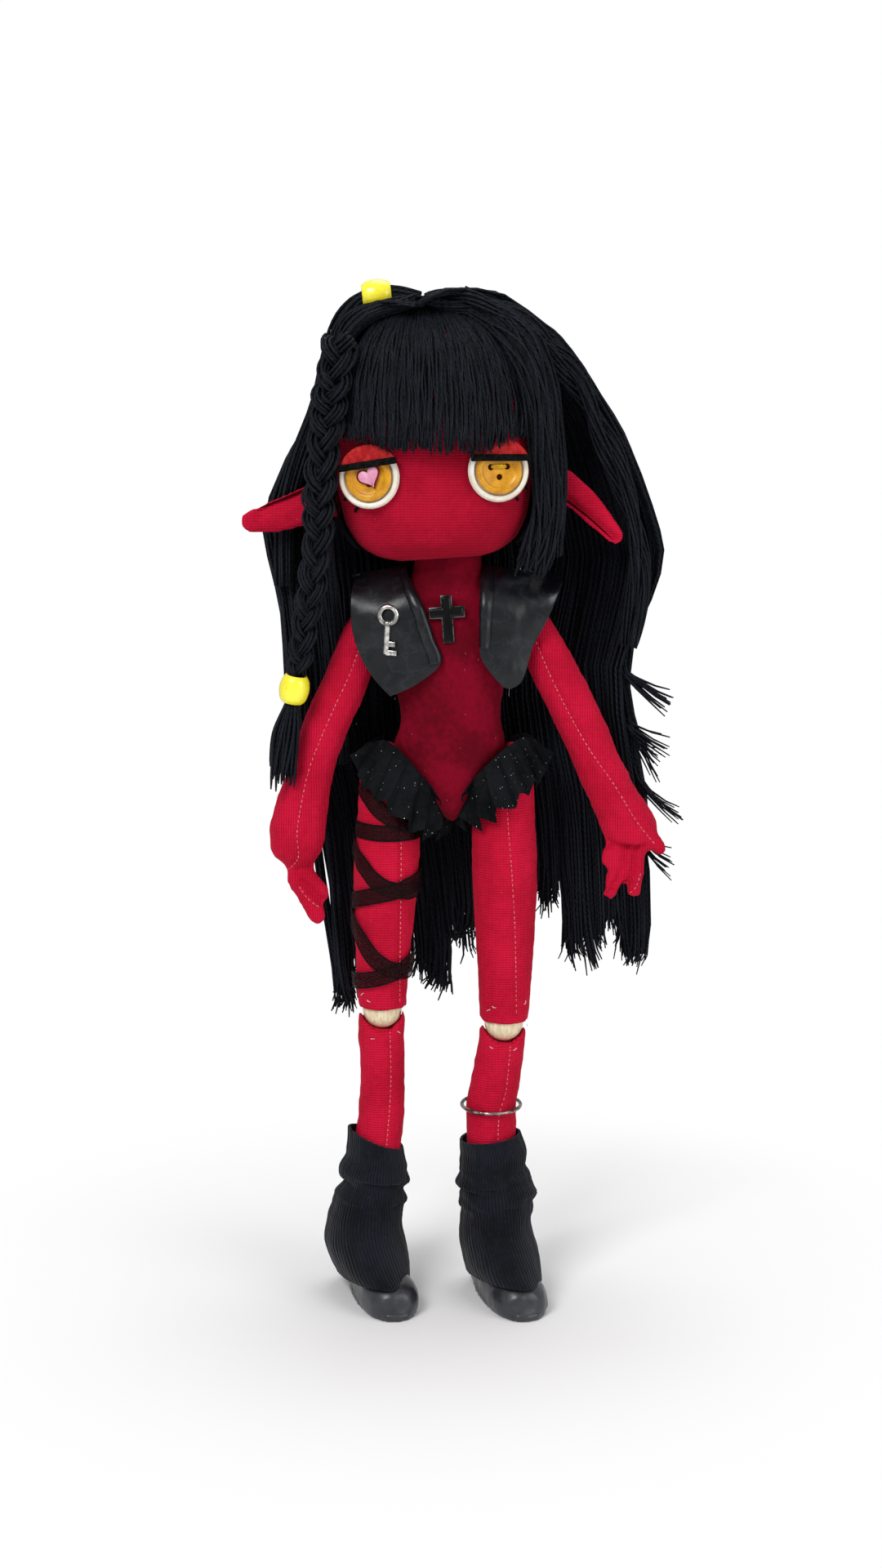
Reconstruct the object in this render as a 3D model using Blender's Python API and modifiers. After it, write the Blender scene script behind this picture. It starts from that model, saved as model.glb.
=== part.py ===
"""A stuffed cloth doll, about 37 cm tall, that stands on its shoes.

Metres, +Z up. The doll faces -Y, so its own right hand is at -X. Left and right are the doll's own.
Soft pieces are lofted through a few hand-chosen sections, and each is cut back from the piece that it
is sewn to or rests on, so that a clearance is kept wherever two pieces meet.
"""

import math

import bmesh
import bpy
from mathutils import Matrix, Vector

# Place of the doll's spine in the frame, and the gap that is kept between touching pieces
SPINE_X = -0.0028
SPINE_Y = -0.0048
CLEARANCE = 0.0003

# Heights of the landmarks above the floor
KNEE_HEIGHT_RIGHT = 0.1069
KNEE_HEIGHT_LEFT = 0.1019
CROTCH_HEIGHT = 0.178
CHIN_HEIGHT = 0.2735
HEAD_HEIGHT = 0.090

# Head, ears and face
HEAD_WIDTH = 0.0716
HEAD_DEPTH = 0.064
HEAD_OFFSET = -0.0033
HEAD_TILT = math.radians(3.0)
EAR_THICKNESS = 0.0065
EYE_SPACING = 0.044
EYE_RISE = 0.0304
EYE_TURN = math.radians(13)
EYE_SUNK = 0.0010
EYE_BUTTON_RADIUS = 0.011
EYE_BUTTON_HEIGHT = 0.0030
IRIS_RADIUS = 0.0083
IRIS_HEIGHT = 0.0019
IRIS_FLOOR = 0.0014
IRIS_HOLE_RADIUS = 0.0009
IRIS_HOLE_RING = 0.0030
EYELID_THICKNESS = 0.0009
EYELID_DROOP = math.radians(5.5)
EYELID_EDGE = 0.0044
LASH_WIDTH = 0.0024
LASH_THICKNESS = 0.0011
HEART_SIZE = 0.0052
HEART_THICKNESS = 0.0006

# Torso
NECK_WIDTH = 0.025
NECK_INSERT = 0.005
SHOULDER_WIDTH = 0.056
CHEST_DEPTH = 0.029
WAIST_WIDTH = 0.0386
HIP_WIDTH = 0.0436
CROTCH_WIDTH = 0.0044

# Arms and legs
ARM_RADIUS = 0.0088
WRIST_RADIUS = 0.0110
FINGER_RADIUS = 0.0033
THIGH_RADIUS = 0.0122
THIGH_SPACING = 0.043
KNEE_RADIUS = 0.0092
SHIN_RADIUS = 0.0092
ANKLE_RADIUS = 0.0085
KNEE_BEAD_RADIUS = 0.0073
KNEE_BEAD_BORE = 0.0014
KNEE_ELASTIC_RADIUS = 0.0010
KNEE_SPACING = 0.0453
KNEE_MIDDLE = -0.00165
THIGH_NOTCH = math.radians(32)
SHIN_NOTCH = math.radians(42)

# Anklet, leg warmers and shoes
ANKLET_TUBE = 0.0007
ANKLET_HEIGHT = 0.070
WARMER_THICKNESS = 0.0011
WARMER_TOP = 0.057
WARMER_HEM = 0.0095
FOOT_TURN = math.radians(15)
FOOT_LENGTH = 0.053
FOOT_WIDTH = 0.0214
SHOE_HEIGHT = 0.0175
HEEL_BACK = 0.0135
SOLE_THICKNESS = 0.0024
SOLE_WELT = 0.0006

# Clothes and trinkets
VEST_THICKNESS = 0.0011
VEST_CHEST = 0.0146
VEST_CURVE = 4.2
VEST_SHOULDER = CHIN_HEIGHT - 0.0020
VEST_LIFT = VEST_THICKNESS / 2 + CLEARANCE
RUFFLE_WIDTH = 0.0165
RUFFLE_THICKNESS = 0.0007
RUFFLE_PLEATS = 14
RUFFLE_PLEAT_DEPTH = 0.0011
RIBBON_WIDTH = 0.0060
RIBBON_THICKNESS = 0.0004
RIBBON_PITCH = 0.033
CROSS_HEIGHT = 0.0172
CROSS_WIDTH = 0.0128
CROSS_BAR = 0.0042
CROSS_THICKNESS = 0.0022
KEY_HEIGHT = 0.0185
KEY_THICKNESS = 0.0016

# Hair
CAP_THICKNESS = 0.0025
BANGS_THICKNESS = 0.0030
BANGS_RISE = EYE_RISE + 0.0133
LOCK_COUNT = 8
# How far below the crotch each lock ends, from the doll's left to its right
LOCK_DROPS = (0.055, 0.042, 0.056, 0.035, 0.043, 0.0645, 0.0605, 0.0775)
CROWN_RISE = 0.0045
BRAID_HALF_WIDTH = 0.0036
BRAID_STRAND_RADIUS = 0.0016
BRAID_PLAITS = 5.5
TWIST_RADIUS = 0.0025
CROWN_LOCK_RADIUS = 0.0036
HAIR_BEAD_RADIUS = 0.0056
HAIR_BEAD_LENGTH = 0.0092
HAIR_BEAD_BORE = 0.0034

# Finishes: colour, roughness and metallic value of each material
FINISHES = {
    "red_jersey": ((0.62, 0.012, 0.032), 0.85, 0.0),
    "red_velvet": ((0.23, 0.004, 0.012), 0.95, 0.0),
    "black_yarn": ((0.012, 0.013, 0.016), 0.9, 0.0),
    "black_leather": ((0.016, 0.017, 0.020), 0.38, 0.0),
    "black_tulle": ((0.014, 0.015, 0.016), 0.7, 0.0),
    "black_organza": ((0.030, 0.012, 0.012), 0.5, 0.0),
    "black_knit": ((0.012, 0.014, 0.020), 0.95, 0.0),
    "shoe_vinyl": ((0.030, 0.032, 0.036), 0.35, 0.0),
    "white_plastic": ((0.82, 0.79, 0.70), 0.3, 0.0),
    "amber_plastic": ((0.78, 0.40, 0.02), 0.3, 0.0),
    "yellow_plastic": ((0.88, 0.75, 0.02), 0.3, 0.0),
    "yellow_thread": ((0.80, 0.55, 0.03), 0.8, 0.0),
    "lid_felt": ((0.55, 0.03, 0.03), 0.9, 0.0),
    "black_felt": ((0.015, 0.015, 0.015), 0.9, 0.0),
    "pink_enamel": ((0.75, 0.30, 0.45), 0.35, 0.0),
    "cream_wood": ((0.80, 0.70, 0.48), 0.45, 0.0),
    "white_elastic": ((0.75, 0.73, 0.70), 0.8, 0.0),
    "black_enamel": ((0.010, 0.010, 0.010), 0.15, 0.0),
    "antique_silver": ((0.62, 0.60, 0.56), 0.35, 1.0),
    "steel": ((0.55, 0.52, 0.50), 0.25, 1.0),
}


# Scene, frames and materials


def clear_scene():
    for obj in list(bpy.data.objects):
        bpy.data.objects.remove(obj, do_unlink=True)


def new_collection(name):
    collection = bpy.data.collections.new(name)
    bpy.context.scene.collection.children.link(collection)
    return collection


def finish(name):
    """The material of that name, made the first time it is asked for."""
    found = bpy.data.materials.get(name)
    if found:
        return found
    colour, roughness, metallic = FINISHES[name]
    material = bpy.data.materials.new(name)
    material.use_nodes = True
    shader = material.node_tree.nodes["Principled BSDF"]
    shader.inputs["Base Color"].default_value = (*colour, 1.0)
    shader.inputs["Roughness"].default_value = roughness
    shader.inputs["Metallic"].default_value = metallic
    return material


def empty_at(name, place, parent=None, turn=None):
    """An empty that carries the pieces which belong to one frame of the doll."""
    frame = bpy.data.objects.new(name, None)
    DOLL.objects.link(frame)
    frame.parent = parent
    frame.matrix_basis = Matrix.Translation(Vector(place)) @ (turn or Matrix.Identity(4))
    bpy.context.view_layer.update()
    return frame


def add_mesh(name, bm, material, parent, angle=40):
    """A new object of the doll from bm, whose points are in the parent's frame."""
    bmesh.ops.recalc_face_normals(bm, faces=bm.faces)
    mesh = bpy.data.meshes.new(name)
    bm.to_mesh(mesh)
    bm.free()
    mesh.shade_smooth()
    mesh.set_sharp_from_angle(angle=math.radians(angle))
    mesh.materials.append(finish(material))
    obj = bpy.data.objects.new(name, mesh)
    DOLL.objects.link(obj)
    obj.parent = parent
    bpy.context.view_layer.update()
    return obj


def add_cutter(name, bm, parent):
    """A hidden object that only cuts others."""
    bmesh.ops.recalc_face_normals(bm, faces=bm.faces)
    mesh = bpy.data.meshes.new(name)
    bm.to_mesh(mesh)
    bm.free()
    obj = bpy.data.objects.new(name, mesh)
    CUTTERS.objects.link(obj)
    obj.parent = parent
    obj.hide_render = True
    obj.display_type = "WIRE"
    bpy.context.view_layer.update()
    return obj


# Shapes


def through(keys, count):
    """count tuples along a smooth curve through the key tuples (Catmull-Rom)."""
    made = []
    spans = len(keys) - 1
    for i in range(count):
        u = i * spans / (count - 1)
        k = min(int(u), spans - 1)
        t = u - k
        a, b = keys[max(k - 1, 0)], keys[k]
        c, d = keys[k + 1], keys[min(k + 2, spans)]
        made.append(
            tuple(
                0.5 * (2 * q + (r - p) * t + (2 * p - 5 * q + 4 * r - s) * t**2 + (3 * q - p - 3 * r + s) * t**3)
                for p, q, r, s in zip(a, b, c, d)
            )
        )
    return made


def rounded(value, squareness):
    """A cosine or sine bent towards a squarer outline, with squareness 2 for an ellipse."""
    return math.copysign(abs(value) ** (2 / squareness), value)


def ring(centre, across, deep, half_width, half_depth, sides, squareness=2.0):
    """The corners of one section: an ellipse, or a squarer one."""
    points = []
    for k in range(sides):
        a = 2 * math.pi * k / sides
        points.append(
            centre
            + across * (half_width * rounded(math.cos(a), squareness))
            + deep * (half_depth * rounded(math.sin(a), squareness))
        )
    return points


def skin(bm, rings, closed=False):
    """Faces between each ring and the next, with both ends filled unless the rings close on themselves."""
    rows = [[bm.verts.new(p) for p in points] for points in rings]
    pairs = list(zip(rows, rows[1:]))
    if closed:
        pairs.append((rows[-1], rows[0]))
    for low, high in pairs:
        count = len(low)
        for k in range(count):
            bm.faces.new((low[k], low[(k + 1) % count], high[(k + 1) % count], high[k]))
    if not closed:
        bm.faces.new(rows[0])
        bm.faces.new(rows[-1])


def tube_rings(sections, sides, deep=Vector((0, 1, 0)), squareness=2.0, domes=(0.0, 0.0)):
    """Rings across a path of sections (x, y, z, half width, half depth). domes rounds off either end."""
    centres = [Vector(s[:3]) for s in sections]
    rings = []
    last = len(sections) - 1
    for i, section in enumerate(sections):
        along = (centres[min(i + 1, last)] - centres[max(i - 1, 0)]).normalized()
        across = deep.cross(along).normalized()
        depth = along.cross(across).normalized()
        dome = domes[0] if i == 0 else domes[1] if i == last else 0
        outward = -along if i == 0 else along
        shapes = [(0.0, 1.0)]
        if dome:
            shapes += [(math.sin(a), math.cos(a)) for a in (math.radians(38), math.radians(68))]
        made = [
            ring(
                centres[i] + outward * (dome * section[3] * rise),
                across,
                depth,
                section[3] * shrink,
                section[4] * shrink,
                sides,
                squareness,
            )
            for rise, shrink in shapes
        ]
        rings += reversed(made) if i == 0 else made
    return rings


def tube(name, keys, count, sides, material, parent, **options):
    """A soft limb, lofted through key sections and closed at both ends."""
    bm = bmesh.new()
    skin(bm, tube_rings(through(keys, count), sides, **options))
    return add_mesh(name, bm, material, parent)


def turned(name, profile, steps, material, parent, place=None):
    """A round piece: a profile of (radius, height) points that a Screw modifier turns about Z."""
    bm = bmesh.new()
    corners = [bm.verts.new((r, 0, z)) for r, z in profile]
    for a, b in zip(corners, corners[1:]):
        bm.edges.new((a, b))
    if min(profile[0][0], profile[-1][0]) > 0:
        bm.edges.new((corners[-1], corners[0]))
    mesh = bpy.data.meshes.new(name)
    bm.to_mesh(mesh)
    bm.free()
    mesh.materials.append(finish(material))
    obj = bpy.data.objects.new(name, mesh)
    DOLL.objects.link(obj)
    obj.parent = parent
    if place:
        obj.matrix_basis = place
    screw = obj.modifiers.new("turn", "SCREW")
    screw.steps = steps
    screw.render_steps = steps
    screw.use_merge_vertices = True
    screw.merge_threshold = 0.00001
    bpy.context.view_layer.update()
    return made_mesh(obj)


def made_mesh(obj):
    """obj with its modifiers or curve turned into a plain closed mesh."""
    graph = bpy.context.evaluated_depsgraph_get()
    mesh = bpy.data.meshes.new_from_object(obj.evaluated_get(graph))
    bm = bmesh.new()
    bm.from_mesh(mesh)
    bmesh.ops.remove_doubles(bm, verts=bm.verts, dist=0.000005)
    bmesh.ops.recalc_face_normals(bm, faces=bm.faces)
    bm.to_mesh(mesh)
    bm.free()
    mesh.shade_smooth()
    mesh.set_sharp_from_angle(angle=math.radians(40))
    name, parent, basis = obj.name, obj.parent, obj.matrix_basis.copy()
    bpy.data.objects.remove(obj)
    mesh.name = name
    made = bpy.data.objects.new(name, mesh)
    DOLL.objects.link(made)
    made.parent = parent
    made.matrix_basis = basis
    bpy.context.view_layer.update()
    return made


def flat_plate(name, outline, thickness, material, parent, place):
    """A flat piece: a filled 2D curve through the outline, extruded by half its thickness each way."""
    curve = bpy.data.curves.new(name, "CURVE")
    curve.dimensions = "2D"
    curve.fill_mode = "BOTH"
    curve.extrude = thickness / 2
    spline = curve.splines.new("POLY")
    spline.points.add(len(outline) - 1)
    for point, (x, y) in zip(spline.points, outline):
        point.co = (x, y, 0, 1)
    spline.use_cyclic_u = True
    curve.materials.append(finish(material))
    obj = bpy.data.objects.new(name, curve)
    DOLL.objects.link(obj)
    obj.parent = parent
    obj.matrix_basis = place
    bpy.context.view_layer.update()
    return made_mesh(obj)


def sheet(name, rows, thickness, material, parent, closed=False):
    """A cloth panel: an open grid of points, given its thickness by Solidify."""
    bm = bmesh.new()
    grid = [[bm.verts.new(p) for p in row] for row in rows]
    for low, high in zip(grid, grid[1:]):
        pairs = list(zip(range(len(low) - 1), range(1, len(low))))
        if closed:
            pairs.append((len(low) - 1, 0))
        for a, b in pairs:
            bm.faces.new((low[a], low[b], high[b], high[a]))
    obj = add_mesh(name, bm, material, parent)
    solid = obj.modifiers.new("thickness", "SOLIDIFY")
    solid.thickness = thickness
    solid.offset = 0
    solid.use_even_offset = True
    return made_mesh(obj)


def cut(obj, cutter, operation="DIFFERENCE"):
    boolean = obj.modifiers.new(f"{operation.lower()}_{cutter.name}", "BOOLEAN")
    boolean.operation = operation
    boolean.object = cutter


def swollen(obj, gap):
    """A cutter in the shape that obj has before it is cut itself, larger by the gap all round."""
    bm = bmesh.new()
    bm.from_mesh(obj.data)
    bm.normal_update()
    moves = [v.normal * (gap * v.calc_shell_factor()) for v in bm.verts]
    for v, move in zip(bm.verts, moves):
        v.co += move
    cutter = add_cutter(f"room_for_{obj.name}", bm, obj.parent)
    cutter.matrix_basis = obj.matrix_basis
    bpy.context.view_layer.update()
    return cutter


def make_room(obj, *others, gap=CLEARANCE):
    """Cuts obj back from the pieces that it is sewn to or pressed against."""
    for other in others:
        cut(obj, swollen(other, gap))


def box_cutter(name, low, high, parent, turn=None):
    bm = bmesh.new()
    bmesh.ops.create_cube(bm, size=1.0)
    low, high = Vector(low), Vector(high)
    bmesh.ops.scale(bm, vec=high - low, verts=bm.verts)
    bmesh.ops.translate(bm, vec=(high + low) / 2, verts=bm.verts)
    if turn:
        bmesh.ops.transform(bm, matrix=turn, verts=bm.verts)
    return add_cutter(name, bm, parent)


# Head


def head_section(rise):
    """Half width and half depth of the head at a height above the chin, as shares of the full ones."""
    keys = [
        (0.000, 0.40, 0.40),
        (0.022, 0.62, 0.64),
        (0.070, 0.80, 0.82),
        (0.160, 0.925, 0.94),
        (0.290, 0.995, 1.00),
        (0.430, 1.010, 1.02),
        (0.560, 0.995, 1.02),
        (0.690, 0.945, 0.98),
        (0.810, 0.840, 0.88),
        (0.900, 0.675, 0.71),
        (0.960, 0.455, 0.48),
        (1.000, 0.140, 0.15),
    ]
    share = min(max(rise / HEAD_HEIGHT, 0.0), 1.0)
    for (r0, w0, d0), (r1, w1, d1) in zip(keys, keys[1:]):
        if share <= r1:
            t = (share - r0) / (r1 - r0)
            return (w0 + (w1 - w0) * t) * HEAD_WIDTH / 2, (d0 + (d1 - d0) * t) * HEAD_DEPTH / 2
    return keys[-1][1] * HEAD_WIDTH / 2, keys[-1][2] * HEAD_DEPTH / 2


HEAD_SQUARENESS = 2.7
HEAD_LEVELS = (0.0, 0.022, 0.07, 0.16, 0.29, 0.43, 0.56, 0.69, 0.81, 0.90, 0.96, 1.0)


def on_head(angle, rise, lift):
    """A point over the head's skin: angle from the face's middle towards the doll's left."""
    half_width, half_depth = head_section(rise)
    x = (half_width + lift) * rounded(math.sin(angle), HEAD_SQUARENESS)
    y = -(half_depth + lift) * rounded(math.cos(angle), HEAD_SQUARENESS)
    return Vector((x, y, rise))


def build_head():
    bm = bmesh.new()
    rings = []
    for share in HEAD_LEVELS:
        half_width, half_depth = head_section(share * HEAD_HEIGHT)
        centre = Vector((0, 0, share * HEAD_HEIGHT))
        rings.append(
            ring(centre, Vector((1, 0, 0)), Vector((0, 1, 0)), half_width, half_depth, 16, HEAD_SQUARENESS)
        )
    skin(bm, rings)
    return add_mesh("head", bm, "red_jersey", HEAD_FRAME)


def build_ear(name, keys, head):
    """A long pointed ear with a fold along its front, seated on the side of the head."""
    sections = through(keys, 6)
    rings = tube_rings(sections, 8, domes=(0.0, 0.8))
    for points in rings:
        middle = sum(points, Vector()) / len(points)
        for point in points:
            deep = middle.y - point.y
            if deep > 0.8 * max(middle.y - p.y for p in points):
                point.y += 0.45 * deep
    bm = bmesh.new()
    skin(bm, rings)
    ear = add_mesh(name, bm, "red_jersey", HEAD_FRAME)
    make_room(ear, head)
    return ear


def build_ears(head):
    half = HEAD_WIDTH / 2
    deep = EAR_THICKNESS / 2
    right = [
        (-half + 0.003, 0.001, 0.0245, 0.0075, deep),
        (-half - 0.010, 0.000, 0.0220, 0.0074, deep),
        (-half - 0.021, -0.001, 0.0190, 0.0068, deep),
        (-half - 0.0315, -0.002, 0.0170, 0.0043, deep * 0.8),
    ]
    left = [
        (half - 0.003, 0.001, 0.0310, 0.0066, deep),
        (half + 0.009, 0.000, 0.0250, 0.0064, deep),
        (half + 0.019, -0.001, 0.0160, 0.0056, deep),
        (half + 0.0285, -0.002, 0.0045, 0.0037, deep * 0.8),
    ]
    return build_ear("ear_right", right, head), build_ear("ear_left", left, head)


def eye_place(side):
    """The frame of an eye button: its Z points out of the face."""
    x = side * EYE_SPACING / 2
    half_width, half_depth = head_section(EYE_RISE)
    share = abs(x) / half_width
    y = -half_depth * (1 - share**HEAD_SQUARENESS) ** (1 / HEAD_SQUARENESS) + EYE_SUNK
    return (
        Matrix.Translation((x, y, EYE_RISE))
        @ Matrix.Rotation(side * EYE_TURN, 4, "Z")
        @ Matrix.Rotation(math.radians(90), 4, "X")
    )


def heart_outline(size):
    """A plain heart as a closed curve of its usual formula."""
    points = []
    for k in range(20):
        a = 2 * math.pi * k / 20
        x = 16 * math.sin(a) ** 3
        y = 13 * math.cos(a) - 5 * math.cos(2 * a) - 2 * math.cos(3 * a) - math.cos(4 * a)
        points.append((x * size / 32, y * size / 32))
    return points


def build_eye(side, label, head):
    """One eye: a white dished button with an amber button in it, a felt lid and a lash bar."""
    place = eye_place(side)
    rim = EYE_BUTTON_RADIUS - IRIS_RADIUS
    dish = IRIS_RADIUS + CLEARANCE
    white = turned(
        f"eye_button_{label}",
        [
            (0.0, IRIS_FLOOR),
            (dish, IRIS_FLOOR),
            (dish + 0.15 * rim, EYE_BUTTON_HEIGHT),
            (EYE_BUTTON_RADIUS - 0.35 * rim, EYE_BUTTON_HEIGHT),
            (EYE_BUTTON_RADIUS, 0.55 * EYE_BUTTON_HEIGHT),
            (EYE_BUTTON_RADIUS - 0.6 * rim, 0.0),
            (0.0, 0.0),
        ],
        16,
        "white_plastic",
        HEAD_FRAME,
        place,
    )
    seat = IRIS_FLOOR + CLEARANCE
    top = seat + IRIS_HEIGHT
    hollow = top - 0.0006
    iris = turned(
        f"iris_button_{label}",
        [
            (0.0, hollow),
            (0.72 * IRIS_RADIUS, hollow),
            (0.80 * IRIS_RADIUS, top),
            (0.94 * IRIS_RADIUS, top),
            (IRIS_RADIUS, top - 0.0005),
            (IRIS_RADIUS, seat),
            (0.0, seat),
        ],
        14,
        "amber_plastic",
        HEAD_FRAME,
        place,
    )
    for number, angle in enumerate((30, 150, 270)):
        bm = bmesh.new()
        bmesh.ops.create_cone(
            bm, cap_ends=True, segments=6, radius1=IRIS_HOLE_RADIUS, radius2=IRIS_HOLE_RADIUS, depth=4 * top
        )
        hole = add_cutter(f"iris_hole_{label}_{number}", bm, HEAD_FRAME)
        turn = math.radians(angle)
        hole.matrix_basis = place @ Matrix.Translation(
            (IRIS_HOLE_RING * math.cos(turn), IRIS_HOLE_RING * math.sin(turn), 0)
        )
        cut(iris, hole)
    # The lid lies on the iris button, and its straight edge droops towards the ear.
    lean = Matrix.Rotation(-side * EYELID_DROOP, 4, "Z")
    lid_radius = EYE_BUTTON_RADIUS + 0.0003
    lid_z = top + CLEARANCE + EYELID_THICKNESS / 2
    start = math.asin(EYELID_EDGE / lid_radius)
    arc = [start + (math.pi - 2 * start) * k / 12 for k in range(13)]
    lid = flat_plate(
        f"eyelid_{label}",
        [(lid_radius * math.cos(a), lid_radius * math.sin(a)) for a in arc],
        EYELID_THICKNESS,
        "lid_felt",
        HEAD_FRAME,
        place @ lean @ Matrix.Translation((0, 0, lid_z)),
    )
    bm = bmesh.new()
    bmesh.ops.create_cube(bm, size=1.0)
    lash_length = 2 * lid_radius * math.cos(start) + 0.0004
    bmesh.ops.scale(bm, vec=(lash_length, LASH_WIDTH, LASH_THICKNESS), verts=bm.verts)
    lash = add_mesh(f"lash_bar_{label}", bm, "black_felt", HEAD_FRAME)
    lash_z = lid_z + EYELID_THICKNESS / 2 + CLEARANCE + LASH_THICKNESS / 2
    lash.matrix_basis = place @ lean @ Matrix.Translation((0, EYELID_EDGE, lash_z))
    bevel = lash.modifiers.new("soft_edges", "BEVEL")
    bevel.width = 0.0003
    bevel.segments = 1
    # One round seat in the face takes the whole stack of buttons.
    seat_radius = lid_radius + CLEARANCE
    bm = bmesh.new()
    bmesh.ops.create_cone(
        bm, cap_ends=True, segments=16, radius1=seat_radius / 0.98, radius2=seat_radius / 0.98, depth=0.02
    )
    seat_cutter = add_cutter(f"eye_seat_{label}", bm, HEAD_FRAME)
    seat_cutter.matrix_basis = place @ Matrix.Translation((0, 0, 0.01 - CLEARANCE))
    cut(head, seat_cutter)
    return white, iris, lid, lash, place, hollow


def build_iris_thread(place, hollow):
    """The thread that shows between the two upper holes of the left iris button, down into them."""
    reach = IRIS_HOLE_RING * math.cos(math.radians(30))
    height = IRIS_HOLE_RING * math.sin(math.radians(30))
    radius = 0.6 * IRIS_HOLE_RADIUS
    crest = hollow + CLEARANCE + radius
    route = [
        (-reach, height, IRIS_FLOOR + 2 * CLEARANCE + 0.0002),
        (-reach, height, hollow - 0.0004),
        (-0.7 * reach, height, crest),
        (0.0, height, crest + 0.0001),
        (0.7 * reach, height, crest),
        (reach, height, hollow - 0.0004),
        (reach, height, IRIS_FLOOR + 2 * CLEARANCE + 0.0002),
    ]
    curve = bpy.data.curves.new("iris_thread_left", "CURVE")
    curve.dimensions = "3D"
    curve.bevel_depth = radius
    curve.bevel_resolution = 1
    curve.use_fill_caps = True
    spline = curve.splines.new("POLY")
    spline.points.add(len(route) - 1)
    for point, place_on in zip(spline.points, route):
        point.co = (*place_on, 1)
    curve.materials.append(finish("yellow_thread"))
    obj = bpy.data.objects.new("iris_thread_left", curve)
    DOLL.objects.link(obj)
    obj.parent = HEAD_FRAME
    obj.matrix_basis = place
    bpy.context.view_layer.update()
    return made_mesh(obj)


def build_face(head):
    right = build_eye(-1, "right", head)
    left = build_eye(1, "left", head)
    build_iris_thread(left[4], left[5])
    lift = right[5] + CLEARANCE + HEART_THICKNESS / 2
    flat_plate(
        "heart_patch_right",
        heart_outline(HEART_SIZE),
        HEART_THICKNESS,
        "pink_enamel",
        HEAD_FRAME,
        right[4]
        @ Matrix.Translation((0.0008, -0.0006, lift))
        @ Matrix.Rotation(math.radians(24), 4, "Z"),
    )


# Torso, arms and hands


def torso_height(share):
    """A height on the torso: 0 at the crotch, 1 at the chin."""
    return CROTCH_HEIGHT + share * (CHIN_HEIGHT - CROTCH_HEIGHT)


def build_torso(head):
    neck = NECK_WIDTH / 2
    shoulder, waist, hip, crotch = (w / 2 for w in (SHOULDER_WIDTH, WAIST_WIDTH, HIP_WIDTH, CROTCH_WIDTH))
    deep = CHEST_DEPTH / 2
    rows = [
        (0.0015, 0.000, crotch, 0.50 * deep),
        (0.0015, 0.030, 1.9 * crotch, 0.70 * deep),
        (0.0013, 0.095, 0.37 * hip, 0.80 * deep),
        (0.0012, 0.170, 0.60 * hip, 0.86 * deep),
        (0.0010, 0.230, 0.82 * hip, 0.88 * deep),
        (0.0010, 0.285, hip, 0.88 * deep),
        (0.0010, 0.375, waist, 0.82 * deep),
        (0.0010, 0.455, 1.03 * waist, 0.86 * deep),
        (0.0005, 0.560, 0.78 * shoulder, 0.96 * deep),
        (0.0005, 0.665, 0.90 * shoulder, deep),
        (0.0003, 0.750, shoulder, 0.97 * deep),
        (0.0002, 0.820, 0.93 * shoulder, 0.90 * deep),
        (0.0001, 0.870, 0.70 * shoulder, 0.85 * deep),
        (0.0000, 0.920, 1.14 * neck, 0.80 * deep),
        (0.0000, 1.000, neck, 0.76 * deep),
    ]
    sections = [(x, 0.0, torso_height(share), w, d) for x, share, w, d in rows]
    sections.append((0.0, 0.0, CHIN_HEIGHT + NECK_INSERT, neck, 0.76 * deep))
    bm = bmesh.new()
    skin(bm, tube_rings(sections, 12, squareness=2.2))
    torso = add_mesh("torso", bm, "red_velvet", BODY)
    make_room(head, torso)
    return torso


def lobe(name, path, radius, parent, flatness=0.85):
    """A finger, thumb or palm that is joined to the arm: a short round-ended tube."""
    keys = [(x, y, z, radius * share, radius * share * flatness) for x, y, z, share in path]
    bm = bmesh.new()
    skin(bm, tube_rings(through(keys, 3), 6, domes=(0.8, 0.9)))
    return add_cutter(name, bm, parent)


def build_arm(name, keys, lobes, torso, top):
    """One stuffed arm with its hand: the sleeve of jersey swells at the wrist, and the hand grows from it."""
    arm = tube(name, keys, 10, 8, "red_jersey", BODY, domes=(0.5, 0.55))
    for number, (path, radius, flatness) in enumerate(lobes):
        path = [(x, y, top - drop, share) for x, y, drop, share in path]
        cut(arm, lobe(f"{name}_lobe_{number}", path, radius, BODY, flatness), "UNION")
    make_room(arm, torso)
    return arm


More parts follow.
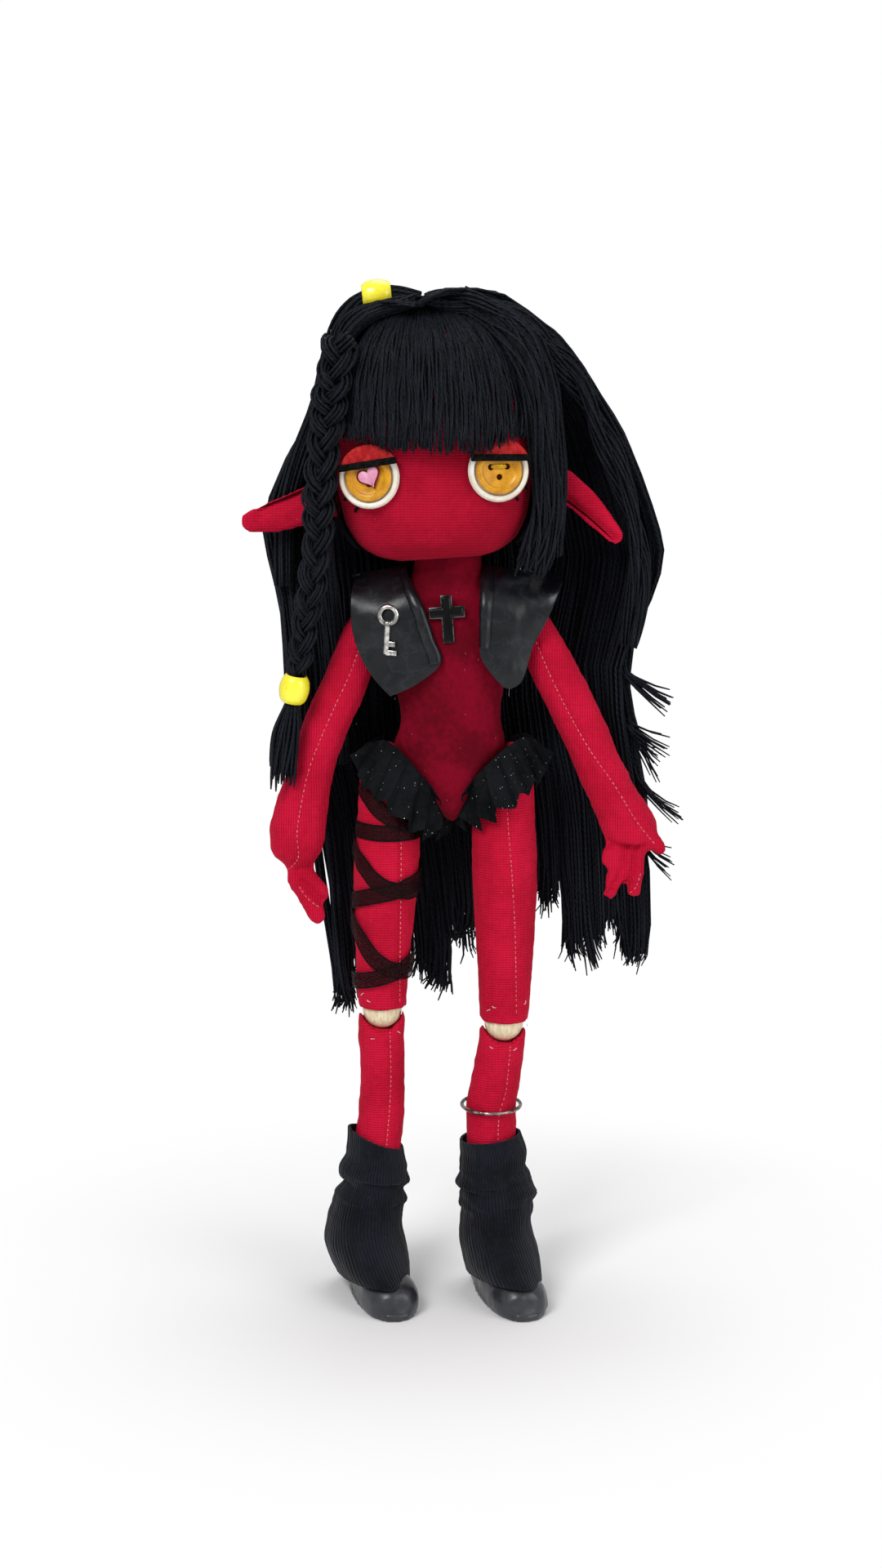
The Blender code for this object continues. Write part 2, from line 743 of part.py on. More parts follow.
def build_arms(torso):
    r = ARM_RADIUS
    top = torso_height(0.785)
    right_keys = [
        (-0.0285, 0.0, top, 0.70 * r, 0.80 * r),
        (-0.0320, -0.001, top - 0.0095, 0.92 * r, 0.90 * r),
        (-0.0372, -0.002, top - 0.0245, 0.98 * r, 0.95 * r),
        (-0.0435, -0.003, top - 0.0375, 0.98 * r, 0.95 * r),
        (-0.0492, -0.004, top - 0.0530, r, 0.95 * r),
        (-0.0518, -0.005, top - 0.0640, 1.06 * r, r),
        (-0.0547, -0.005, top - 0.0760, WRIST_RADIUS, 0.85 * WRIST_RADIUS),
        (-0.0556, -0.005, top - 0.0855, 0.90 * WRIST_RADIUS, 0.78 * WRIST_RADIUS),
    ]
    f = FINGER_RADIUS
    right_lobes = [
        (
            [(-0.0548, -0.006, 0.0890, 0.9),
             (-0.0532, -0.007, 0.0960, 1.0),
             (-0.0510, -0.008, 0.1010, 0.8)],
            1.9 * f,
            0.6,
        ),
        (
            [(-0.0535, -0.008, 0.0970, 1.0),
             (-0.0505, -0.009, 0.1035, 1.1),
             (-0.0476, -0.010, 0.1090, 1.0)],
            1.15 * f,
            0.85,
        ),
        (
            [(-0.0515, -0.007, 0.0940, 1.0),
             (-0.0475, -0.008, 0.0985, 1.0),
             (-0.0452, -0.009, 0.1015, 0.9)],
            f,
            0.85,
        ),
    ]
    left_keys = [
        (0.0295, 0.0, top, 0.70 * r, 0.80 * r),
        (0.0335, -0.001, top - 0.0095, 0.94 * r, 0.90 * r),
        (0.0412, -0.002, top - 0.0245, 1.02 * r, 0.95 * r),
        (0.0485, -0.003, top - 0.0390, 1.02 * r, 0.95 * r),
        (0.0558, -0.004, top - 0.0560, r, 0.95 * r),
        (0.0615, -0.005, top - 0.0675, 1.04 * r, r),
        (0.0665, -0.005, top - 0.0765, 0.96 * WRIST_RADIUS, 0.85 * WRIST_RADIUS),
        (0.0688, -0.005, top - 0.0820, 0.82 * WRIST_RADIUS, 0.78 * WRIST_RADIUS),
    ]
    left_lobes = [
        (
            [(0.0680, -0.006, 0.0810, 0.9),
             (0.0655, -0.007, 0.0875, 1.0),
             (0.0645, -0.008, 0.0920, 0.8)],
            2.2 * f,
            0.6,
        ),
        (
            [(0.0625, -0.008, 0.0900, 1.0),
             (0.0605, -0.009, 0.0960, 1.0),
             (0.0592, -0.010, 0.1005, 0.9)],
            f,
            0.85,
        ),
        (
            [(0.0690, -0.008, 0.0900, 1.0),
             (0.0686, -0.009, 0.0955, 1.0),
             (0.0680, -0.010, 0.1000, 0.9)],
            f,
            0.85,
        ),
        (
            [(0.0720, -0.007, 0.0785, 1.0),
             (0.0755, -0.008, 0.0820, 1.0),
             (0.0776, -0.009, 0.0845, 0.9)],
            f,
            0.85,
        ),
        (
            [(0.0610, -0.007, 0.0830, 0.9),
             (0.0590, -0.008, 0.0860, 1.0),
             (0.0578, -0.009, 0.0885, 0.9)],
            f,
            0.85,
        ),
    ]
    return (
        build_arm("arm_right", right_keys, right_lobes, torso, top),
        build_arm("arm_left", left_keys, left_lobes, torso, top),
    )


# Legs


def knee_place(side):
    """The centre of a knee bead, on the axis that the shin folds about."""
    height = KNEE_HEIGHT_LEFT if side > 0 else KNEE_HEIGHT_RIGHT
    return Vector((KNEE_MIDDLE + side * KNEE_SPACING / 2, 0.0, height))


def thigh_keys(side):
    """Key sections of a thigh from the hip down to the knee: x, y, z, half width, half depth."""
    knee = knee_place(side)
    hip = torso_height(0.30)
    top_x = side * THIGH_SPACING / 2
    rows = [
        (0.00, 0.00, 0.45),
        (0.03, 0.00, 0.72),
        (0.12, -0.02, 0.90),
        (0.28, -0.06, 0.98),
        (0.43, -0.02, 1.02),
        (0.60, 0.00, 0.97),
        (0.82, 0.03, 0.85),
    ]
    r = THIGH_RADIUS
    keys = []
    for share, shift, width in rows:
        x = top_x + (knee.x - top_x) * share + side * shift * r
        keys.append((x, 0.0, hip + (knee.z - hip) * share, width * r, 0.95 * width * r))
    keys.append((knee.x, 0.0, knee.z, KNEE_RADIUS, KNEE_RADIUS))
    return keys


def thigh_section(side, height):
    """Centre x, half width and half depth of a thigh at a height."""
    for low, high in zip(thigh_keys(side)[1:], thigh_keys(side)):
        if low[2] <= height <= high[2]:
            t = (height - low[2]) / (high[2] - low[2])
            return tuple(low[k] + (high[k] - low[k]) * t for k in (0, 3, 4))
    edge = thigh_keys(side)[0] if height > thigh_keys(side)[0][2] else thigh_keys(side)[-1]
    return edge[0], edge[3], edge[4]


def fold_wedge(name, parent, side_up, angle):
    """A cutter behind the knee axis: everything between the level plane and one leaned by the angle."""
    reach, half = 0.03, 0.02
    rise = reach * math.tan(angle) * side_up
    step = CLEARANCE / 2 * side_up
    low = -0.001 * side_up
    outline = [(-0.03, low), (reach, low), (reach, rise + step), (0.0, step), (-0.03, step)]
    bm = bmesh.new()
    skin(bm, [[Vector((x, y, z)) for y, z in outline] for x in (-half, half)])
    return add_cutter(name, bm, parent)


def build_knee_bead(side, label, frame):
    """A turned wooden ball with a thread hole from top to bottom."""
    r, bore = KNEE_BEAD_RADIUS, KNEE_BEAD_BORE
    start = math.asin(bore / r)
    arc = [start + (math.pi - 2 * start) * k / 6 for k in range(7)]
    profile = [(r * math.sin(a), r * math.cos(a)) for a in arc]
    return turned(f"knee_bead_{label}", profile, 14, "cream_wood", frame)


def build_leg(side, label, torso):
    """A thigh, its knee bead, the elastic through the bead and the shin, whose top cups the bead."""
    knee = knee_place(side)
    frame = KNEE_FRAMES[side]
    sections = through(thigh_keys(side), 10)
    bm = bmesh.new()
    skin(bm, tube_rings(sections, 10))
    thigh = add_mesh(f"thigh_{label}", bm, "red_jersey", BODY)
    cut(thigh, fold_wedge(f"thigh_notch_{label}", frame, 1, THIGH_NOTCH))
    make_room(thigh, torso)
    bead = build_knee_bead(side, label, frame)
    bm = bmesh.new()
    seat_radius = (KNEE_BEAD_RADIUS + CLEARANCE) / math.cos(math.pi / 14)
    bmesh.ops.create_uvsphere(bm, u_segments=14, v_segments=9, radius=seat_radius)
    seat = add_cutter(f"knee_seat_{label}", bm, frame)
    cut(thigh, seat)
    # The elastic is anchored in the thigh's stuffing and knotted at the foot of the bead.
    reach = KNEE_BEAD_RADIUS + 0.006
    foot = -math.sqrt(KNEE_BEAD_RADIUS**2 - KNEE_BEAD_BORE**2) + 0.0003
    elastic = turned(
        f"knee_elastic_{label}",
        [(0.0, reach), (KNEE_ELASTIC_RADIUS, reach), (KNEE_ELASTIC_RADIUS, foot), (0.0, foot)],
        10,
        "white_elastic",
        frame,
    )
    make_room(thigh, elastic)
    shin = build_shin(side, label, frame, knee, seat)
    return thigh, bead, shin


def shin_rows(side):
    """Key sections of a shin: share of the way from knee to sole, sideways shift, half width."""
    s, a = SHIN_RADIUS, ANKLE_RADIUS
    if side < 0:
        return [
            (0.00, 0.0000, KNEE_RADIUS),
            (0.10, -0.0004, 0.97 * s),
            (0.22, 0.0001, 0.93 * s),
            (0.36, -0.0003, 0.97 * s),
            (0.50, -0.0020, s),
            (0.62, -0.0032, a),
            (0.84, -0.0040, 0.95 * a),
        ]
    return [
        (0.00, 0.0000, KNEE_RADIUS),
        (0.10, -0.0010, 0.97 * s),
        (0.19, -0.0024, 1.02 * s),
        (0.31, -0.0046, 1.05 * s),
        (0.43, -0.0044, 1.05 * s),
        (0.56, -0.0038, 1.05 * a),
        (0.84, -0.0018, 0.95 * a),
    ]


def shin_section(side, height):
    """Centre x, centre y and half width of a shin at a height above the floor, in the knee's frame for x."""
    knee = knee_place(side)
    share = (knee.z - height) / knee.z
    rows = shin_rows(side)
    for (s0, x0, w0), (s1, x1, w1) in zip(rows, rows[1:]):
        if share <= s1:
            t = (share - s0) / (s1 - s0)
            return x0 + (x1 - x0) * t, w0 + (w1 - w0) * t
    return rows[-1][1], rows[-1][2]


def build_shin(side, label, frame, knee, seat):
    keys = [(x, 0.0, -share * knee.z, w, 0.97 * w) for share, x, w in shin_rows(side)]
    bm = bmesh.new()
    skin(bm, tube_rings(through(keys, 9), 10))
    shin = add_mesh(f"shin_{label}", bm, "red_jersey", frame)
    cut(shin, fold_wedge(f"shin_notch_{label}", frame, -1, SHIN_NOTCH))
    cut(shin, seat)
    # The cup is open in front, so the lower half of the bead shows in a U.
    bm = bmesh.new()
    bmesh.ops.create_cone(
        bm,
        cap_ends=True,
        segments=14,
        radius1=KNEE_BEAD_RADIUS + CLEARANCE,
        radius2=KNEE_BEAD_RADIUS + CLEARANCE,
        depth=0.02,
    )
    window = add_cutter(f"shin_window_{label}", bm, frame)
    window.matrix_basis = Matrix.Translation((0, -0.01, 0)) @ Matrix.Rotation(math.radians(90), 4, "X")
    cut(shin, window)
    return shin


# Shoes and leg warmers


def foot_place(side):
    """The frame of a foot on the floor under its ankle: its Y runs from the heel to the toe."""
    x, _ = shin_section(side, 0.2 * knee_place(side).z)
    ankle = knee_place(side).x + x
    return (
        Matrix.Translation((ankle, 0, 0))
        @ Matrix.Rotation(FOOT_TURN, 4, "Z")
        @ Matrix.Rotation(math.pi, 4, "Z")
    )


def foot_outline(grow):
    """The sole's outline: y from the heel to the toe, wider at the ball than at the heel."""
    points = []
    middle = FOOT_LENGTH / 2 - HEEL_BACK
    for k in range(24):
        a = 2 * math.pi * k / 24
        y = middle + (FOOT_LENGTH / 2 + grow) * math.sin(a)
        narrowing = 1.0 - 0.13 * (1 - math.sin(a)) / 2
        x = (FOOT_WIDTH / 2 + grow) * rounded(math.cos(a), 2.5) * narrowing
        points.append((x, y))
    return points


def build_shoe(side, label, shin):
    """A round-toed slip-on: a moulded upper on a flat sole with a narrow welt."""
    frame = KNEE_FRAMES[side]
    place = frame.matrix_world.inverted() @ BODY.matrix_world @ foot_place(side)
    sole = flat_plate(
        f"shoe_sole_{label}",
        foot_outline(SOLE_WELT),
        SOLE_THICKNESS,
        "shoe_vinyl",
        frame,
        place @ Matrix.Translation((0, 0, SOLE_THICKNESS / 2)),
    )
    floor = SOLE_THICKNESS + CLEARANCE
    half, heel = FOOT_WIDTH / 2, -HEEL_BACK
    rows = [
        (0.02, 0.45, 0.60),
        (0.10, 0.80, 0.90),
        (0.25, 0.92, 1.00),
        (0.45, 0.92, 0.92),
        (0.62, 0.97, 0.74),
        (0.78, 1.00, 0.68),
        (0.90, 0.86, 0.60),
        (0.97, 0.55, 0.44),
    ]
    sections = [
        (0.0, heel + share * FOOT_LENGTH, floor, half * width, (SHOE_HEIGHT - floor) * height)
        for share, width, height in rows
    ]
    bm = bmesh.new()
    skin(bm, tube_rings(sections, 14, deep=Vector((0, 0, 1)), squareness=2.3))
    upper = add_mesh(f"shoe_upper_{label}", bm, "shoe_vinyl", frame)
    upper.matrix_basis = place
    bpy.context.view_layer.update()
    ground = box_cutter(f"shoe_floor_{label}", (-0.03, -0.03, -0.03), (0.03, 0.06, floor), frame)
    ground.matrix_basis = place
    cut(upper, ground)
    make_room(upper, shin)
    return upper, sole


def build_warmer(side, label, shin, upper):
    """A knitted tube pushed down in soft folds, with its hem spread over the shoe."""
    knee = knee_place(side)
    frame = KNEE_FRAMES[side]
    # share of the way from the top to the hem, how far the knit stands off the leg, forward reach
    rows = [
        (0.00, 0.0010, 0.000),
        (0.10, 0.0013, 0.000),
        (0.20, 0.0030, 0.000),
        (0.28, 0.0034, 0.000),
        (0.36, 0.0020, 0.000),
        (0.43, 0.0056, 0.001),
        (0.54, 0.0066, 0.002),
        (0.66, 0.0060, 0.004),
        (0.80, 0.0062, 0.009),
        (0.92, 0.0066, 0.013),
        (1.00, 0.0058, 0.0150),
    ]
    out = Vector((-math.sin(FOOT_TURN) * -1, -math.cos(FOOT_TURN), 0))
    grid = []
    for share, stand, reach in rows:
        height = WARMER_TOP + (WARMER_HEM - WARMER_TOP) * share
        x, half = shin_section(side, height)
        half += stand
        lean = 0.0012 * share
        row = []
        for k in range(11):
            a = 2 * math.pi * k / 11
            forward = max(0.0, -math.sin(a))
            p = Vector((x - lean + half * math.cos(a), half * math.sin(a), height - knee.z))
            p += out * (reach * forward)
            p.z += 0.0025 * share * (1 - forward) + 0.0010 * math.cos(a + 1.0) * (1 - share)
            row.append(p)
        grid.append(row)
    warmer = sheet(f"leg_warmer_{label}", grid, WARMER_THICKNESS, "black_knit", frame, closed=True)
    make_room(upper, warmer)
    return warmer


def build_anklet():
    """A plain metal ring that hangs round the left shin."""
    knee = knee_place(1)
    x, half = shin_section(1, ANKLET_HEIGHT)
    radius = half + ANKLET_TUBE + 2 * CLEARANCE
    bpy.ops.mesh.primitive_torus_add(
        major_segments=20, minor_segments=5, major_radius=radius, minor_radius=ANKLET_TUBE
    )
    obj = bpy.context.object
    for collection in list(obj.users_collection):
        collection.objects.unlink(obj)
    DOLL.objects.link(obj)
    obj.name = "anklet_ring"
    obj.data.materials.append(finish("steel"))
    obj.data.shade_smooth()
    obj.parent = KNEE_FRAMES[1]
    obj.matrix_basis = Matrix.Translation((x, 0, ANKLET_HEIGHT - knee.z)) @ Matrix.Rotation(
        math.radians(3), 4, "Y"
    )
    bpy.context.view_layer.update()
    return obj


# Clothes


def panel_y(x, drop):
    """How far in front of the spine the vest hangs: full at the chest, rolling back to the shoulder seam."""
    roll = min(drop / 0.016, 1.0)
    return -(VEST_CHEST - VEST_CURVE * x * x) * math.sin(roll * math.pi / 2) ** 0.8


def build_vest_front(name, rows):
    """One front panel, ruled between its neck edge and its armhole edge and draped over the chest."""
    grid = []
    for inner_x, inner_drop, outer_x, outer_drop in through(rows, 9):
        row = []
        for k in range(6):
            t = k / 5
            x = inner_x + (outer_x - inner_x) * t
            z = VEST_SHOULDER - inner_drop - (outer_drop - inner_drop) * t
            seam = VEST_SHOULDER - 0.20 * max(abs(x) - 0.015, 0.0)
            row.append(Vector((x, panel_y(x, max(seam - z, 0.0)) - VEST_LIFT, z)))
        grid.append(row)
    return sheet(name, grid, VEST_THICKNESS, "black_leather", BODY)


def build_vest(torso):
    # inner edge and its drop below the shoulder, outer edge and its drop
    right = build_vest_front(
        "vest_front_right",
        [
            (-0.0150, 0.0005, -0.0345, 0.0045),
            (-0.0148, 0.0025, -0.0350, 0.0085),
            (-0.0120, 0.0085, -0.0346, 0.0155),
            (-0.0086, 0.0155, -0.0340, 0.0235),
            (-0.0055, 0.0245, -0.0312, 0.0325),
            (-0.0026, 0.0345, -0.0262, 0.0405),
            (-0.0150, 0.0450, -0.0205, 0.0465),
        ],
    )
    left = build_vest_front(
        "vest_front_left",
        [
            (0.0140, 0.0005, 0.0405, 0.0055),
            (0.0135, 0.0025, 0.0402, 0.0085),
            (0.0146, 0.0095, 0.0372, 0.0155),
            (0.0160, 0.0175, 0.0325, 0.0225),
            (0.0158, 0.0265, 0.0285, 0.0305),
            (0.0130, 0.0345, 0.0262, 0.0375),
            (0.0140, 0.0385, 0.0225, 0.0430),
        ],
    )
    grid = []
    for share in (0.0, 0.04, 0.14, 0.3, 0.6, 1.0):
        z = VEST_SHOULDER - 0.001 - 0.0355 * share
        row = []
        for k in range(8):
            x = -0.0345 + (0.0395 + 0.0345) * k / 7
            narrowing = 1.0 - 0.22 * share
            x *= narrowing
            seam = VEST_SHOULDER - 0.20 * max(abs(x) - 0.015, 0.0)
            drop = max(seam - z, 0.0)
            row.append(Vector((x, -panel_y(x, drop) + VEST_LIFT, min(z, seam - 0.0003))))
        grid.append(row)
    back = sheet("vest_back", grid, VEST_THICKNESS, "black_leather", BODY)
    make_room(back, torso)
    return right, left, back


def build_ruffle(side, label):
    """A pleated band round the leg opening, gathered along the slant of the hip."""
    columns = RUFFLE_PLEATS * 2
    middle = torso_height(0.155)
    swing = 0.0145
    grid = []
    for row in range(3):
        down = row / 2
        points = []
        for k in range(columns):
            a = 2 * math.pi * k / columns
            height = middle + swing * math.cos(a) - RUFFLE_WIDTH * down * (0.75 - 0.25 * math.cos(a))
            x, half, deep = thigh_section(side, min(height, torso_height(0.20)))
            pleat = RUFFLE_PLEAT_DEPTH * (0.35 + 0.65 * down) * math.cos(RUFFLE_PLEATS * a)
            seat = RUFFLE_THICKNESS / 2 + CLEARANCE + 0.35 * RUFFLE_PLEAT_DEPTH
            out = seat + 0.0024 * down + pleat
            points.append(
                Vector((x + side * (half + out) * math.cos(a), (deep + out) * math.sin(a), height))
            )
        grid.append(points)
    return sheet(f"leg_ruffle_{label}", grid, RUFFLE_THICKNESS, "black_tulle", BODY, closed=True)


def build_ribbon(name, hand, lift, first, turns, start_angle):
    """A sheer ribbon wound down the right thigh: hand is 1 or -1 for the way it winds."""
    steps = int(16 * turns)
    rows = []
    for k in range(steps + 1):
        a = start_angle + hand * 2 * math.pi * turns * k / steps
        height = first - RIBBON_PITCH * turns * k / steps
        row = []
        for edge in (0.5, -0.5):
            z = height + edge * RIBBON_WIDTH
            x, half, deep = thigh_section(-1, z)
            row.append(Vector((x + (half + lift) * math.cos(a), (deep + lift) * math.sin(a), z)))
        rows.append(row)
    return sheet(name, rows, RIBBON_THICKNESS, "black_organza", BODY)


def build_ribbons():
    inner = CLEARANCE + RIBBON_THICKNESS + 0.0001
    outer = inner + RIBBON_THICKNESS + CLEARANCE
    top = torso_height(0.0) - 0.0045
    build_ribbon("thigh_ribbon_inner", 1, inner, top, 1.5, math.radians(180))
    build_ribbon("thigh_ribbon_outer", -1, outer, top - 0.0015, 1.5, math.radians(180))


# Trinkets


def build_cross(torso):
    """A plain cross with rounded ends, sewn to the chest."""
    front = CHEST_DEPTH / 2
    place = Matrix.Translation((0, -front - 0.0008, VEST_SHOULDER - 0.0188)) @ Matrix.Rotation(
        math.radians(-4), 4, "Y"
    )
    bar = CROSS_BAR / 2
    cross_at = 0.14 * CROSS_HEIGHT
    bm = bmesh.new()
    outline = [
        (bar, -CROSS_HEIGHT / 2),
        (bar, cross_at - bar),
        (CROSS_WIDTH / 2, cross_at - bar),
        (CROSS_WIDTH / 2, cross_at + bar),
        (bar, cross_at + bar),
        (bar, CROSS_HEIGHT / 2),
    ]
    outline += [(-x, z) for x, z in reversed(outline)]
    corners = [bm.verts.new((x, 0, z)) for x, z in outline]
    face = bm.faces.new(corners)
    side = bmesh.ops.extrude_face_region(bm, geom=[face])
    moved = [v for v in side["geom"] if isinstance(v, bmesh.types.BMVert)]
    bmesh.ops.translate(bm, vec=(0, CROSS_THICKNESS, 0), verts=moved)
    bmesh.ops.translate(bm, vec=(0, -CROSS_THICKNESS / 2, 0), verts=bm.verts)
    cross = add_mesh("cross_charm", bm, "black_enamel", BODY)
    cross.matrix_basis = place
    bevel = cross.modifiers.new("rounded", "BEVEL")
    bevel.width = 0.0006
    bevel.segments = 1
    bpy.context.view_layer.update()
    make_room(torso, cross)
    return cross


def build_key():
    """A small plain key of cast metal, pinned flat to the right front of the vest."""
    x, z = -0.0215, VEST_SHOULDER - 0.0225
    slope = math.atan(2 * VEST_CURVE * abs(x))
    depth = panel_y(x, 0.02) - VEST_LIFT - VEST_THICKNESS / 2 - CLEARANCE - KEY_THICKNESS / 2
    place = (
        Matrix.Translation((x, depth - 0.0003, z))
        @ Matrix.Rotation(-slope, 4, "Z")
        @ Matrix.Rotation(math.radians(90), 4, "X")
    )
    bow = 0.165 * KEY_HEIGHT
    shaft = 0.055 * KEY_HEIGHT
    top = KEY_HEIGHT / 2
    bm = bmesh.new()
    ring_rows = []
    for k in range(16):
        a = 2 * math.pi * k / 16
        centre = Vector((math.cos(a) * bow, math.sin(a) * bow + top - 1.35 * bow, 0))
        out = Vector((math.cos(a), math.sin(a), 0))
        ring_rows.append(ring(centre, out, Vector((0, 0, 1)), 0.35 * bow, KEY_THICKNESS / 2, 6))
    skin(bm, ring_rows, closed=True)
    key = add_mesh("key_charm", bm, "antique_silver", BODY)
    key.matrix_basis = place
    pieces = [
        ((-shaft, -top, -0.4 * KEY_THICKNESS), (shaft, top - 2.15 * bow, 0.4 * KEY_THICKNESS)),
        ((0.0, -top, -0.3 * KEY_THICKNESS), (3.6 * shaft, -top + 1.6 * shaft, 0.3 * KEY_THICKNESS)),
        (
            (0.0, -top + 3.0 * shaft, -0.3 * KEY_THICKNESS),
            (3.0 * shaft, -top + 4.6 * shaft, 0.3 * KEY_THICKNESS),
        ),
    ]
    for number, (low, high) in enumerate(pieces):
        part = box_cutter(f"key_part_{number}", low, high, BODY)
        part.matrix_basis = place
        cut(key, part, "UNION")
    bpy.context.view_layer.update()
    return key


# Hair


def hair_levels():
    """Rows of the hanging hair, crown first: z, centre x, centre y, half width, half depth, thickness."""
    crown = CHIN_HEIGHT + HEAD_HEIGHT
    chin = CHIN_HEIGHT
    c = torso_height(0.0)
    return [
        (crown - 0.0040, -0.0005, 0.0045, 0.0355, 0.0260, 0.0030),
        (crown - 0.0110, 0.0000, 0.0050, 0.0395, 0.0300, 0.0036),
        (crown - 0.0240, 0.0005, 0.0060, 0.0468, 0.0330, 0.0046),
        (crown - 0.0390, 0.0020, 0.0075, 0.0545, 0.0345, 0.0055),
        (crown - 0.0540, 0.0030, 0.0090, 0.0608, 0.0345, 0.0060),
        (chin + 0.0100, 0.0038, 0.0105, 0.0715, 0.0310, 0.0060),
        (chin - 0.0060, 0.0055, 0.0120, 0.0715, 0.0250, 0.0055),
        (chin - 0.0350, 0.0045, 0.0130, 0.0648, 0.0190, 0.0050),
        (c + 0.0280, 0.0095, 0.0140, 0.0635, 0.0150, 0.0048),
        (c - 0.0020, 0.0135, 0.0145, 0.0630, 0.0130, 0.0045),
        (c - 0.0300, 0.0145, 0.0145, 0.0620, 0.0120, 0.0040),
        (c - 0.0560, 0.0157, 0.0145, 0.0610, 0.0120, 0.0036),
        (c - max(LOCK_DROPS) - 0.0025, 0.0160, 0.0145, 0.0600, 0.0120, 0.0032),
    ]


def curtain(level, s):
    """A point and the outward way on one level of the hair. s runs from the doll's left to its right."""
    z, cx, cy, half_width, half_depth, _ = level
    x = 0.5 * math.cos(math.pi * s) + 0.5 * (1 - 2 * s)
    y = math.sqrt(max(1 - x * x, 0.0))
    out = Vector((x / half_width, y / half_depth, 0)).normalized()
    return Vector((cx + half_width * x, cy + half_depth * y, z)), out


def lock_section(level, s0, s1, narrow):
    """The ring of one lock on one level: thick in its middle and thin where it meets the next lock."""
    middle, half = (s0 + s1) / 2, (s1 - s0) / 2 * narrow
    thickness = level[5]
    outer, inner = [], []
    for f in (0.0, 0.33, 0.67, 1.0):
        point, out = curtain(level, middle - half + 2 * half * f)
        body = thickness * (0.30 + 0.70 * math.sin(math.pi * f))
        along = Vector((0, 0, 1)).cross(out)
        shift = along * ((1 - 2 * f) * 0.6 * CLEARANCE)
        outer.append(point + out * body + shift)
        inner.append(point - out * body * 0.9 + shift)
    return outer + inner[::-1]


def build_lock(number, s0, s1, end):
    """One hanging lock of yarn from the parting to its own cut end."""
    levels = through(hair_levels(), 14)
    kept = [level for level in levels if level[0] > end + 0.002]
    last = max(level[0] for level in levels if level[0] <= end + 0.002)
    tail = next(level for level in levels if level[0] == last)
    rings = []
    for level in kept:
        near = min(max((level[0] - end) / 0.030, 0.0), 1.0)
        rings.append(lock_section(level, s0, s1, 0.72 + 0.28 * near))
    tip = (end, *tail[1:5], tail[5] * 0.8)
    rings.append(lock_section(tip, s0, s1, 0.70))
    bm = bmesh.new()
    skin(bm, rings)
    return add_mesh(f"hair_lock_{number}", bm, "black_yarn", BODY)


def build_hair_cap(head, ears):
    """The mass of yarn stitched over the scalp, fullest beside the crown and open in front of the face."""
    # shares of the head's height, width and depth: drop below the crown, half width, half depth;
    # then centre x, centre y
    rows = [
        (-0.0389, 0.1397, 0.1250, 0.0050, 0.0040),
        (-0.0222, 0.3073, 0.2344, 0.0050, 0.0040),
        (0.0222, 0.4330, 0.3594, 0.0050, 0.0030),
        (0.1000, 0.5028, 0.4531, 0.0045, 0.0020),
        (0.2111, 0.5419, 0.5078, 0.0035, 0.0010),
        (0.5333, 0.5531, 0.5563, 0.0010, 0.0000),
        (0.6889, 0.5475, 0.5531, 0.0000, 0.0000),
        (0.8444, 0.5168, 0.5234, 0.0000, 0.0000),
        (0.9556, 0.4190, 0.4219, 0.0000, 0.0000),
    ]
    rows = [(drop, w * HEAD_WIDTH, d * HEAD_DEPTH, x, y) for drop, w, d, x, y in rows]
    across, deep = Vector((1, 0, 0)), Vector((0, 1, 0))
    bm = bmesh.new()
    skin(
        bm,
        [
            ring(Vector((x, y, HEAD_HEIGHT * (1 - drop))), across, deep, w, d, 12, 2.4)
            for drop, w, d, x, y in rows
        ],
    )
    cap = add_mesh("hair_cap", bm, "black_yarn", HEAD_FRAME)
    make_room(cap, head, *ears)
    face = box_cutter(
        "face_opening",
        (-HEAD_WIDTH, -1.2 * HEAD_DEPTH, -0.2 * HEAD_HEIGHT),
        (HEAD_WIDTH, -0.002, 1.35 * HEAD_HEIGHT),
        HEAD_FRAME,
        Matrix.Rotation(math.radians(7), 4, "X"),
    )
    cut(cap, face)
    bpy.context.view_layer.update()
    return made_mesh(cap)


def build_bangs(cap, head):
    """The fringe: a ribbed sheet from the parting over the forehead to a straight cut above the eyes."""
    columns, rows = 17, 6
    hem = BANGS_RISE
    grid_out, grid_in = [], []
    for r in range(rows):
        t = r / (rows - 1)
        outer, inner = [], []
        for c in range(columns):
            f = 2 * c / (columns - 1) - 1
            spread = math.radians(14 + 39 * t**0.7)
            angle = f * spread
            top = 0.985 * HEAD_HEIGHT
            rise = top + (hem - top) * t**1.15
            if r == rows - 1:
                rise += 0.0007 * math.sin(9.0 * c) + 0.0010 * f * f
            rib = 0.00035 * (1 if c % 2 else -1)
            lift = CLEARANCE + CAP_THICKNESS * 0.25
            inner.append(on_head(angle, rise, lift))
            thick = BANGS_THICKNESS * (0.75 + 0.25 * t)
            outer.append(on_head(angle, rise, lift + thick + rib))
        grid_out.append(outer)
        grid_in.append(inner)
    bm = bmesh.new()
    rings = [a + b[::-1] for a, b in zip(grid_out, grid_in)]
    skin(bm, rings)
    bangs = add_mesh("bangs", bm, "black_yarn", HEAD_FRAME)
    make_room(bangs, cap, head)
    return bangs


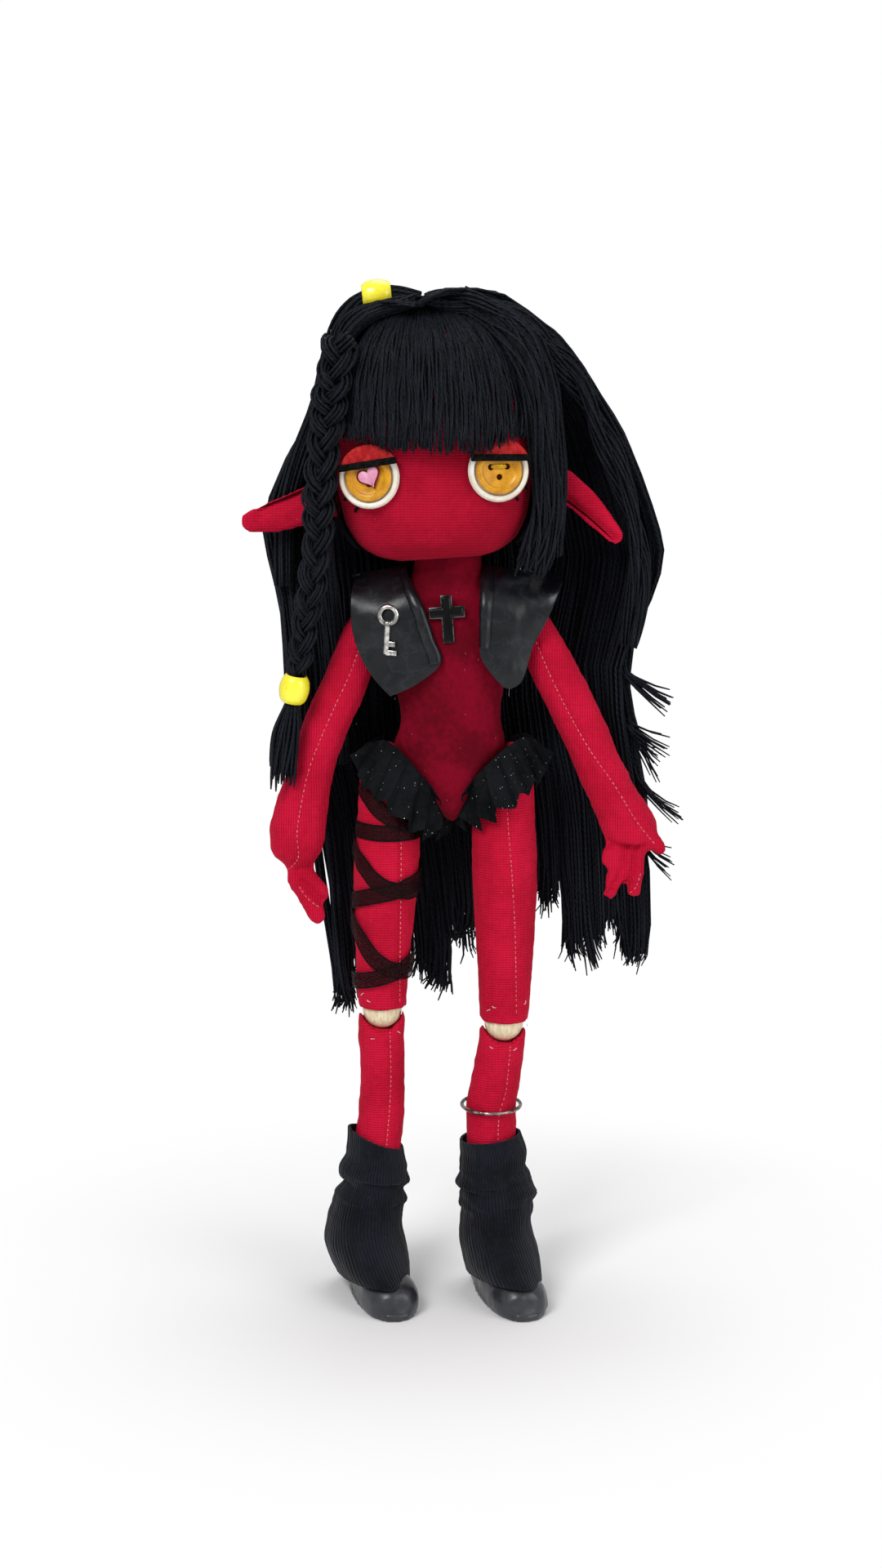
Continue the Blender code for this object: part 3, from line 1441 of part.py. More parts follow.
def build_braid():
    """Three strands plaited over and under each other, which hang by the face to a bead and a tassel."""
    crown = CHIN_HEIGHT + HEAD_HEIGHT
    path = [
        (-0.0370, -0.0250, crown - 0.0135),
        (-0.0402, -0.0298, crown - 0.0305),
        (-0.0420, -0.0310, crown - 0.0455),
        (-0.0446, -0.0285, crown - 0.0645),
        (-0.0455, -0.0245, crown - 0.0805),
        (-0.0482, -0.0200, crown - 0.0995),
        (-0.0514, -0.0170, crown - 0.1165),
        (-0.0541, -0.0150, crown - 0.1310),
    ]
    spine = through(path, 27)
    strands = []
    for number in range(3):
        sections = []
        for k, point in enumerate(spine):
            t = k / (len(spine) - 1)
            a = 2 * math.pi * (BRAID_PLAITS / 2 * t + number / 3)
            taper = (1.15 - 0.45 * t) * min(1.0, 0.55 + 6 * (1 - t))
            x = BRAID_HALF_WIDTH * taper * math.sin(a)
            y = 0.75 * BRAID_HALF_WIDTH * taper * math.sin(2 * a)
            radius = BRAID_STRAND_RADIUS * taper
            sections.append((point[0] + x, point[1] + y, point[2], radius, radius))
        bm = bmesh.new()
        skin(bm, tube_rings(sections, 5))
        strands.append(add_mesh(f"braid_strand_{number + 1}", bm, "black_yarn", BODY))
    return strands, Vector(path[-1]), (Vector(path[-1]) - Vector(path[-2])).normalized()


def build_hair_bead(name, centre, along):
    """A barrel bead with a wide bore."""
    r, half, bore = HAIR_BEAD_RADIUS, HAIR_BEAD_LENGTH / 2, HAIR_BEAD_BORE
    profile = [(bore, half), (0.80 * r, half)]
    profile += [(0.985 * r, 0.5 * half), (r, 0.0), (0.985 * r, -0.5 * half)]
    profile += [(0.80 * r, -half), (bore, -half)]
    turn = along.to_track_quat("Z", "Y").to_matrix().to_4x4()
    return turned(name, profile, 12, "yellow_plastic", BODY, Matrix.Translation(centre) @ turn)


def build_tassel(bead_centre, along):
    """The loose end of the braid below its bead."""
    top = bead_centre - along * (HAIR_BEAD_LENGTH * 0.45)
    r = HAIR_BEAD_BORE - CLEARANCE
    keys = [
        (*top, r, r),
        (*(bead_centre + along * 0.006), r, r),
        (bead_centre.x - 0.0030, bead_centre.y - 0.0005, bead_centre.z - 0.0160, 0.0058, 0.0035),
        (bead_centre.x - 0.0046, bead_centre.y - 0.0005, bead_centre.z - 0.0320, 0.0040, 0.0024),
    ]
    return tube("braid_tassel", keys, 7, 7, "black_yarn", BODY)


def build_crown():
    """The lock that runs through a bead on the crown, and the two-strand twist on the other side."""
    crown = CHIN_HEIGHT + HEAD_HEIGHT
    r = CROWN_LOCK_RADIUS
    bore = 0.76 * HAIR_BEAD_BORE
    bead_centre = Vector((-0.0250, -0.0120, crown + 0.0025))
    keys = [
        (-0.0120, -0.0125, crown + 0.0012, 0.8 * r, 0.8 * r),
        (-0.0185, -0.0122, crown + 0.0028, bore, bore),
        (-0.0250, -0.0120, crown + 0.0025, bore, bore),
        (-0.0315, -0.0118, crown - 0.0003, bore, bore),
        (-0.0385, -0.0090, crown - 0.0080, r, r),
        (-0.0445, -0.0060, crown - 0.0200, r, r),
        (-0.0490, -0.0030, crown - 0.0340, 0.7 * r, 0.7 * r),
    ]
    lock = tube("crown_lock", keys, 13, 7, "black_yarn", BODY)
    bead = build_hair_bead("crown_bead", bead_centre, Vector((-1.0, 0.05, -0.24)).normalized())
    twists = []
    path = [
        (-0.0060, -0.0150, crown + 0.0010),
        (0.0080, -0.0185, crown - 0.0010),
        (0.0220, -0.0190, crown - 0.0060),
        (0.0340, -0.0165, crown - 0.0150),
        (0.0445, -0.0120, crown - 0.0270),
        (0.0530, -0.0060, crown - 0.0410),
    ]
    spine = through(path, 16)
    for number in range(2):
        sections = []
        for k, point in enumerate(spine):
            t = k / (len(spine) - 1)
            a = 2 * math.pi * (1.6 * t + number / 2)
            radius = TWIST_RADIUS * (0.75 + 0.45 * math.sin(math.pi * t))
            off = radius + CLEARANCE / 2
            after, before = spine[min(k + 1, len(spine) - 1)], spine[max(k - 1, 0)]
            along = (Vector(after) - Vector(before)).normalized()
            up = along.cross(Vector((0, 1, 0))).normalized()
            centre = Vector(point) + off * (math.cos(a) * up.cross(along) + math.sin(a) * up)
            sections.append((*centre, radius, radius))
        bm = bmesh.new()
        skin(bm, tube_rings(sections, 6))
        twists.append(add_mesh(f"crown_twist_{number + 1}", bm, "black_yarn", BODY))
    return lock, bead, twists


def build_face_lock():
    """The lock that frames the face on its left and ends on the shoulder."""
    crown = CHIN_HEIGHT + HEAD_HEIGHT
    keys = [
        (0.0255, -0.0210, crown - 0.0220, 0.0040, 0.0026),
        (0.0308, -0.0207, crown - 0.0400, 0.0055, 0.0030),
        (0.0358, -0.0180, crown - 0.0600, 0.0060, 0.0032),
        (0.0370, -0.0150, crown - 0.0760, 0.0058, 0.0032),
        (0.0350, -0.0130, CHIN_HEIGHT + 0.0010, 0.0045, 0.0028),
    ]
    return tube("face_lock", keys, 8, 6, "black_yarn", BODY)


# Assembly


clear_scene()
DOLL = new_collection("doll")
CUTTERS = new_collection("cutters")
BODY = empty_at("spine_frame", (SPINE_X, SPINE_Y, 0))
HEAD_FRAME = empty_at(
    "head_frame",
    (HEAD_OFFSET, 0, CHIN_HEIGHT),
    BODY,
    Matrix.Rotation(-HEAD_TILT, 4, "Y"),
)
KNEE_FRAMES = {
    side: empty_at(f"knee_frame_{label}", knee_place(side), BODY)
    for side, label in ((-1, "right"), (1, "left"))
}


def build_legs(torso):
    for side, label in ((-1, "right"), (1, "left")):
        thigh, bead, shin = build_leg(side, label, torso)
        upper, _ = build_shoe(side, label, shin)
        build_warmer(side, label, shin, upper)
    build_anklet()


def build_hair(head, ears):
    cap = build_hair_cap(head, ears)
    bangs = build_bangs(cap, head)
    crown_lock, crown_bead, twists = build_crown()
    strands, foot, along = build_braid()
    face_lock = build_face_lock()
    make_room(face_lock, head, *twists)
    make_room(bangs, crown_lock, crown_bead, face_lock, *twists)
    make_room(cap, crown_lock, crown_bead, face_lock, *twists)
    for number in range(LOCK_COUNT):
        s0, s1 = number / LOCK_COUNT, (number + 1) / LOCK_COUNT
        lock = build_lock(number + 1, s0, s1, torso_height(0.0) - LOCK_DROPS[number])
        make_room(lock, cap)
        if number < 3:
            make_room(lock, *twists)
        if number > 5:
            make_room(lock, crown_lock)
    bead_centre = foot + along * (HAIR_BEAD_LENGTH / 2 + CLEARANCE)
    build_hair_bead("braid_bead", bead_centre, along)
    build_tassel(bead_centre, along)


def build_doll():
    head = build_head()
    ears = build_ears(head)
    build_face(head)
    torso = build_torso(head)
    build_arms(torso)
    build_legs(torso)
    build_vest(torso)
    build_ruffle(-1, "right")
    build_ruffle(1, "left")
    build_ribbons()
    build_cross(torso)
    build_key()
    build_hair(head, ears)


build_doll()
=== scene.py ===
"""Looks of a stuffed cloth doll with button eyes and long yarn hair, dressed over its CAD solids.

Everything is in metres in the CAD's frame: +Z up, the doll faces -Y, and left and right are the doll's own.
Soft pieces are worked up from copies of their solids, and yarn, cloth and trinkets are made here.
"""

import logging
import math
import random
from collections.abc import Callable, Sequence
from dataclasses import dataclass, field
from enum import Enum
from typing import Any

import bmesh
import bpy
import numpy as np
from mathutils import Matrix, Vector
from mathutils.bvhtree import BVHTree


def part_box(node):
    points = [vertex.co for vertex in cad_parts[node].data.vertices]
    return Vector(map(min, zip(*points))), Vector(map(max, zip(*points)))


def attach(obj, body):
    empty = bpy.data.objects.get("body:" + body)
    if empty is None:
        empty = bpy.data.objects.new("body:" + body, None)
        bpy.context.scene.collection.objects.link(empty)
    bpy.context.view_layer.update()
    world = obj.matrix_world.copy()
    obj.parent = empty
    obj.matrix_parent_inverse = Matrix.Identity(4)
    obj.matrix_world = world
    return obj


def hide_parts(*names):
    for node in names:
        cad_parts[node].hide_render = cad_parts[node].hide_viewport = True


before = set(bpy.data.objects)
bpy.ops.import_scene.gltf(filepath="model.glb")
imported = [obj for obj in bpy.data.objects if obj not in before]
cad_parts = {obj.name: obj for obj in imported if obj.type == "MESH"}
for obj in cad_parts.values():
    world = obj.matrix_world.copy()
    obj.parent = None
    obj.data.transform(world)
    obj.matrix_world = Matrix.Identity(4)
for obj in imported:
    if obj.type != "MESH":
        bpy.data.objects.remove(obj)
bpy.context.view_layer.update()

LOG = logging.getLogger("doll")
SPINE = Vector((-0.0028, -0.0048, 0.0))
Point = tuple[float, float, float]
Path = list[Vector]
Obj = bpy.types.Object
Node = bpy.types.Node
Out = bpy.types.NodeSocket
Tree = bpy.types.NodeTree
Wires = dict[str, Out]
PHASE = 6.28  # a whole turn for random phases, in radians
GOLDEN_ANGLE = 2.39996  # from one yarn of a bundle to the next, in radians
GOLDEN_SHARE = 0.618034  # spreads the layers of the fringe evenly
STRAND_SHIFT = 0.0137  # how far apart the UV maps of two strands start


# Workbench: small helpers around Blender's own modelling operators


def at(x: float, y: float, z: float) -> Vector:
    """A point given in millimetres from the foot of the doll's spine.

    Args:
        x: Millimetres towards the doll's left.
        y: Millimetres towards the doll's back.
        z: Millimetres above the floor.

    Returns:
        The point in metres in the CAD's frame.
    """
    return SPINE + Vector((x, y, z)) * 0.001


def only(obj: Obj) -> Obj:
    """Deselects everything else and makes obj the active object.

    Args:
        obj: The object to work on.

    Returns:
        The same object.
    """
    if bpy.context.object and bpy.context.object.mode != "OBJECT":
        bpy.ops.object.mode_set(mode="OBJECT")
    bpy.ops.object.select_all(action="DESELECT")
    obj.select_set(True)
    bpy.context.view_layer.objects.active = obj
    return obj


def edit(obj: Obj, *steps: Callable[[], Any]) -> Obj:
    """Runs operators in edit mode with the whole mesh selected at first.

    Args:
        obj: The mesh object to edit.
        steps: Calls to make, in order, in edit mode.

    Returns:
        The same object, back in object mode.
    """
    only(obj)
    bpy.ops.object.mode_set(mode="EDIT")
    bpy.ops.mesh.select_all(action="SELECT")
    for step in steps:
        step()
    bpy.ops.object.mode_set(mode="OBJECT")
    return obj


def modify(obj: Obj, kind: str, **settings: Any) -> Obj:
    """Adds one modifier and applies it.

    Args:
        obj: The object to change.
        kind: Blender's name of the modifier.
        settings: The modifier's properties.

    Returns:
        The same object.
    """
    only(obj)
    modifier = obj.modifiers.new(kind.lower(), kind)
    for key, value in settings.items():
        setattr(modifier, key, value)
    bpy.ops.object.modifier_apply(modifier=modifier.name)
    return obj


def subdivide(obj: Obj, levels: int) -> Obj:
    """Applies a subdivision surface with equal view and render levels.

    Args:
        obj: The object to smooth.
        levels: How many times each face is split.

    Returns:
        The same object.
    """
    return modify(obj, "SUBSURF", levels=levels, render_levels=levels)


def place(obj: Obj, matrix: Matrix) -> Obj:
    """Puts the place into the mesh, so that the object itself stays at the origin.

    Args:
        obj: A mesh object.
        matrix: Where its own frame goes.

    Returns:
        The same object.
    """
    obj.data.transform(matrix @ obj.matrix_basis)
    obj.matrix_basis = Matrix.Identity(4)
    if matrix.determinant() < 0:
        edit(obj, lambda: bpy.ops.mesh.flip_normals())
    return obj


def join(name: str, objects: Sequence[Obj]) -> Obj:
    """Joins several mesh objects into one.

    Args:
        name: The name of the joined piece.
        objects: What to join; the first one is kept.

    Returns:
        The joined object.
    """
    only(objects[0])
    for obj in objects:
        obj.select_set(True)
    if len(objects) > 1:
        bpy.ops.object.join()
    objects[0].name = name
    return objects[0]


def smooth(obj: Obj, degrees: float = 180.0) -> Obj:
    """Shades a piece smooth, except across edges sharper than an angle.

    Args:
        obj: A mesh object.
        degrees: The angle that stays smooth.

    Returns:
        The same object.
    """
    only(obj)
    if degrees >= 180:
        bpy.ops.object.shade_smooth()
    else:
        bpy.ops.object.shade_smooth_by_angle(angle=math.radians(degrees))
    return obj


def linked(name: str, points: Sequence[Any], edges: Sequence[Any], faces: Sequence[Any]) -> Obj:
    """A new mesh object in the scene, from points, edges and faces."""
    mesh = bpy.data.meshes.new(name)
    mesh.from_pydata(points, edges, faces)
    obj = bpy.data.objects.new(name, mesh)
    bpy.context.scene.collection.objects.link(obj)
    return obj


def outward() -> None:
    """In edit mode, selects the whole mesh and turns its faces outward."""
    bpy.ops.mesh.select_all(action="SELECT")
    bpy.ops.mesh.normals_make_consistent(inside=False)


def grid_piece(name: str, rows: Sequence[Sequence[Vector]], around: bool = False) -> Obj:
    """An open sheet through a grid of points, with a UV map that runs along and across it.

    Args:
        name: The object's name.
        rows: Rows of points, all of one length.
        around: Whether each row closes on itself.

    Returns:
        The sheet as a mesh object.
    """
    width = len(rows[0])
    points = [tuple(p) for row in rows for p in row]
    spans = width if around else width - 1
    faces, values = [], []
    for r in range(len(rows) - 1):
        for c in range(spans):
            d = (c + 1) % width
            faces.append((r * width + c, r * width + d, (r + 1) * width + d, (r + 1) * width + c))
            for i, j in ((0, 0), (1, 0), (1, 1), (0, 1)):
                values += [(c + i) / spans, (r + j) / (len(rows) - 1)]
    obj = linked(name, points, [], faces)
    obj.data.uv_layers.new(name="cloth").data.foreach_set("uv", values)
    return obj


def turned(name: str, profile: Sequence[tuple[float, float]], steps: int, matrix: Matrix) -> Obj:
    """A round piece: a profile that the spin operator turns once round Z.

    Args:
        name: The object's name.
        profile: Radius and height of each point, in metres.
        steps: How many steps the turn has.
        matrix: Where the piece goes.

    Returns:
        The closed piece.
    """
    closed = profile[0][0] > 1e-7 and profile[-1][0] > 1e-7
    edges = [(i, i + 1) for i in range(len(profile) - 1)] + ([(len(profile) - 1, 0)] if closed else [])
    obj = linked(name, [(r, 0.0, z) for r, z in profile], edges, [])
    edit(
        obj,
        lambda: bpy.ops.mesh.spin(steps=steps, angle=2 * math.pi, center=(0, 0, 0), axis=(0, 0, 1)),
        lambda: bpy.ops.mesh.select_all(action="SELECT"),
        lambda: bpy.ops.mesh.remove_doubles(threshold=0.00001),
        outward,
    )
    return place(smooth(obj, 35), matrix)


def rounded_profile(
    points: Sequence[tuple[float, float]], radius: float, steps: int = 3
) -> list[tuple[float, float]]:
    """Rounds the inner corners of a profile.

    Args:
        points: The corners.
        radius: How far from each corner the rounding starts, in metres.
        steps: How many spans each corner gets.

    Returns:
        The rounded profile.
    """
    made = [tuple(points[0])]
    for before, corner, after in zip(points, points[1:], points[2:]):
        a, b, c = Vector(before), Vector(corner), Vector(after)
        reach = min(radius, 0.45 * (a - b).length, 0.45 * (c - b).length)
        start, end = b + (a - b).normalized() * reach, b + (c - b).normalized() * reach
        for k in range(steps + 1):
            t = k / steps
            p = start * (1 - t) ** 2 + b * 2 * t * (1 - t) + end * t * t
            made.append((p.x, p.y))
    made.append(tuple(points[-1]))
    return made


def curve_through(keys: Sequence[Sequence[float]], count: int) -> np.ndarray:
    """Points along a smooth curve through key points (Catmull-Rom), in any number of columns.

    Args:
        keys: The key points.
        count: How many points to return.

    Returns:
        An array of count rows.
    """
    k = np.asarray(keys, float)
    u = np.linspace(0, len(k) - 1, count)
    i = np.minimum(u.astype(int), len(k) - 2)
    t = (u - i)[:, None]
    a, b, c, d = k[np.maximum(i - 1, 0)], k[i], k[i + 1], k[np.minimum(i + 2, len(k) - 1)]
    return 0.5 * (2 * b + (c - a) * t + (2 * a - 5 * b + 4 * c - d) * t**2 + (3 * b - a - 3 * c + d) * t**3)


def node_copy(name: str, *nodes: str) -> Obj:
    """A merged copy of one or more CAD solids, to be worked up into a soft piece.

    Args:
        name: The name of the copy.
        nodes: The CAD nodes to copy.

    Returns:
        The copy, as one mesh object.
    """
    made = []
    for node in nodes:
        obj = bpy.data.objects.new(name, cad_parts[node].data.copy())
        bpy.context.scene.collection.objects.link(obj)
        obj.data.materials.clear()
        made.append(obj)
    obj = join(name, made)
    return edit(obj, lambda: bpy.ops.mesh.remove_doubles(threshold=0.00001))


def points_of(obj: Obj) -> np.ndarray:
    """The vertex places of a mesh, one row each."""
    co = np.empty(len(obj.data.vertices) * 3, np.float32)
    obj.data.vertices.foreach_get("co", co)
    return co.reshape(-1, 3).astype(float)


def normals_of(obj: Obj) -> np.ndarray:
    """The vertex normals of a mesh, one row each."""
    normals = np.empty(len(obj.data.vertices) * 3, np.float32)
    obj.data.vertices.foreach_get("normal", normals)
    return normals.reshape(-1, 3).astype(float)


def move_points(obj: Obj, points: np.ndarray) -> Obj:
    """Writes new vertex places into a mesh."""
    obj.data.vertices.foreach_set("co", points.astype(np.float32).ravel())
    obj.data.update()
    return obj


def surface_of(obj: Obj) -> BVHTree:
    """A search tree over a mesh object at the origin."""
    bm = bmesh.new()
    bm.from_mesh(obj.data)
    tree = BVHTree.FromBMesh(bm)
    bm.free()
    return tree


# Shader helpers and shared effects


class Socket(Enum):
    """The kinds of socket that a shader group has."""

    VALUE = "NodeSocketFloat"
    VECTOR = "NodeSocketVector"
    COLOUR = "NodeSocketColor"


class Graph:
    """A thin layer over a node tree: nodes are added with their values or links in one call."""

    def __init__(self, tree: Tree) -> None:
        """Starts on an existing tree.

        Args:
            tree: The tree to build in.
        """
        self.tree = tree

    def add(self, kind: str, sockets: dict[str | int, Any] | None = None, **settings: Any) -> Node:
        """Adds a node, sets its properties, and fills or links its inputs.

        Args:
            kind: The node's type.
            sockets: A value or an output socket for each named or numbered input.
            settings: Properties of the node.

        Returns:
            The new node.
        """
        node = self.tree.nodes.new(kind)
        for key, value in settings.items():
            setattr(node, key, value)
        return self.feed(node, sockets or {})

    def feed(self, node: Node, sockets: dict[Any, Any]) -> Node:
        """Fills or links inputs of a node.

        Args:
            node: The node.
            sockets: A value or an output socket for each named or numbered input.

        Returns:
            The same node.
        """
        for key, value in sockets.items():
            if isinstance(value, Out):
                self.tree.links.new(value, node.inputs[key])
            else:
                node.inputs[key].default_value = value
        return node

    def group(self, tree: Tree, sockets: dict[str, Any]) -> Node:
        """Places a shared group; its inputs exist only once its tree is set."""
        return self.feed(self.add("ShaderNodeGroup", None, node_tree=tree), sockets)

    def math(self, operation: str, a: Any, b: Any = 0.0) -> Out:
        """The output of a Math node."""
        return self.add("ShaderNodeMath", {0: a, 1: b}, operation=operation).outputs[0]

    def mix(self, factor: Any, a: Any, b: Any) -> Out:
        """The colour output of a Mix node."""
        return self.add("ShaderNodeMix", {0: factor, 6: a, 7: b}, data_type="RGBA").outputs[2]

    def ramp(self, value: Any, low: float, high: float) -> Out:
        """A value stretched from low..high to 0..1, with soft ends."""
        node = self.add("ShaderNodeMapRange", {0: value, 1: low, 2: high}, interpolation_type="SMOOTHSTEP")
        return node.outputs[0]

    def noise(self, vector: Any, scale: float, detail: float = 3.0, roughness: float = 0.55) -> Out:
        """The value of a Noise Texture."""
        sockets = {"Vector": vector, "Scale": scale, "Detail": detail, "Roughness": roughness}
        return self.add("ShaderNodeTexNoise", sockets).outputs[0]

    def stretched(self, vector: Any, scale: Point) -> Out:
        """Coordinates scaled apart along each axis."""
        return self.add("ShaderNodeMapping", {"Vector": vector, "Scale": scale}).outputs[0]


def shared_effect(
    inputs: dict[str, Socket], outputs: dict[str, Socket]
) -> Callable[[Callable[[Graph, Wires], Wires]], Callable[[], Tree]]:
    """Makes a shader node group of a wiring function, which gives a socket for each output.

    Args:
        inputs: The kind of each input.
        outputs: The kind of each output.

    Returns:
        A decorator. What it gives returns the group's tree, made the first time it is asked for.
    """

    def of(wire: Callable[[Graph, Wires], Wires]) -> Callable[[], Tree]:
        def tree_of() -> Tree:
            found = bpy.data.node_groups.get(wire.__name__)
            if found:
                return found
            tree = bpy.data.node_groups.new(wire.__name__, "ShaderNodeTree")
            for way, sockets in (("INPUT", inputs), ("OUTPUT", outputs)):
                for key, kind in sockets.items():
                    tree.interface.new_socket(key, in_out=way, socket_type=kind.value)
            graph = Graph(tree)
            source = tree.nodes.new("NodeGroupInput")
            made = wire(graph, {key: source.outputs[key] for key in inputs})
            graph.feed(tree.nodes.new("NodeGroupOutput"), made)
            return tree

        return tree_of

    return of


@shared_effect(
    {"Vector": Socket.VECTOR, "Scale": Socket.VALUE, "Dark": Socket.COLOUR, "Light": Socket.COLOUR},
    {"Colour": Socket.COLOUR, "Value": Socket.VALUE},
)
def colour_drift(g: Graph, i: Wires) -> Wires:
    """Slow and fine changes between two colours, as dyed cloth and moulded plastic have; on the velvet its
    lighter patches are painted sheen.
    """
    slow = g.noise(i["Vector"], i["Scale"], 4.0, 0.5)
    finer = g.math("MULTIPLY", i["Scale"], 9.0)
    fine = g.noise(i["Vector"], finer, 2.0, 0.5)
    both = g.math("ADD", g.math("MULTIPLY", slow, 0.7), g.math("MULTIPLY", fine, 0.3))
    return {"Colour": g.mix(g.ramp(both, 0.36, 0.64), i["Dark"], i["Light"]), "Value": both}


@shared_effect(
    {"Vector": Socket.VECTOR, "Wales": Socket.VALUE, "Courses": Socket.VALUE},
    {"Height": Socket.VALUE},
)
def knit_ribs(g: Graph, i: Wires) -> Wires:
    """The fine wales of a knitted cloth: bands along one axis, broken up into stitches along the other."""
    wobble = g.add("ShaderNodeTexNoise", {"Vector": i["Vector"], "Scale": 220.0, "Detail": 2.0})
    reach = (0.0006, 0.0006, 0.0006)
    off = g.add("ShaderNodeVectorMath", {0: wobble.outputs[1], 1: reach}, operation="MULTIPLY").outputs[0]
    bent = g.add("ShaderNodeVectorMath", {0: off, 1: i["Vector"]}, operation="ADD").outputs[0]
    parts = g.add("ShaderNodeSeparateXYZ", {0: bent})
    across = g.math("MULTIPLY", parts.outputs[0], i["Wales"])
    along = g.math("MULTIPLY", parts.outputs[2], i["Courses"])
    wale = g.math("ABSOLUTE", g.math("SINE", across))
    course = g.math("ABSOLUTE", g.math("SINE", along))
    height = g.math("ADD", g.math("MULTIPLY", wale, 0.75), g.math("MULTIPLY", course, 0.25))
    return {"Height": height}


@shared_effect(
    {"Vector": Socket.VECTOR, "Scale": Socket.VALUE, "Size": Socket.VALUE, "Share": Socket.VALUE},
    {"Mask": Socket.VALUE},
)
def lint(g: Graph, i: Wires) -> Wires:
    """Specks and short fibres that lie on cloth: a mask of small bright spots."""
    cells = g.add("ShaderNodeTexVoronoi", {"Vector": i["Vector"], "Scale": i["Scale"], "Randomness": 1.0})
    spot = g.math("LESS_THAN", cells.outputs[0], i["Size"])
    chance = g.add("ShaderNodeSeparateXYZ", {0: cells.outputs[1]}).outputs[0]
    return {"Mask": g.math("MULTIPLY", spot, g.math("LESS_THAN", chance, i["Share"]))}


@shared_effect(
    {"Vector": Socket.VECTOR, "Scale": Socket.VALUE, "Creases": Socket.VALUE},
    {"Height": Socket.VALUE, "Crease": Socket.VALUE},
)
def pebbled_grain(g: Graph, i: Wires) -> Wires:
    """The pebbles and creases of imitation leather, as a height."""
    cells = g.add(
        "ShaderNodeTexVoronoi", {"Vector": i["Vector"], "Scale": i["Scale"]}, feature="SMOOTH_F1"
    ).outputs[0]
    slow = g.noise(i["Vector"], i["Creases"], 5.0, 0.5)
    crease = g.math("POWER", g.math("ABSOLUTE", g.math("SUBTRACT", slow, 0.5)), 0.5)
    height = g.math("ADD", g.math("MULTIPLY", cells, 0.35), g.math("MULTIPLY", crease, 0.9))
    return {"Height": height, "Crease": crease}


@shared_effect(
    {"Vector": Socket.VECTOR, "Scale": Socket.VALUE, "Base": Socket.VALUE, "Amount": Socket.VALUE},
    {"Roughness": Socket.VALUE, "Scratch": Socket.VALUE},
)
def handling_marks(g: Graph, i: Wires) -> Wires:
    """Faint smudges and scratches that change how a hard surface shines."""
    smudge = g.noise(i["Vector"], i["Scale"], 4.0, 0.5)
    thin = g.stretched(i["Vector"], (900.0, 60.0, 300.0))
    scratch = g.ramp(g.noise(thin, 1.0, 2.0), 0.62, 0.70)
    both = g.math("ADD", smudge, g.math("MULTIPLY", scratch, 0.35))
    spread = g.math("MULTIPLY", g.math("SUBTRACT", both, 0.5), i["Amount"])
    return {"Roughness": g.math("ADD", i["Base"], spread), "Scratch": scratch}


@dataclass(frozen=True)
class Finish:
    """A finish with the values that every Principled surface of it shares.

    Attributes:
        name: The material's name.
        slot: The record's material slot; not used.
        dark: The darker of its two colours, linear.
        light: The lighter of its two colours, linear.
        roughness: Its base roughness.
        drift: How fast the colour changes, in cells per metre.
    """

    name: str
    slot: str
    dark: Point
    light: Point
    roughness: float
    drift: float = 60.0

    def material(self) -> bpy.types.Material:
        """The material, made the first time it is asked for."""
        found = bpy.data.materials.get(self.name)
        if found:
            return found
        made = bpy.data.materials.new(self.name)
        made.use_nodes = True
        graph = Graph(made.node_tree)
        shader = made.node_tree.nodes["Principled BSDF"]
        graph.feed(shader, {"Roughness": self.roughness})
        place_on = graph.add("ShaderNodeTexCoord").outputs["Object"]
        self.wire(graph, shader, place_on)
        return made

    def drifting(self, graph: Graph, vector: Out) -> Out:
        """The drifting colour of the finish."""
        values = {"Vector": vector, "Scale": self.drift, "Dark": (*self.dark, 1), "Light": (*self.light, 1)}
        return graph.group(colour_drift(), values).outputs["Colour"]

    def handled(self, graph: Graph, shader: Node, vector: Out, scale: float, amount: float) -> None:
        """Feeds handling marks into the shader's roughness.

        Args:
            graph: The material's graph.
            shader: The Principled BSDF.
            vector: Where the surface is.
            scale: The size of the smudges, in cells per metre.
            amount: How far the roughness moves.
        """
        values = {"Vector": vector, "Scale": scale, "Base": self.roughness, "Amount": amount}
        graph.feed(shader, {"Roughness": graph.group(handling_marks(), values).outputs["Roughness"]})

    def specks(self, graph: Graph, vector: Out, scale: float, size: float, share: float) -> Out:
        """The mask of lint or glitter: cells per metre, the size of a spot, and the share that shows."""
        values = {"Vector": vector, "Scale": scale, "Size": size, "Share": share}
        return graph.group(lint(), values).outputs[0]

    def bump(self, graph: Graph, shader: Node, height: Any, strength: float, depth: float) -> None:
        """Feeds a height through a Bump node into the shader's normal.

        Args:
            graph: The material's graph.
            shader: The Principled BSDF.
            height: The socket with the height.
            strength: The bump's strength.
            depth: What a height of 1 stands for, in metres.
        """
        node = graph.add("ShaderNodeBump", {"Strength": strength, "Distance": depth, "Height": height})
        graph.feed(shader, {"Normal": node.outputs[0]})

    def wire(self, graph: Graph, shader: Node, vector: Out) -> None:
        """Builds the material's nodes. Each kind of finish has its own."""
        graph.feed(shader, {"Base Color": self.drifting(graph, vector)})


class Grain(Enum):
    """Which way the wales of a knitted cloth run."""

    UPRIGHT = (0.0, 0.0, 0.0)
    LEVEL = (0.0, math.pi / 2, 0.0)


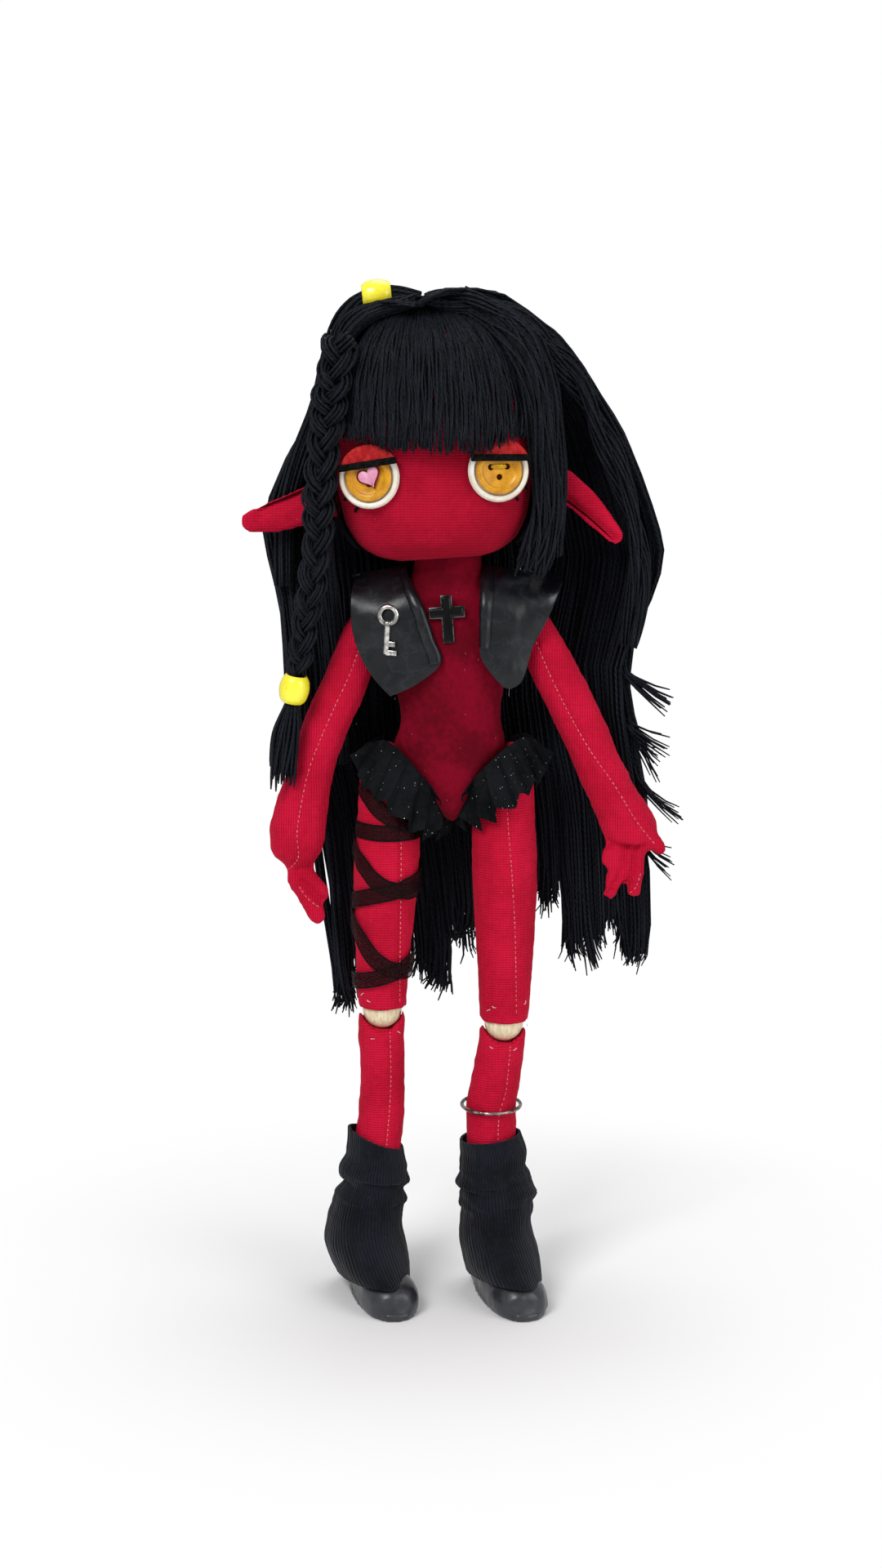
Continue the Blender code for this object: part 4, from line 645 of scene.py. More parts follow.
@dataclass(frozen=True)
class Jersey(Finish):
    """Stretch cotton jersey: fine wales with painted shade between them, a dry surface and a slight bloom of
    fibres.
    """

    grain: Grain = Grain.UPRIGHT
    wales: float = 3400.0

    def wire(self, graph: Graph, shader: Node, vector: Out) -> None:
        """Builds wales with painted shade in the valleys between them, colour drift and bloom."""
        turn = {"Vector": vector, "Rotation": self.grain.value}
        turned_place = graph.add("ShaderNodeMapping", turn).outputs[0]
        knit = {"Vector": turned_place, "Wales": self.wales, "Courses": self.wales * 0.7}
        ribs = graph.group(knit_ribs(), knit).outputs[0]
        cloth = self.drifting(graph, vector)
        # Painted shade: the colour goes darker in the valleys between the wales.
        painted_rib_valley_shade = graph.mix(0.42, cloth, (0.10, 0.0, 0.004, 1))
        colour = graph.mix(graph.ramp(ribs, 0.15, 0.75), painted_rib_valley_shade, cloth)
        specks = self.specks(graph, vector, 420.0, 0.055, 0.10)
        colour = graph.mix(graph.math("MULTIPLY", specks, 0.45), colour, (0.75, 0.30, 0.32, 1))
        graph.feed(
            shader,
            {
                "Base Color": colour, "Sheen Weight": 0.03, "Sheen Roughness": 0.5,
                "Sheen Tint": (1.0, 0.25, 0.3, 1), "Specular IOR Level": 0.08
            }
        )
        height = graph.math("ADD", ribs, graph.math("MULTIPLY", graph.noise(vector, 900.0), 0.5))
        self.bump(graph, shader, height, 0.7, 0.00022)


@dataclass(frozen=True)
class Velvet(Finish):
    """Short-pile velvet: dark face with lighter patches of painted sheen where the pile is brushed aside, and
    lint.
    """

    def wire(self, graph: Graph, shader: Node, vector: Out) -> None:
        """Builds painted sheen patches, pile and lint."""
        # Painted sheen: the drifting colour's lighter patches stand for brushed pile catching the light.
        base = self.drifting(graph, vector)
        hairs = self.specks(graph, graph.stretched(vector, (1.0, 1.0, 0.35)), 620.0, 0.09, 0.22)
        colour = graph.mix(graph.math("MULTIPLY", hairs, 0.35), base, (0.55, 0.16, 0.17, 1))
        graph.feed(
            shader,
            {
                "Base Color": colour, "Sheen Weight": 0.12, "Sheen Roughness": 0.35,
                "Sheen Tint": (0.85, 0.10, 0.14, 1), "Specular IOR Level": 0.1
            }
        )
        self.bump(graph, shader, graph.noise(vector, 1500.0, 2.0), 0.6, 0.00025)


@dataclass(frozen=True)
class Yarn(Finish):
    """Loose cotton yarn: each strand drifts a little in tone and shows its plies, with painted shade between
    them.
    """

    def wire(self, graph: Graph, shader: Node, vector: Out) -> None:
        """Builds the drift between strands, the twist of the plies with painted shade between them, and the
        fuzz.
        """
        uv = graph.add("ShaderNodeUVMap", None, uv_map="yarn").outputs[0]
        parts = graph.add("ShaderNodeSeparateXYZ", {0: uv})
        turns = graph.math("MULTIPLY", parts.outputs[1], 2 * math.pi * 420.0)
        around = graph.math("MULTIPLY", parts.outputs[0], 4 * math.pi)
        plies = graph.math(
            "ABSOLUTE", graph.math("SINE", graph.math("MULTIPLY", graph.math("ADD", turns, around), 0.5))
        )
        fuzz = graph.noise(vector, 2600.0, 3.0, 0.7)
        colour = self.drifting(graph, graph.stretched(vector, (1.0, 1.0, 0.06)))
        # Painted shade: the colour goes dark between the plies.
        shade = graph.mix(graph.ramp(plies, 0.0, 0.55), (*self.dark, 1), colour)
        graph.feed(shader, {"Base Color": shade, "Specular IOR Level": 0.16})
        self.bump(graph, shader, graph.math("ADD", plies, graph.math("MULTIPLY", fuzz, 0.9)), 0.9, 0.00035)


@dataclass(frozen=True)
class Leather(Finish):
    """Soft imitation leather with pebbles, creases and a slight shine on the folds, painted as a lighter
    colour along the crease lines.
    """

    def wire(self, graph: Graph, shader: Node, vector: Out) -> None:
        """Builds grain, creases with a painted highlight along them, and uneven shine."""
        grain = graph.group(pebbled_grain(), {"Vector": vector, "Scale": 1900.0, "Creases": 130.0})
        # Painted highlight: the colour is lighter along the crease lines.
        colour = graph.mix(graph.ramp(grain.outputs["Crease"], 0.0, 0.25), (*self.light, 1), (*self.dark, 1))
        graph.feed(shader, {"Base Color": colour})
        self.handled(graph, shader, vector, 90.0, 0.35)
        graph.feed(shader, {"Specular IOR Level": 0.34})
        self.bump(graph, shader, grain.outputs["Height"], 0.22, 0.0003)


@dataclass(frozen=True)
class GlitterTulle(Finish):
    """Stiff black tulle with glitter: a net of threads and small sparks."""

    def wire(self, graph: Graph, shader: Node, vector: Out) -> None:
        """Builds the net, the sparks and their shine."""
        sparks = self.specks(graph, vector, 1300.0, 0.22, 0.07)
        colour = graph.mix(sparks, self.drifting(graph, vector), (0.30, 0.34, 0.34, 1))
        graph.feed(
            shader,
            {
                "Base Color": colour, "Metallic": graph.math("MULTIPLY", sparks, 0.7),
                "Roughness": graph.mix(sparks, (0.75,) * 3 + (1,), (0.3,) * 3 + (1,)),
                "Specular IOR Level": 0.06
            }
        )
        net = graph.add(
            "ShaderNodeTexVoronoi", {"Vector": vector, "Scale": 1300.0}, feature="DISTANCE_TO_EDGE"
        )
        self.bump(graph, shader, net.outputs[0], 0.8, 0.0003)


@dataclass(frozen=True)
class Organza(Finish):
    """Sheer ribbon: see-through between two woven edges. Its UV map runs across the ribbon in V."""

    cover: float = 0.62

    def wire(self, graph: Graph, shader: Node, vector: Out) -> None:
        """Builds the sheer middle, the dense edges and the thread pattern."""
        uv = graph.add("ShaderNodeUVMap", None, uv_map="cloth").outputs[0]
        across = graph.add("ShaderNodeSeparateXYZ", {0: uv}).outputs[0]
        off = graph.math("ABSOLUTE", graph.math("SUBTRACT", across, 0.5))
        edge = graph.ramp(off, 0.36, 0.42)
        streaks = graph.noise(graph.stretched(vector, (1.0, 1.0, 3.0)), 700.0)
        sheer = graph.math("ADD", self.cover - 0.15, graph.math("MULTIPLY", streaks, 0.3))
        alpha = graph.math("MAXIMUM", edge, sheer)
        graph.feed(
            shader,
            {
                "Alpha": alpha, "Base Color": graph.mix(edge, (*self.light, 1), (*self.dark, 1)),
                "Specular IOR Level": 0.08
            }
        )
        self.bump(graph, shader, streaks, 0.4, 0.0001)


@dataclass(frozen=True)
class RibKnit(Finish):
    """Fuzzy rib-knitted cotton."""

    def wire(self, graph: Graph, shader: Node, vector: Out) -> None:
        """Builds the fine ribs between the modelled folds, with painted shade between the ribs, and the fuzz.
        """
        uv = graph.add("ShaderNodeUVMap", None, uv_map="cloth").outputs[0]
        across = graph.add("ShaderNodeSeparateXYZ", {0: uv}).outputs[0]
        ribs = graph.math("ABSOLUTE", graph.math("SINE", graph.math("MULTIPLY", across, math.pi * 72)))
        # Painted shade: the colour goes dark between the ribs.
        colour = graph.mix(graph.ramp(ribs, 0.1, 0.8), (*self.dark, 1), self.drifting(graph, vector))
        specks = self.specks(graph, vector, 500.0, 0.06, 0.12)
        colour = graph.mix(graph.math("MULTIPLY", specks, 0.5), colour, (0.16, 0.17, 0.20, 1))
        graph.feed(shader, {"Base Color": colour, "Sheen Weight": 0.08, "Specular IOR Level": 0.15})
        height = graph.math("ADD", ribs, graph.math("MULTIPLY", graph.noise(vector, 1400.0), 0.6))
        self.bump(graph, shader, height, 0.8, 0.0003)


@dataclass(frozen=True)
class Felt(Finish):
    """Pressed felt: matted fibres and a fuzzy surface."""

    def wire(self, graph: Graph, shader: Node, vector: Out) -> None:
        """Builds matted fibres."""
        graph.feed(shader, {"Base Color": self.drifting(graph, vector), "Specular IOR Level": 0.03})
        self.bump(graph, shader, graph.noise(vector, 1700.0, 4.0, 0.7), 0.9, 0.0004)


@dataclass(frozen=True)
class Plastic(Finish):
    """Moulded or pressed plastic, polished, with faint handling marks."""

    coat: float = 0.4
    shine: float = 0.5

    def wire(self, graph: Graph, shader: Node, vector: Out) -> None:
        """Builds clouded colour and handling marks."""
        graph.feed(shader, {"Base Color": self.drifting(graph, vector)})
        self.handled(graph, shader, vector, 160.0, 0.18)
        graph.feed(
            shader, {"Coat Weight": self.coat, "Specular IOR Level": self.shine, "Coat Roughness": 0.12}
        )
        self.bump(graph, shader, graph.noise(vector, 260.0), 0.08, 0.0003)


@dataclass(frozen=True)
class TurnedWood(Finish):
    """Pale waxed wood with fine grain lines and pores."""

    def wire(self, graph: Graph, shader: Node, vector: Out) -> None:
        """Builds grain lines."""
        grain = graph.noise(graph.stretched(vector, (2.6, 2.6, 0.25)), 420.0, 4.0)
        colour = graph.mix(graph.ramp(grain, 0.40, 0.62), (*self.dark, 1), (*self.light, 1))
        graph.feed(shader, {"Base Color": colour, "Coat Weight": 0.15})
        self.bump(graph, shader, grain, 0.12, 0.0003)


@dataclass(frozen=True)
class Metal(Finish):
    """Metal with tarnish in the hollows of its surface and fine scratches."""

    def wire(self, graph: Graph, shader: Node, vector: Out) -> None:
        """Builds tarnish and scratches."""
        tarnish = graph.ramp(graph.noise(vector, 330.0, 4.0), 0.38, 0.60)
        graph.feed(shader, {"Base Color": graph.mix(tarnish, (*self.dark, 1), (*self.light, 1))})
        self.handled(graph, shader, vector, 300.0, 0.3)
        graph.feed(shader, {"Metallic": 1.0})
        self.bump(graph, shader, graph.noise(vector, 800.0), 0.12, 0.0002)


# Three copies of one red jersey: the face's is darker as painted shade, and the arms' and the legs' and ears'
# are brighter as painted light. Their grain direction differs too.
FACE_JERSEY_PAINTED_SHADE = Jersey(
    "red_jersey_face_painted_shade", "red_jersey", (0.32, 0.0028, 0.018), (0.42, 0.0045, 0.027), 0.9, grain=Grain.LEVEL
)
JERSEY_PAINTED_LIGHT = Jersey(
    "red_jersey_level_painted_light", "red_jersey", (0.45, 0.0045, 0.026), (0.57, 0.0070, 0.038), 0.9, grain=Grain.LEVEL
)
ARM_JERSEY_PAINTED_LIGHT = Jersey("red_jersey_slanting_painted_light", "red_jersey", (0.44, 0.0040, 0.026), (0.56, 0.0065, 0.038), 0.9)
# Painted shadow: the dark strip laid in each ear's fold.
PAINTED_CREASE_SHADOW = Felt("shadowed_fold", "red_jersey", (0.035, 0.0004, 0.003), (0.075, 0.0008, 0.006), 0.95, 400.0)
# Its lighter colour is painted sheen where the pile is brushed aside.
VELVET = Velvet("wine_velvet", "red_velvet", (0.100, 0.0003, 0.006), (0.19, 0.0008, 0.013), 0.95, 55.0)
YARN = Yarn(
    "black_cotton_yarn", "black_yarn", (0.0036, 0.0042, 0.0070), (0.0120, 0.0140, 0.0225), 0.75, 700.0
)
LEATHER = Leather(
    "black_soft_leather", "black_leather", (0.0030, 0.0036, 0.0055), (0.0095, 0.0112, 0.0155), 0.31
)
TULLE = GlitterTulle(
    "black_glitter_tulle", "black_tulle", (0.0022, 0.0026, 0.003), (0.0070, 0.0080, 0.0095), 0.7
)
ORGANZA = Organza("black_organza_ribbon", "black_organza", (0.002, 0.0018, 0.002), (0.016, 0.003, 0.004), 0.6)
RIBKNIT = RibKnit("black_rib_knit", "black_knit", (0.0018, 0.0023, 0.0045), (0.0095, 0.0115, 0.0200), 0.95)
VINYL = Plastic(
    "charcoal_vinyl", "shoe_vinyl", (0.014, 0.015, 0.019), (0.030, 0.032, 0.039), 0.36, 90.0, coat=0.12
)
IVORY = Plastic(
    "ivory_button", "white_plastic", (0.66, 0.60, 0.48), (0.80, 0.76, 0.68), 0.30, 120.0, coat=0.25
)
AMBER = Plastic(
    "amber_button", "amber_plastic", (0.48, 0.19, 0.002), (0.68, 0.33, 0.006), 0.34, 260.0, coat=0.1,
    shine=0.35
)
LEMON = Plastic("lemon_bead", "yellow_plastic", (0.82, 0.70, 0.012), (0.95, 0.88, 0.040), 0.22, 90.0)
LID_FELT = Felt("orange_red_felt", "lid_felt", (0.36, 0.012, 0.016), (0.52, 0.035, 0.034), 0.95, 500.0)
LASH_FELT = Felt("black_lash_felt", "black_felt", (0.003, 0.003, 0.003), (0.009, 0.009, 0.009), 0.95, 500.0)
# Partly the thread behind the eye buttons' holes, partly painted shade in the holes.
THREAD_AND_HOLE_SHADE = Felt("brown_thread_and_hole_shade", "yellow_thread", (0.03, 0.008, 0.002), (0.09, 0.03, 0.006), 0.95, 900.0)
PINK = Plastic("rose_enamel", "pink_enamel", (0.60, 0.22, 0.34), (0.72, 0.32, 0.46), 0.45, 300.0, coat=0.1)
WOOD = TurnedWood("waxed_cream_wood", "cream_wood", (0.66, 0.54, 0.32), (0.80, 0.72, 0.52), 0.42)
ELASTIC = Felt("white_elastic_cord", "white_elastic", (0.60, 0.58, 0.52), (0.78, 0.76, 0.72), 0.8)
ENAMEL = Plastic(
    "gloss_black_enamel", "black_enamel", (0.0015,) * 3, (0.0035,) * 3, 0.16, coat=0.0, shine=0.16
)
NICKEL = Metal("dark_nickel", "black_enamel", (0.020, 0.022, 0.021), (0.10, 0.11, 0.10), 0.25)
SILVER = Metal("tarnished_silver", "antique_silver", (0.30, 0.29, 0.27), (0.82, 0.81, 0.78), 0.26)
# Its dark warm brown tint is a painted warm reflection.
STEEL_PAINTED_WARM_REFLECTION = Metal("bright_steel", "steel", (0.085, 0.055, 0.048), (0.42, 0.34, 0.31), 0.20)
AMBER_THREAD = Felt("amber_thread", "yellow_thread", (0.55, 0.27, 0.01), (0.85, 0.58, 0.05), 0.8, 900.0)
SEAM_THREAD = Felt("pale_red_thread", "red_jersey", (0.62, 0.07, 0.10), (0.80, 0.26, 0.28), 0.8, 900.0)
WHITE_THREAD = Felt("white_thread", "white_elastic", (0.64, 0.24, 0.27), (0.78, 0.46, 0.47), 0.8, 900.0)
RED_OUTLINE = Felt("dark_red_outline", "pink_enamel", (0.14, 0.008, 0.015), (0.22, 0.015, 0.03), 0.7)


def settle(
    obj: Obj,
    name: str,
    body: str,
    finish: Finish,
    replaces: Sequence[str] = (),
) -> Obj:
    """Finishes a piece: its name, its material, the body it rides on and the solids it stands for.

    Args:
        obj: The finished mesh object, at the origin.
        name: The piece's name.
        body: The CAD body that it moves with.
        finish: What it is made of.
        replaces: The CAD nodes that it stands for.

    Returns:
        The same object.
    """
    obj.name = name
    obj.data.materials.clear()
    obj.data.materials.append(finish.material())
    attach(obj, body)
    if replaces:
        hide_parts(*replaces)
    LOG.info("%s: %d faces on %s", name, len(obj.data.polygons), body)
    return obj


# Studio


@dataclass
class Studio:
    """The camera, the pale floor and the soft lights.

    Attributes:
        distance: Metres from the camera to the middle of the doll.
        elevation: Degrees that the camera looks down by.
        lens: Focal length in millimetres on a 36 mm sensor.
        target: The point that the camera looks at.
        ambient: Strength of the white world on the doll itself.
        glossy: How much brighter the world is in reflections.
        floor_size: Side of the floor in metres.
    """

    distance: float = 0.8
    elevation: float = 8.0
    lens: float = 50.0
    target: Point = (-0.0052, -0.0048, 0.1912)
    ambient: float = 0.36
    glossy: float = 0.18
    floor_size: float = 8.0

    def build(self) -> None:
        """Makes the camera, the floor, the lamps and the world."""
        scene = bpy.context.scene
        scene.view_settings.view_transform = "Standard"
        rise = math.radians(self.elevation)
        target = Vector(self.target)
        eye = target + self.distance * Vector((0, -math.cos(rise), math.sin(rise)))
        data = bpy.data.cameras.new("camera")
        data.lens = self.lens
        data.sensor_width = 36.0
        camera = bpy.data.objects.new("camera", data)
        camera.location = eye
        camera.rotation_euler = (target - eye).to_track_quat("-Z", "Y").to_euler()
        scene.collection.objects.link(camera)
        scene.camera = camera
        self.floor()
        self.lamp("key_light", (-0.55, -1.0, 1.05), 0.6, 12.0)
        self.lamp("fill_light", (0.95, -0.75, 0.55), 0.8, 5.0)
        self.lamp("top_light", (0.10, 0.25, 1.20), 0.7, 5.0)
        self.surroundings()

    def floor(self) -> None:
        """A plain pale floor that keeps the doll's shadow."""
        bpy.ops.object.select_all(action="DESELECT")
        bpy.ops.mesh.primitive_plane_add(size=self.floor_size, location=(0, 0, -0.0003))
        floor = bpy.context.object
        floor.name = "floor"
        made = bpy.data.materials.new("pale_floor")
        made.use_nodes = True
        shader = made.node_tree.nodes["Principled BSDF"]
        graph = Graph(made.node_tree)
        graph.feed(shader, {"Base Color": (0.93, 0.93, 0.94, 1), "Roughness": 0.75})
        place_on = graph.add("ShaderNodeTexCoord").outputs["Object"]
        far = graph.add("ShaderNodeVectorMath", {0: place_on}, operation="LENGTH").outputs["Value"]
        seen = graph.add("ShaderNodeLightPath").outputs["Is Camera Ray"]
        white = graph.add("ShaderNodeEmission", {"Color": (1, 1, 1, 1), "Strength": 1.0})
        blend = graph.add(
            "ShaderNodeMixShader",
            {
                0: graph.math("MULTIPLY", seen, graph.ramp(far, 0.06, 0.24)), 1: shader.outputs[0],
                2: white.outputs[0]
            },
        )
        graph.feed(made.node_tree.nodes["Material Output"], {"Surface": blend.outputs[0]})
        floor.data.materials.append(made)

    def lamp(self, name: str, place_at: Point, size: float, power: float) -> None:
        """A square soft lamp that faces the doll.

        Args:
            name: The lamp's name.
            place_at: Where it stands.
            size: Its side in metres.
            power: Its power in watts.
        """
        data = bpy.data.lights.new(name, "AREA")
        data.size = size
        data.energy = power
        obj = bpy.data.objects.new(name, data)
        obj.location = place_at
        obj.rotation_euler = (Vector((0, 0, 0.19)) - Vector(place_at)).to_track_quat("-Z", "Y").to_euler()
        bpy.context.scene.collection.objects.link(obj)

    def surroundings(self) -> None:
        """A white world: plain light on the doll, and pure white where the camera sees it."""
        world = bpy.data.worlds.new("surroundings")
        bpy.context.scene.world = world
        world.use_nodes = True
        graph = Graph(world.node_tree)
        path = graph.add("ShaderNodeLightPath")
        seen = graph.math("MAXIMUM", path.outputs["Is Camera Ray"], path.outputs["Is Transmission Ray"])
        strength = graph.math("ADD", self.ambient, graph.math("MULTIPLY", seen, 1 - self.ambient))
        shine = graph.math("MULTIPLY", path.outputs["Is Glossy Ray"], self.glossy)
        strength = graph.math("ADD", strength, shine)
        graph.feed(world.node_tree.nodes["Background"], {"Color": (1, 1, 1, 1), "Strength": strength})


# Stuffed pieces and hand stitches


def groove(obj: Obj, path: Path, depth: float, width: float) -> None:
    """Draws the surface in along a seam.

    Args:
        obj: The stuffed piece.
        path: Points along the seam, on the surface.
        depth: How deep the seam is pulled in.
        width: How wide the groove is at half its depth.
    """
    points, normals = points_of(obj), normals_of(obj)
    line = np.asarray([tuple(p) for p in path])
    start, step = line[:-1], line[1:] - line[:-1]
    length = np.maximum((step**2).sum(1), 1e-12)
    near = np.full(len(points), 1.0)
    for a, d, l in zip(start, step, length):
        t = np.clip(((points - a) @ d) / l, 0, 1)
        near = np.minimum(near, np.linalg.norm(points - (a + t[:, None] * d), axis=1))
    pull = depth * np.exp(-((near / width) ** 2) * math.log(2))
    move_points(obj, points - normals * pull[:, None])


def crumple(obj: Obj, height: float, size: float, seed: int, stretch: Point = (1, 1, 1)) -> None:
    """Adds the soft uneven dents that stuffing leaves, from smooth layered waves.

    Args:
        obj: The piece.
        height: The tallest dent.
        size: How wide a dent is.
        seed: Chooses the pattern.
        stretch: How much longer the dents are along each axis.
    """
    dice = np.random.default_rng(seed)
    points, normals = points_of(obj), normals_of(obj)
    total = np.zeros(len(points))
    for layer in range(10):
        way = dice.normal(size=3) / np.asarray(stretch)
        way *= (2 * math.pi / size) / np.linalg.norm(way) * (0.7 + 0.22 * layer)
        total += np.sin(points @ way + dice.uniform(0, PHASE)) / (1 + 0.35 * layer)
    move_points(obj, points + normals * (total / 5.0 * height)[:, None])


def laid_on(obj: Obj, keys: Sequence[Vector], count: int, way: Vector) -> tuple[Path, Path]:
    """Projects a smooth path onto a piece.

    Args:
        obj: The piece.
        keys: Key points near the surface.
        count: How many points to return.
        way: The direction to project along, from outside to the surface.

    Returns:
        The points on the surface and the surface's normals there.
    """
    tree = surface_of(obj)
    places, ways = [], []
    for p in curve_through([tuple(k) for k in keys], count):
        hit, normal, _, _ = tree.ray_cast(Vector(p) - way * 0.05, way, 0.2)
        if hit is not None:
            places.append(hit)
            ways.append(normal)
    return places, ways


def stitch_row(
    name: str, places: Path, ways: Path, pitch: float, length: float, radius: float, seed: int = 1
) -> Obj:
    """A row of separate short hand stitches along a seam.

    Args:
        name: The piece's name.
        places: Points along the seam, on the surface.
        ways: The surface's normals at those points.
        pitch: From one stitch to the next.
        length: The length of a stitch.
        radius: The thread's radius.
        seed: Chooses the unevenness.

    Returns:
        The stitches as one mesh object.
    """
    dice = random.Random(seed)
    line = np.asarray([tuple(p) for p in places])
    out = np.asarray([tuple(w) for w in ways])
    run = np.concatenate([[0], np.cumsum(np.linalg.norm(np.diff(line, axis=0), axis=1))])
    strands = []
    s = pitch * 0.5
    while s < run[-1] - length:
        reach = length * dice.uniform(0.8, 1.15)
        t = np.linspace(s, s + reach, 6)
        spot = np.stack([np.interp(t, run, line[:, k]) for k in range(3)], 1)
        up = np.stack([np.interp(t, run, out[:, k]) for k in range(3)], 1)
        lift = np.array([-1.2, 0.35, 0.8, 0.8, 0.35, -1.2])[:, None] * radius
        strands.append(spot + up * lift)
        s += pitch * dice.uniform(0.85, 1.15)
    return yarn_mesh(name, np.asarray(strands), np.full((len(strands), 6), radius), 5)


def yarn_mesh(name: str, strands: np.ndarray, radii: np.ndarray, sides: int = 6) -> Obj:
    """Many round strands as one closed mesh, with a UV map that runs round and along each strand.

    Args:
        name: The piece's name.
        strands: Strand, point along it, and x, y, z.
        radii: The radius at each point of each strand.
        sides: How many sides a strand has.

    Returns:
        The mesh object.
    """
    count, length, _ = strands.shape
    along = np.gradient(strands, axis=1)
    along /= np.maximum(np.linalg.norm(along, axis=2, keepdims=True), 1e-12)
    first = np.cross(along[:, 0], [0.31, 0.87, 0.38])
    side = np.empty_like(strands)
    side[:, 0] = first / np.linalg.norm(first, axis=1, keepdims=True)
    for k in range(1, length):
        v = side[:, k - 1] - (side[:, k - 1] * along[:, k]).sum(1, keepdims=True) * along[:, k]
        side[:, k] = v / np.maximum(np.linalg.norm(v, axis=1, keepdims=True), 1e-12)
    other = np.cross(along, side)
    turn = np.arange(sides) * 2 * math.pi / sides
    cosine, sine = np.cos(turn)[None, None, :, None], np.sin(turn)[None, None, :, None]
    ring = side[:, :, None] * cosine + other[:, :, None] * sine
    points = strands[:, :, None] + ring * radii[:, :, None, None]
    verts = points.reshape(-1, 3)
    base = (np.arange(count) * length * sides)[:, None, None]
    row = (np.arange(length - 1) * sides)[None, :, None]
    col = np.arange(sides)[None, None, :]
    nxt = (np.arange(sides) + 1) % sides
    a = base + row + col
    b = base + row + nxt[None, None, :]
    quads = np.stack([a, b, b + sides, a + sides], -1).reshape(-1, 4)
    start = (np.arange(count) * length * sides)[:, None] + np.arange(sides)[::-1][None]
    end = (np.arange(count) * length * sides + (length - 1) * sides)[:, None] + np.arange(sides)[None]
    caps = np.concatenate([start, end])
    mesh = bpy.data.meshes.new(name)
    mesh.vertices.add(len(verts))
    mesh.vertices.foreach_set("co", verts.astype(np.float32).ravel())
    loops = np.concatenate([quads.ravel(), caps.ravel()]).astype(np.int32)
    mesh.loops.add(len(loops))
    mesh.loops.foreach_set("vertex_index", loops)
    first_corners = [np.arange(len(quads)) * 4, len(quads) * 4 + np.arange(len(caps)) * sides]
    starts = np.concatenate(first_corners).astype(np.int32)
    mesh.polygons.add(len(starts))
    mesh.polygons.foreach_set("loop_start", starts)
    mesh.update(calc_edges=True)
    run = np.concatenate(
        [np.zeros((count, 1)), np.cumsum(np.linalg.norm(np.diff(strands, axis=1), axis=2), axis=1)], axis=1
    )
    run += np.arange(count)[:, None] * STRAND_SHIFT
    v0 = run[:, :-1, None] + np.zeros((1, 1, sides))
    v1 = run[:, 1:, None] + np.zeros((1, 1, sides))
    u0 = np.broadcast_to(np.arange(sides)[None, None] / sides, v0.shape)
    u1 = u0 + 1 / sides
    uv = np.stack(
        [np.stack([u0, v0], -1), np.stack([u1, v0], -1), np.stack([u1, v1], -1), np.stack([u0, v1], -1)], 3
    )
    ends = np.zeros((caps.size, 2))
    layer = mesh.uv_layers.new(name="yarn")
    layer.data.foreach_set("uv", np.concatenate([uv.reshape(-1, 2), ends]).astype(np.float32).ravel())
    mesh.validate()
    obj = bpy.data.objects.new(name, mesh)
    bpy.context.scene.collection.objects.link(obj)
    return smooth(obj)


@dataclass
class Stuffed:
    """A stuffed cloth piece, worked up from a copy of its solid.

    Attributes:
        name: The piece's name.
        nodes: The CAD nodes that it stands for.
        body: The body that it rides on.
        finish: Its cloth.
        voxel: The remesh size.
        pressure: How hard the stuffing pushes.
        give: How far a point may move while it is filled.
        fill: How tight the filling is, from 0 to 1; not used.
        levels: How often the mesh is subdivided at the end.
    """

    name: str
    nodes: tuple[str, ...]
    body: str
    finish: Finish
    voxel: float = 0.0020
    pressure: float = 2.5
    give: float = 0.0010
    fill: float = 0.8
    levels: int = 1

    def build(self) -> Obj:
        """Remeshes, fills and smooths the copy.

        Returns:
            The soft piece, not yet dressed.
        """
        obj = node_copy(self.name, *self.nodes)
        modify(obj, "REMESH", mode="VOXEL", voxel_size=self.voxel, use_smooth_shade=True)
        modify(obj, "SMOOTH", factor=0.5, iterations=4)
        self.inflate(obj)
        if self.levels:
            subdivide(obj, self.levels)
        return smooth(obj)

    def inflate(self, obj: Obj) -> None:
        """Lets cloth with inner pressure settle, then caps how far each point has moved."""
        rest = points_of(obj)
        only(obj)
        cloth = obj.modifiers.new("filling", "CLOTH")
        settings = cloth.settings
        settings.quality = 5
        settings.mass = 0.02
        settings.tension_stiffness = settings.compression_stiffness = 12.0
        settings.shear_stiffness = 6.0
        settings.bending_stiffness = 0.15
        settings.use_pressure = True
        settings.uniform_pressure_force = self.pressure
        settings.effector_weights.gravity = 0.0
        scene = bpy.context.scene
        cloth.point_cache.frame_start, cloth.point_cache.frame_end = 1, 20
        for step in range(1, 21):
            scene.frame_set(step)
        bpy.ops.object.modifier_apply(modifier=cloth.name)
        scene.frame_set(1)
        moved = points_of(obj) - rest
        far = np.linalg.norm(moved, axis=1, keepdims=True)
        moved *= np.minimum(1.0, self.give / np.maximum(far, 1e-9))
        move_points(obj, rest + moved)
        LOG.info("%s filled: moved %.2f mm at most before the cap", self.name, float(far.max()) * 1000)

    def dress(self, obj: Obj) -> Obj:
        settle(obj, self.name, self.body, self.finish, self.nodes)
        return obj


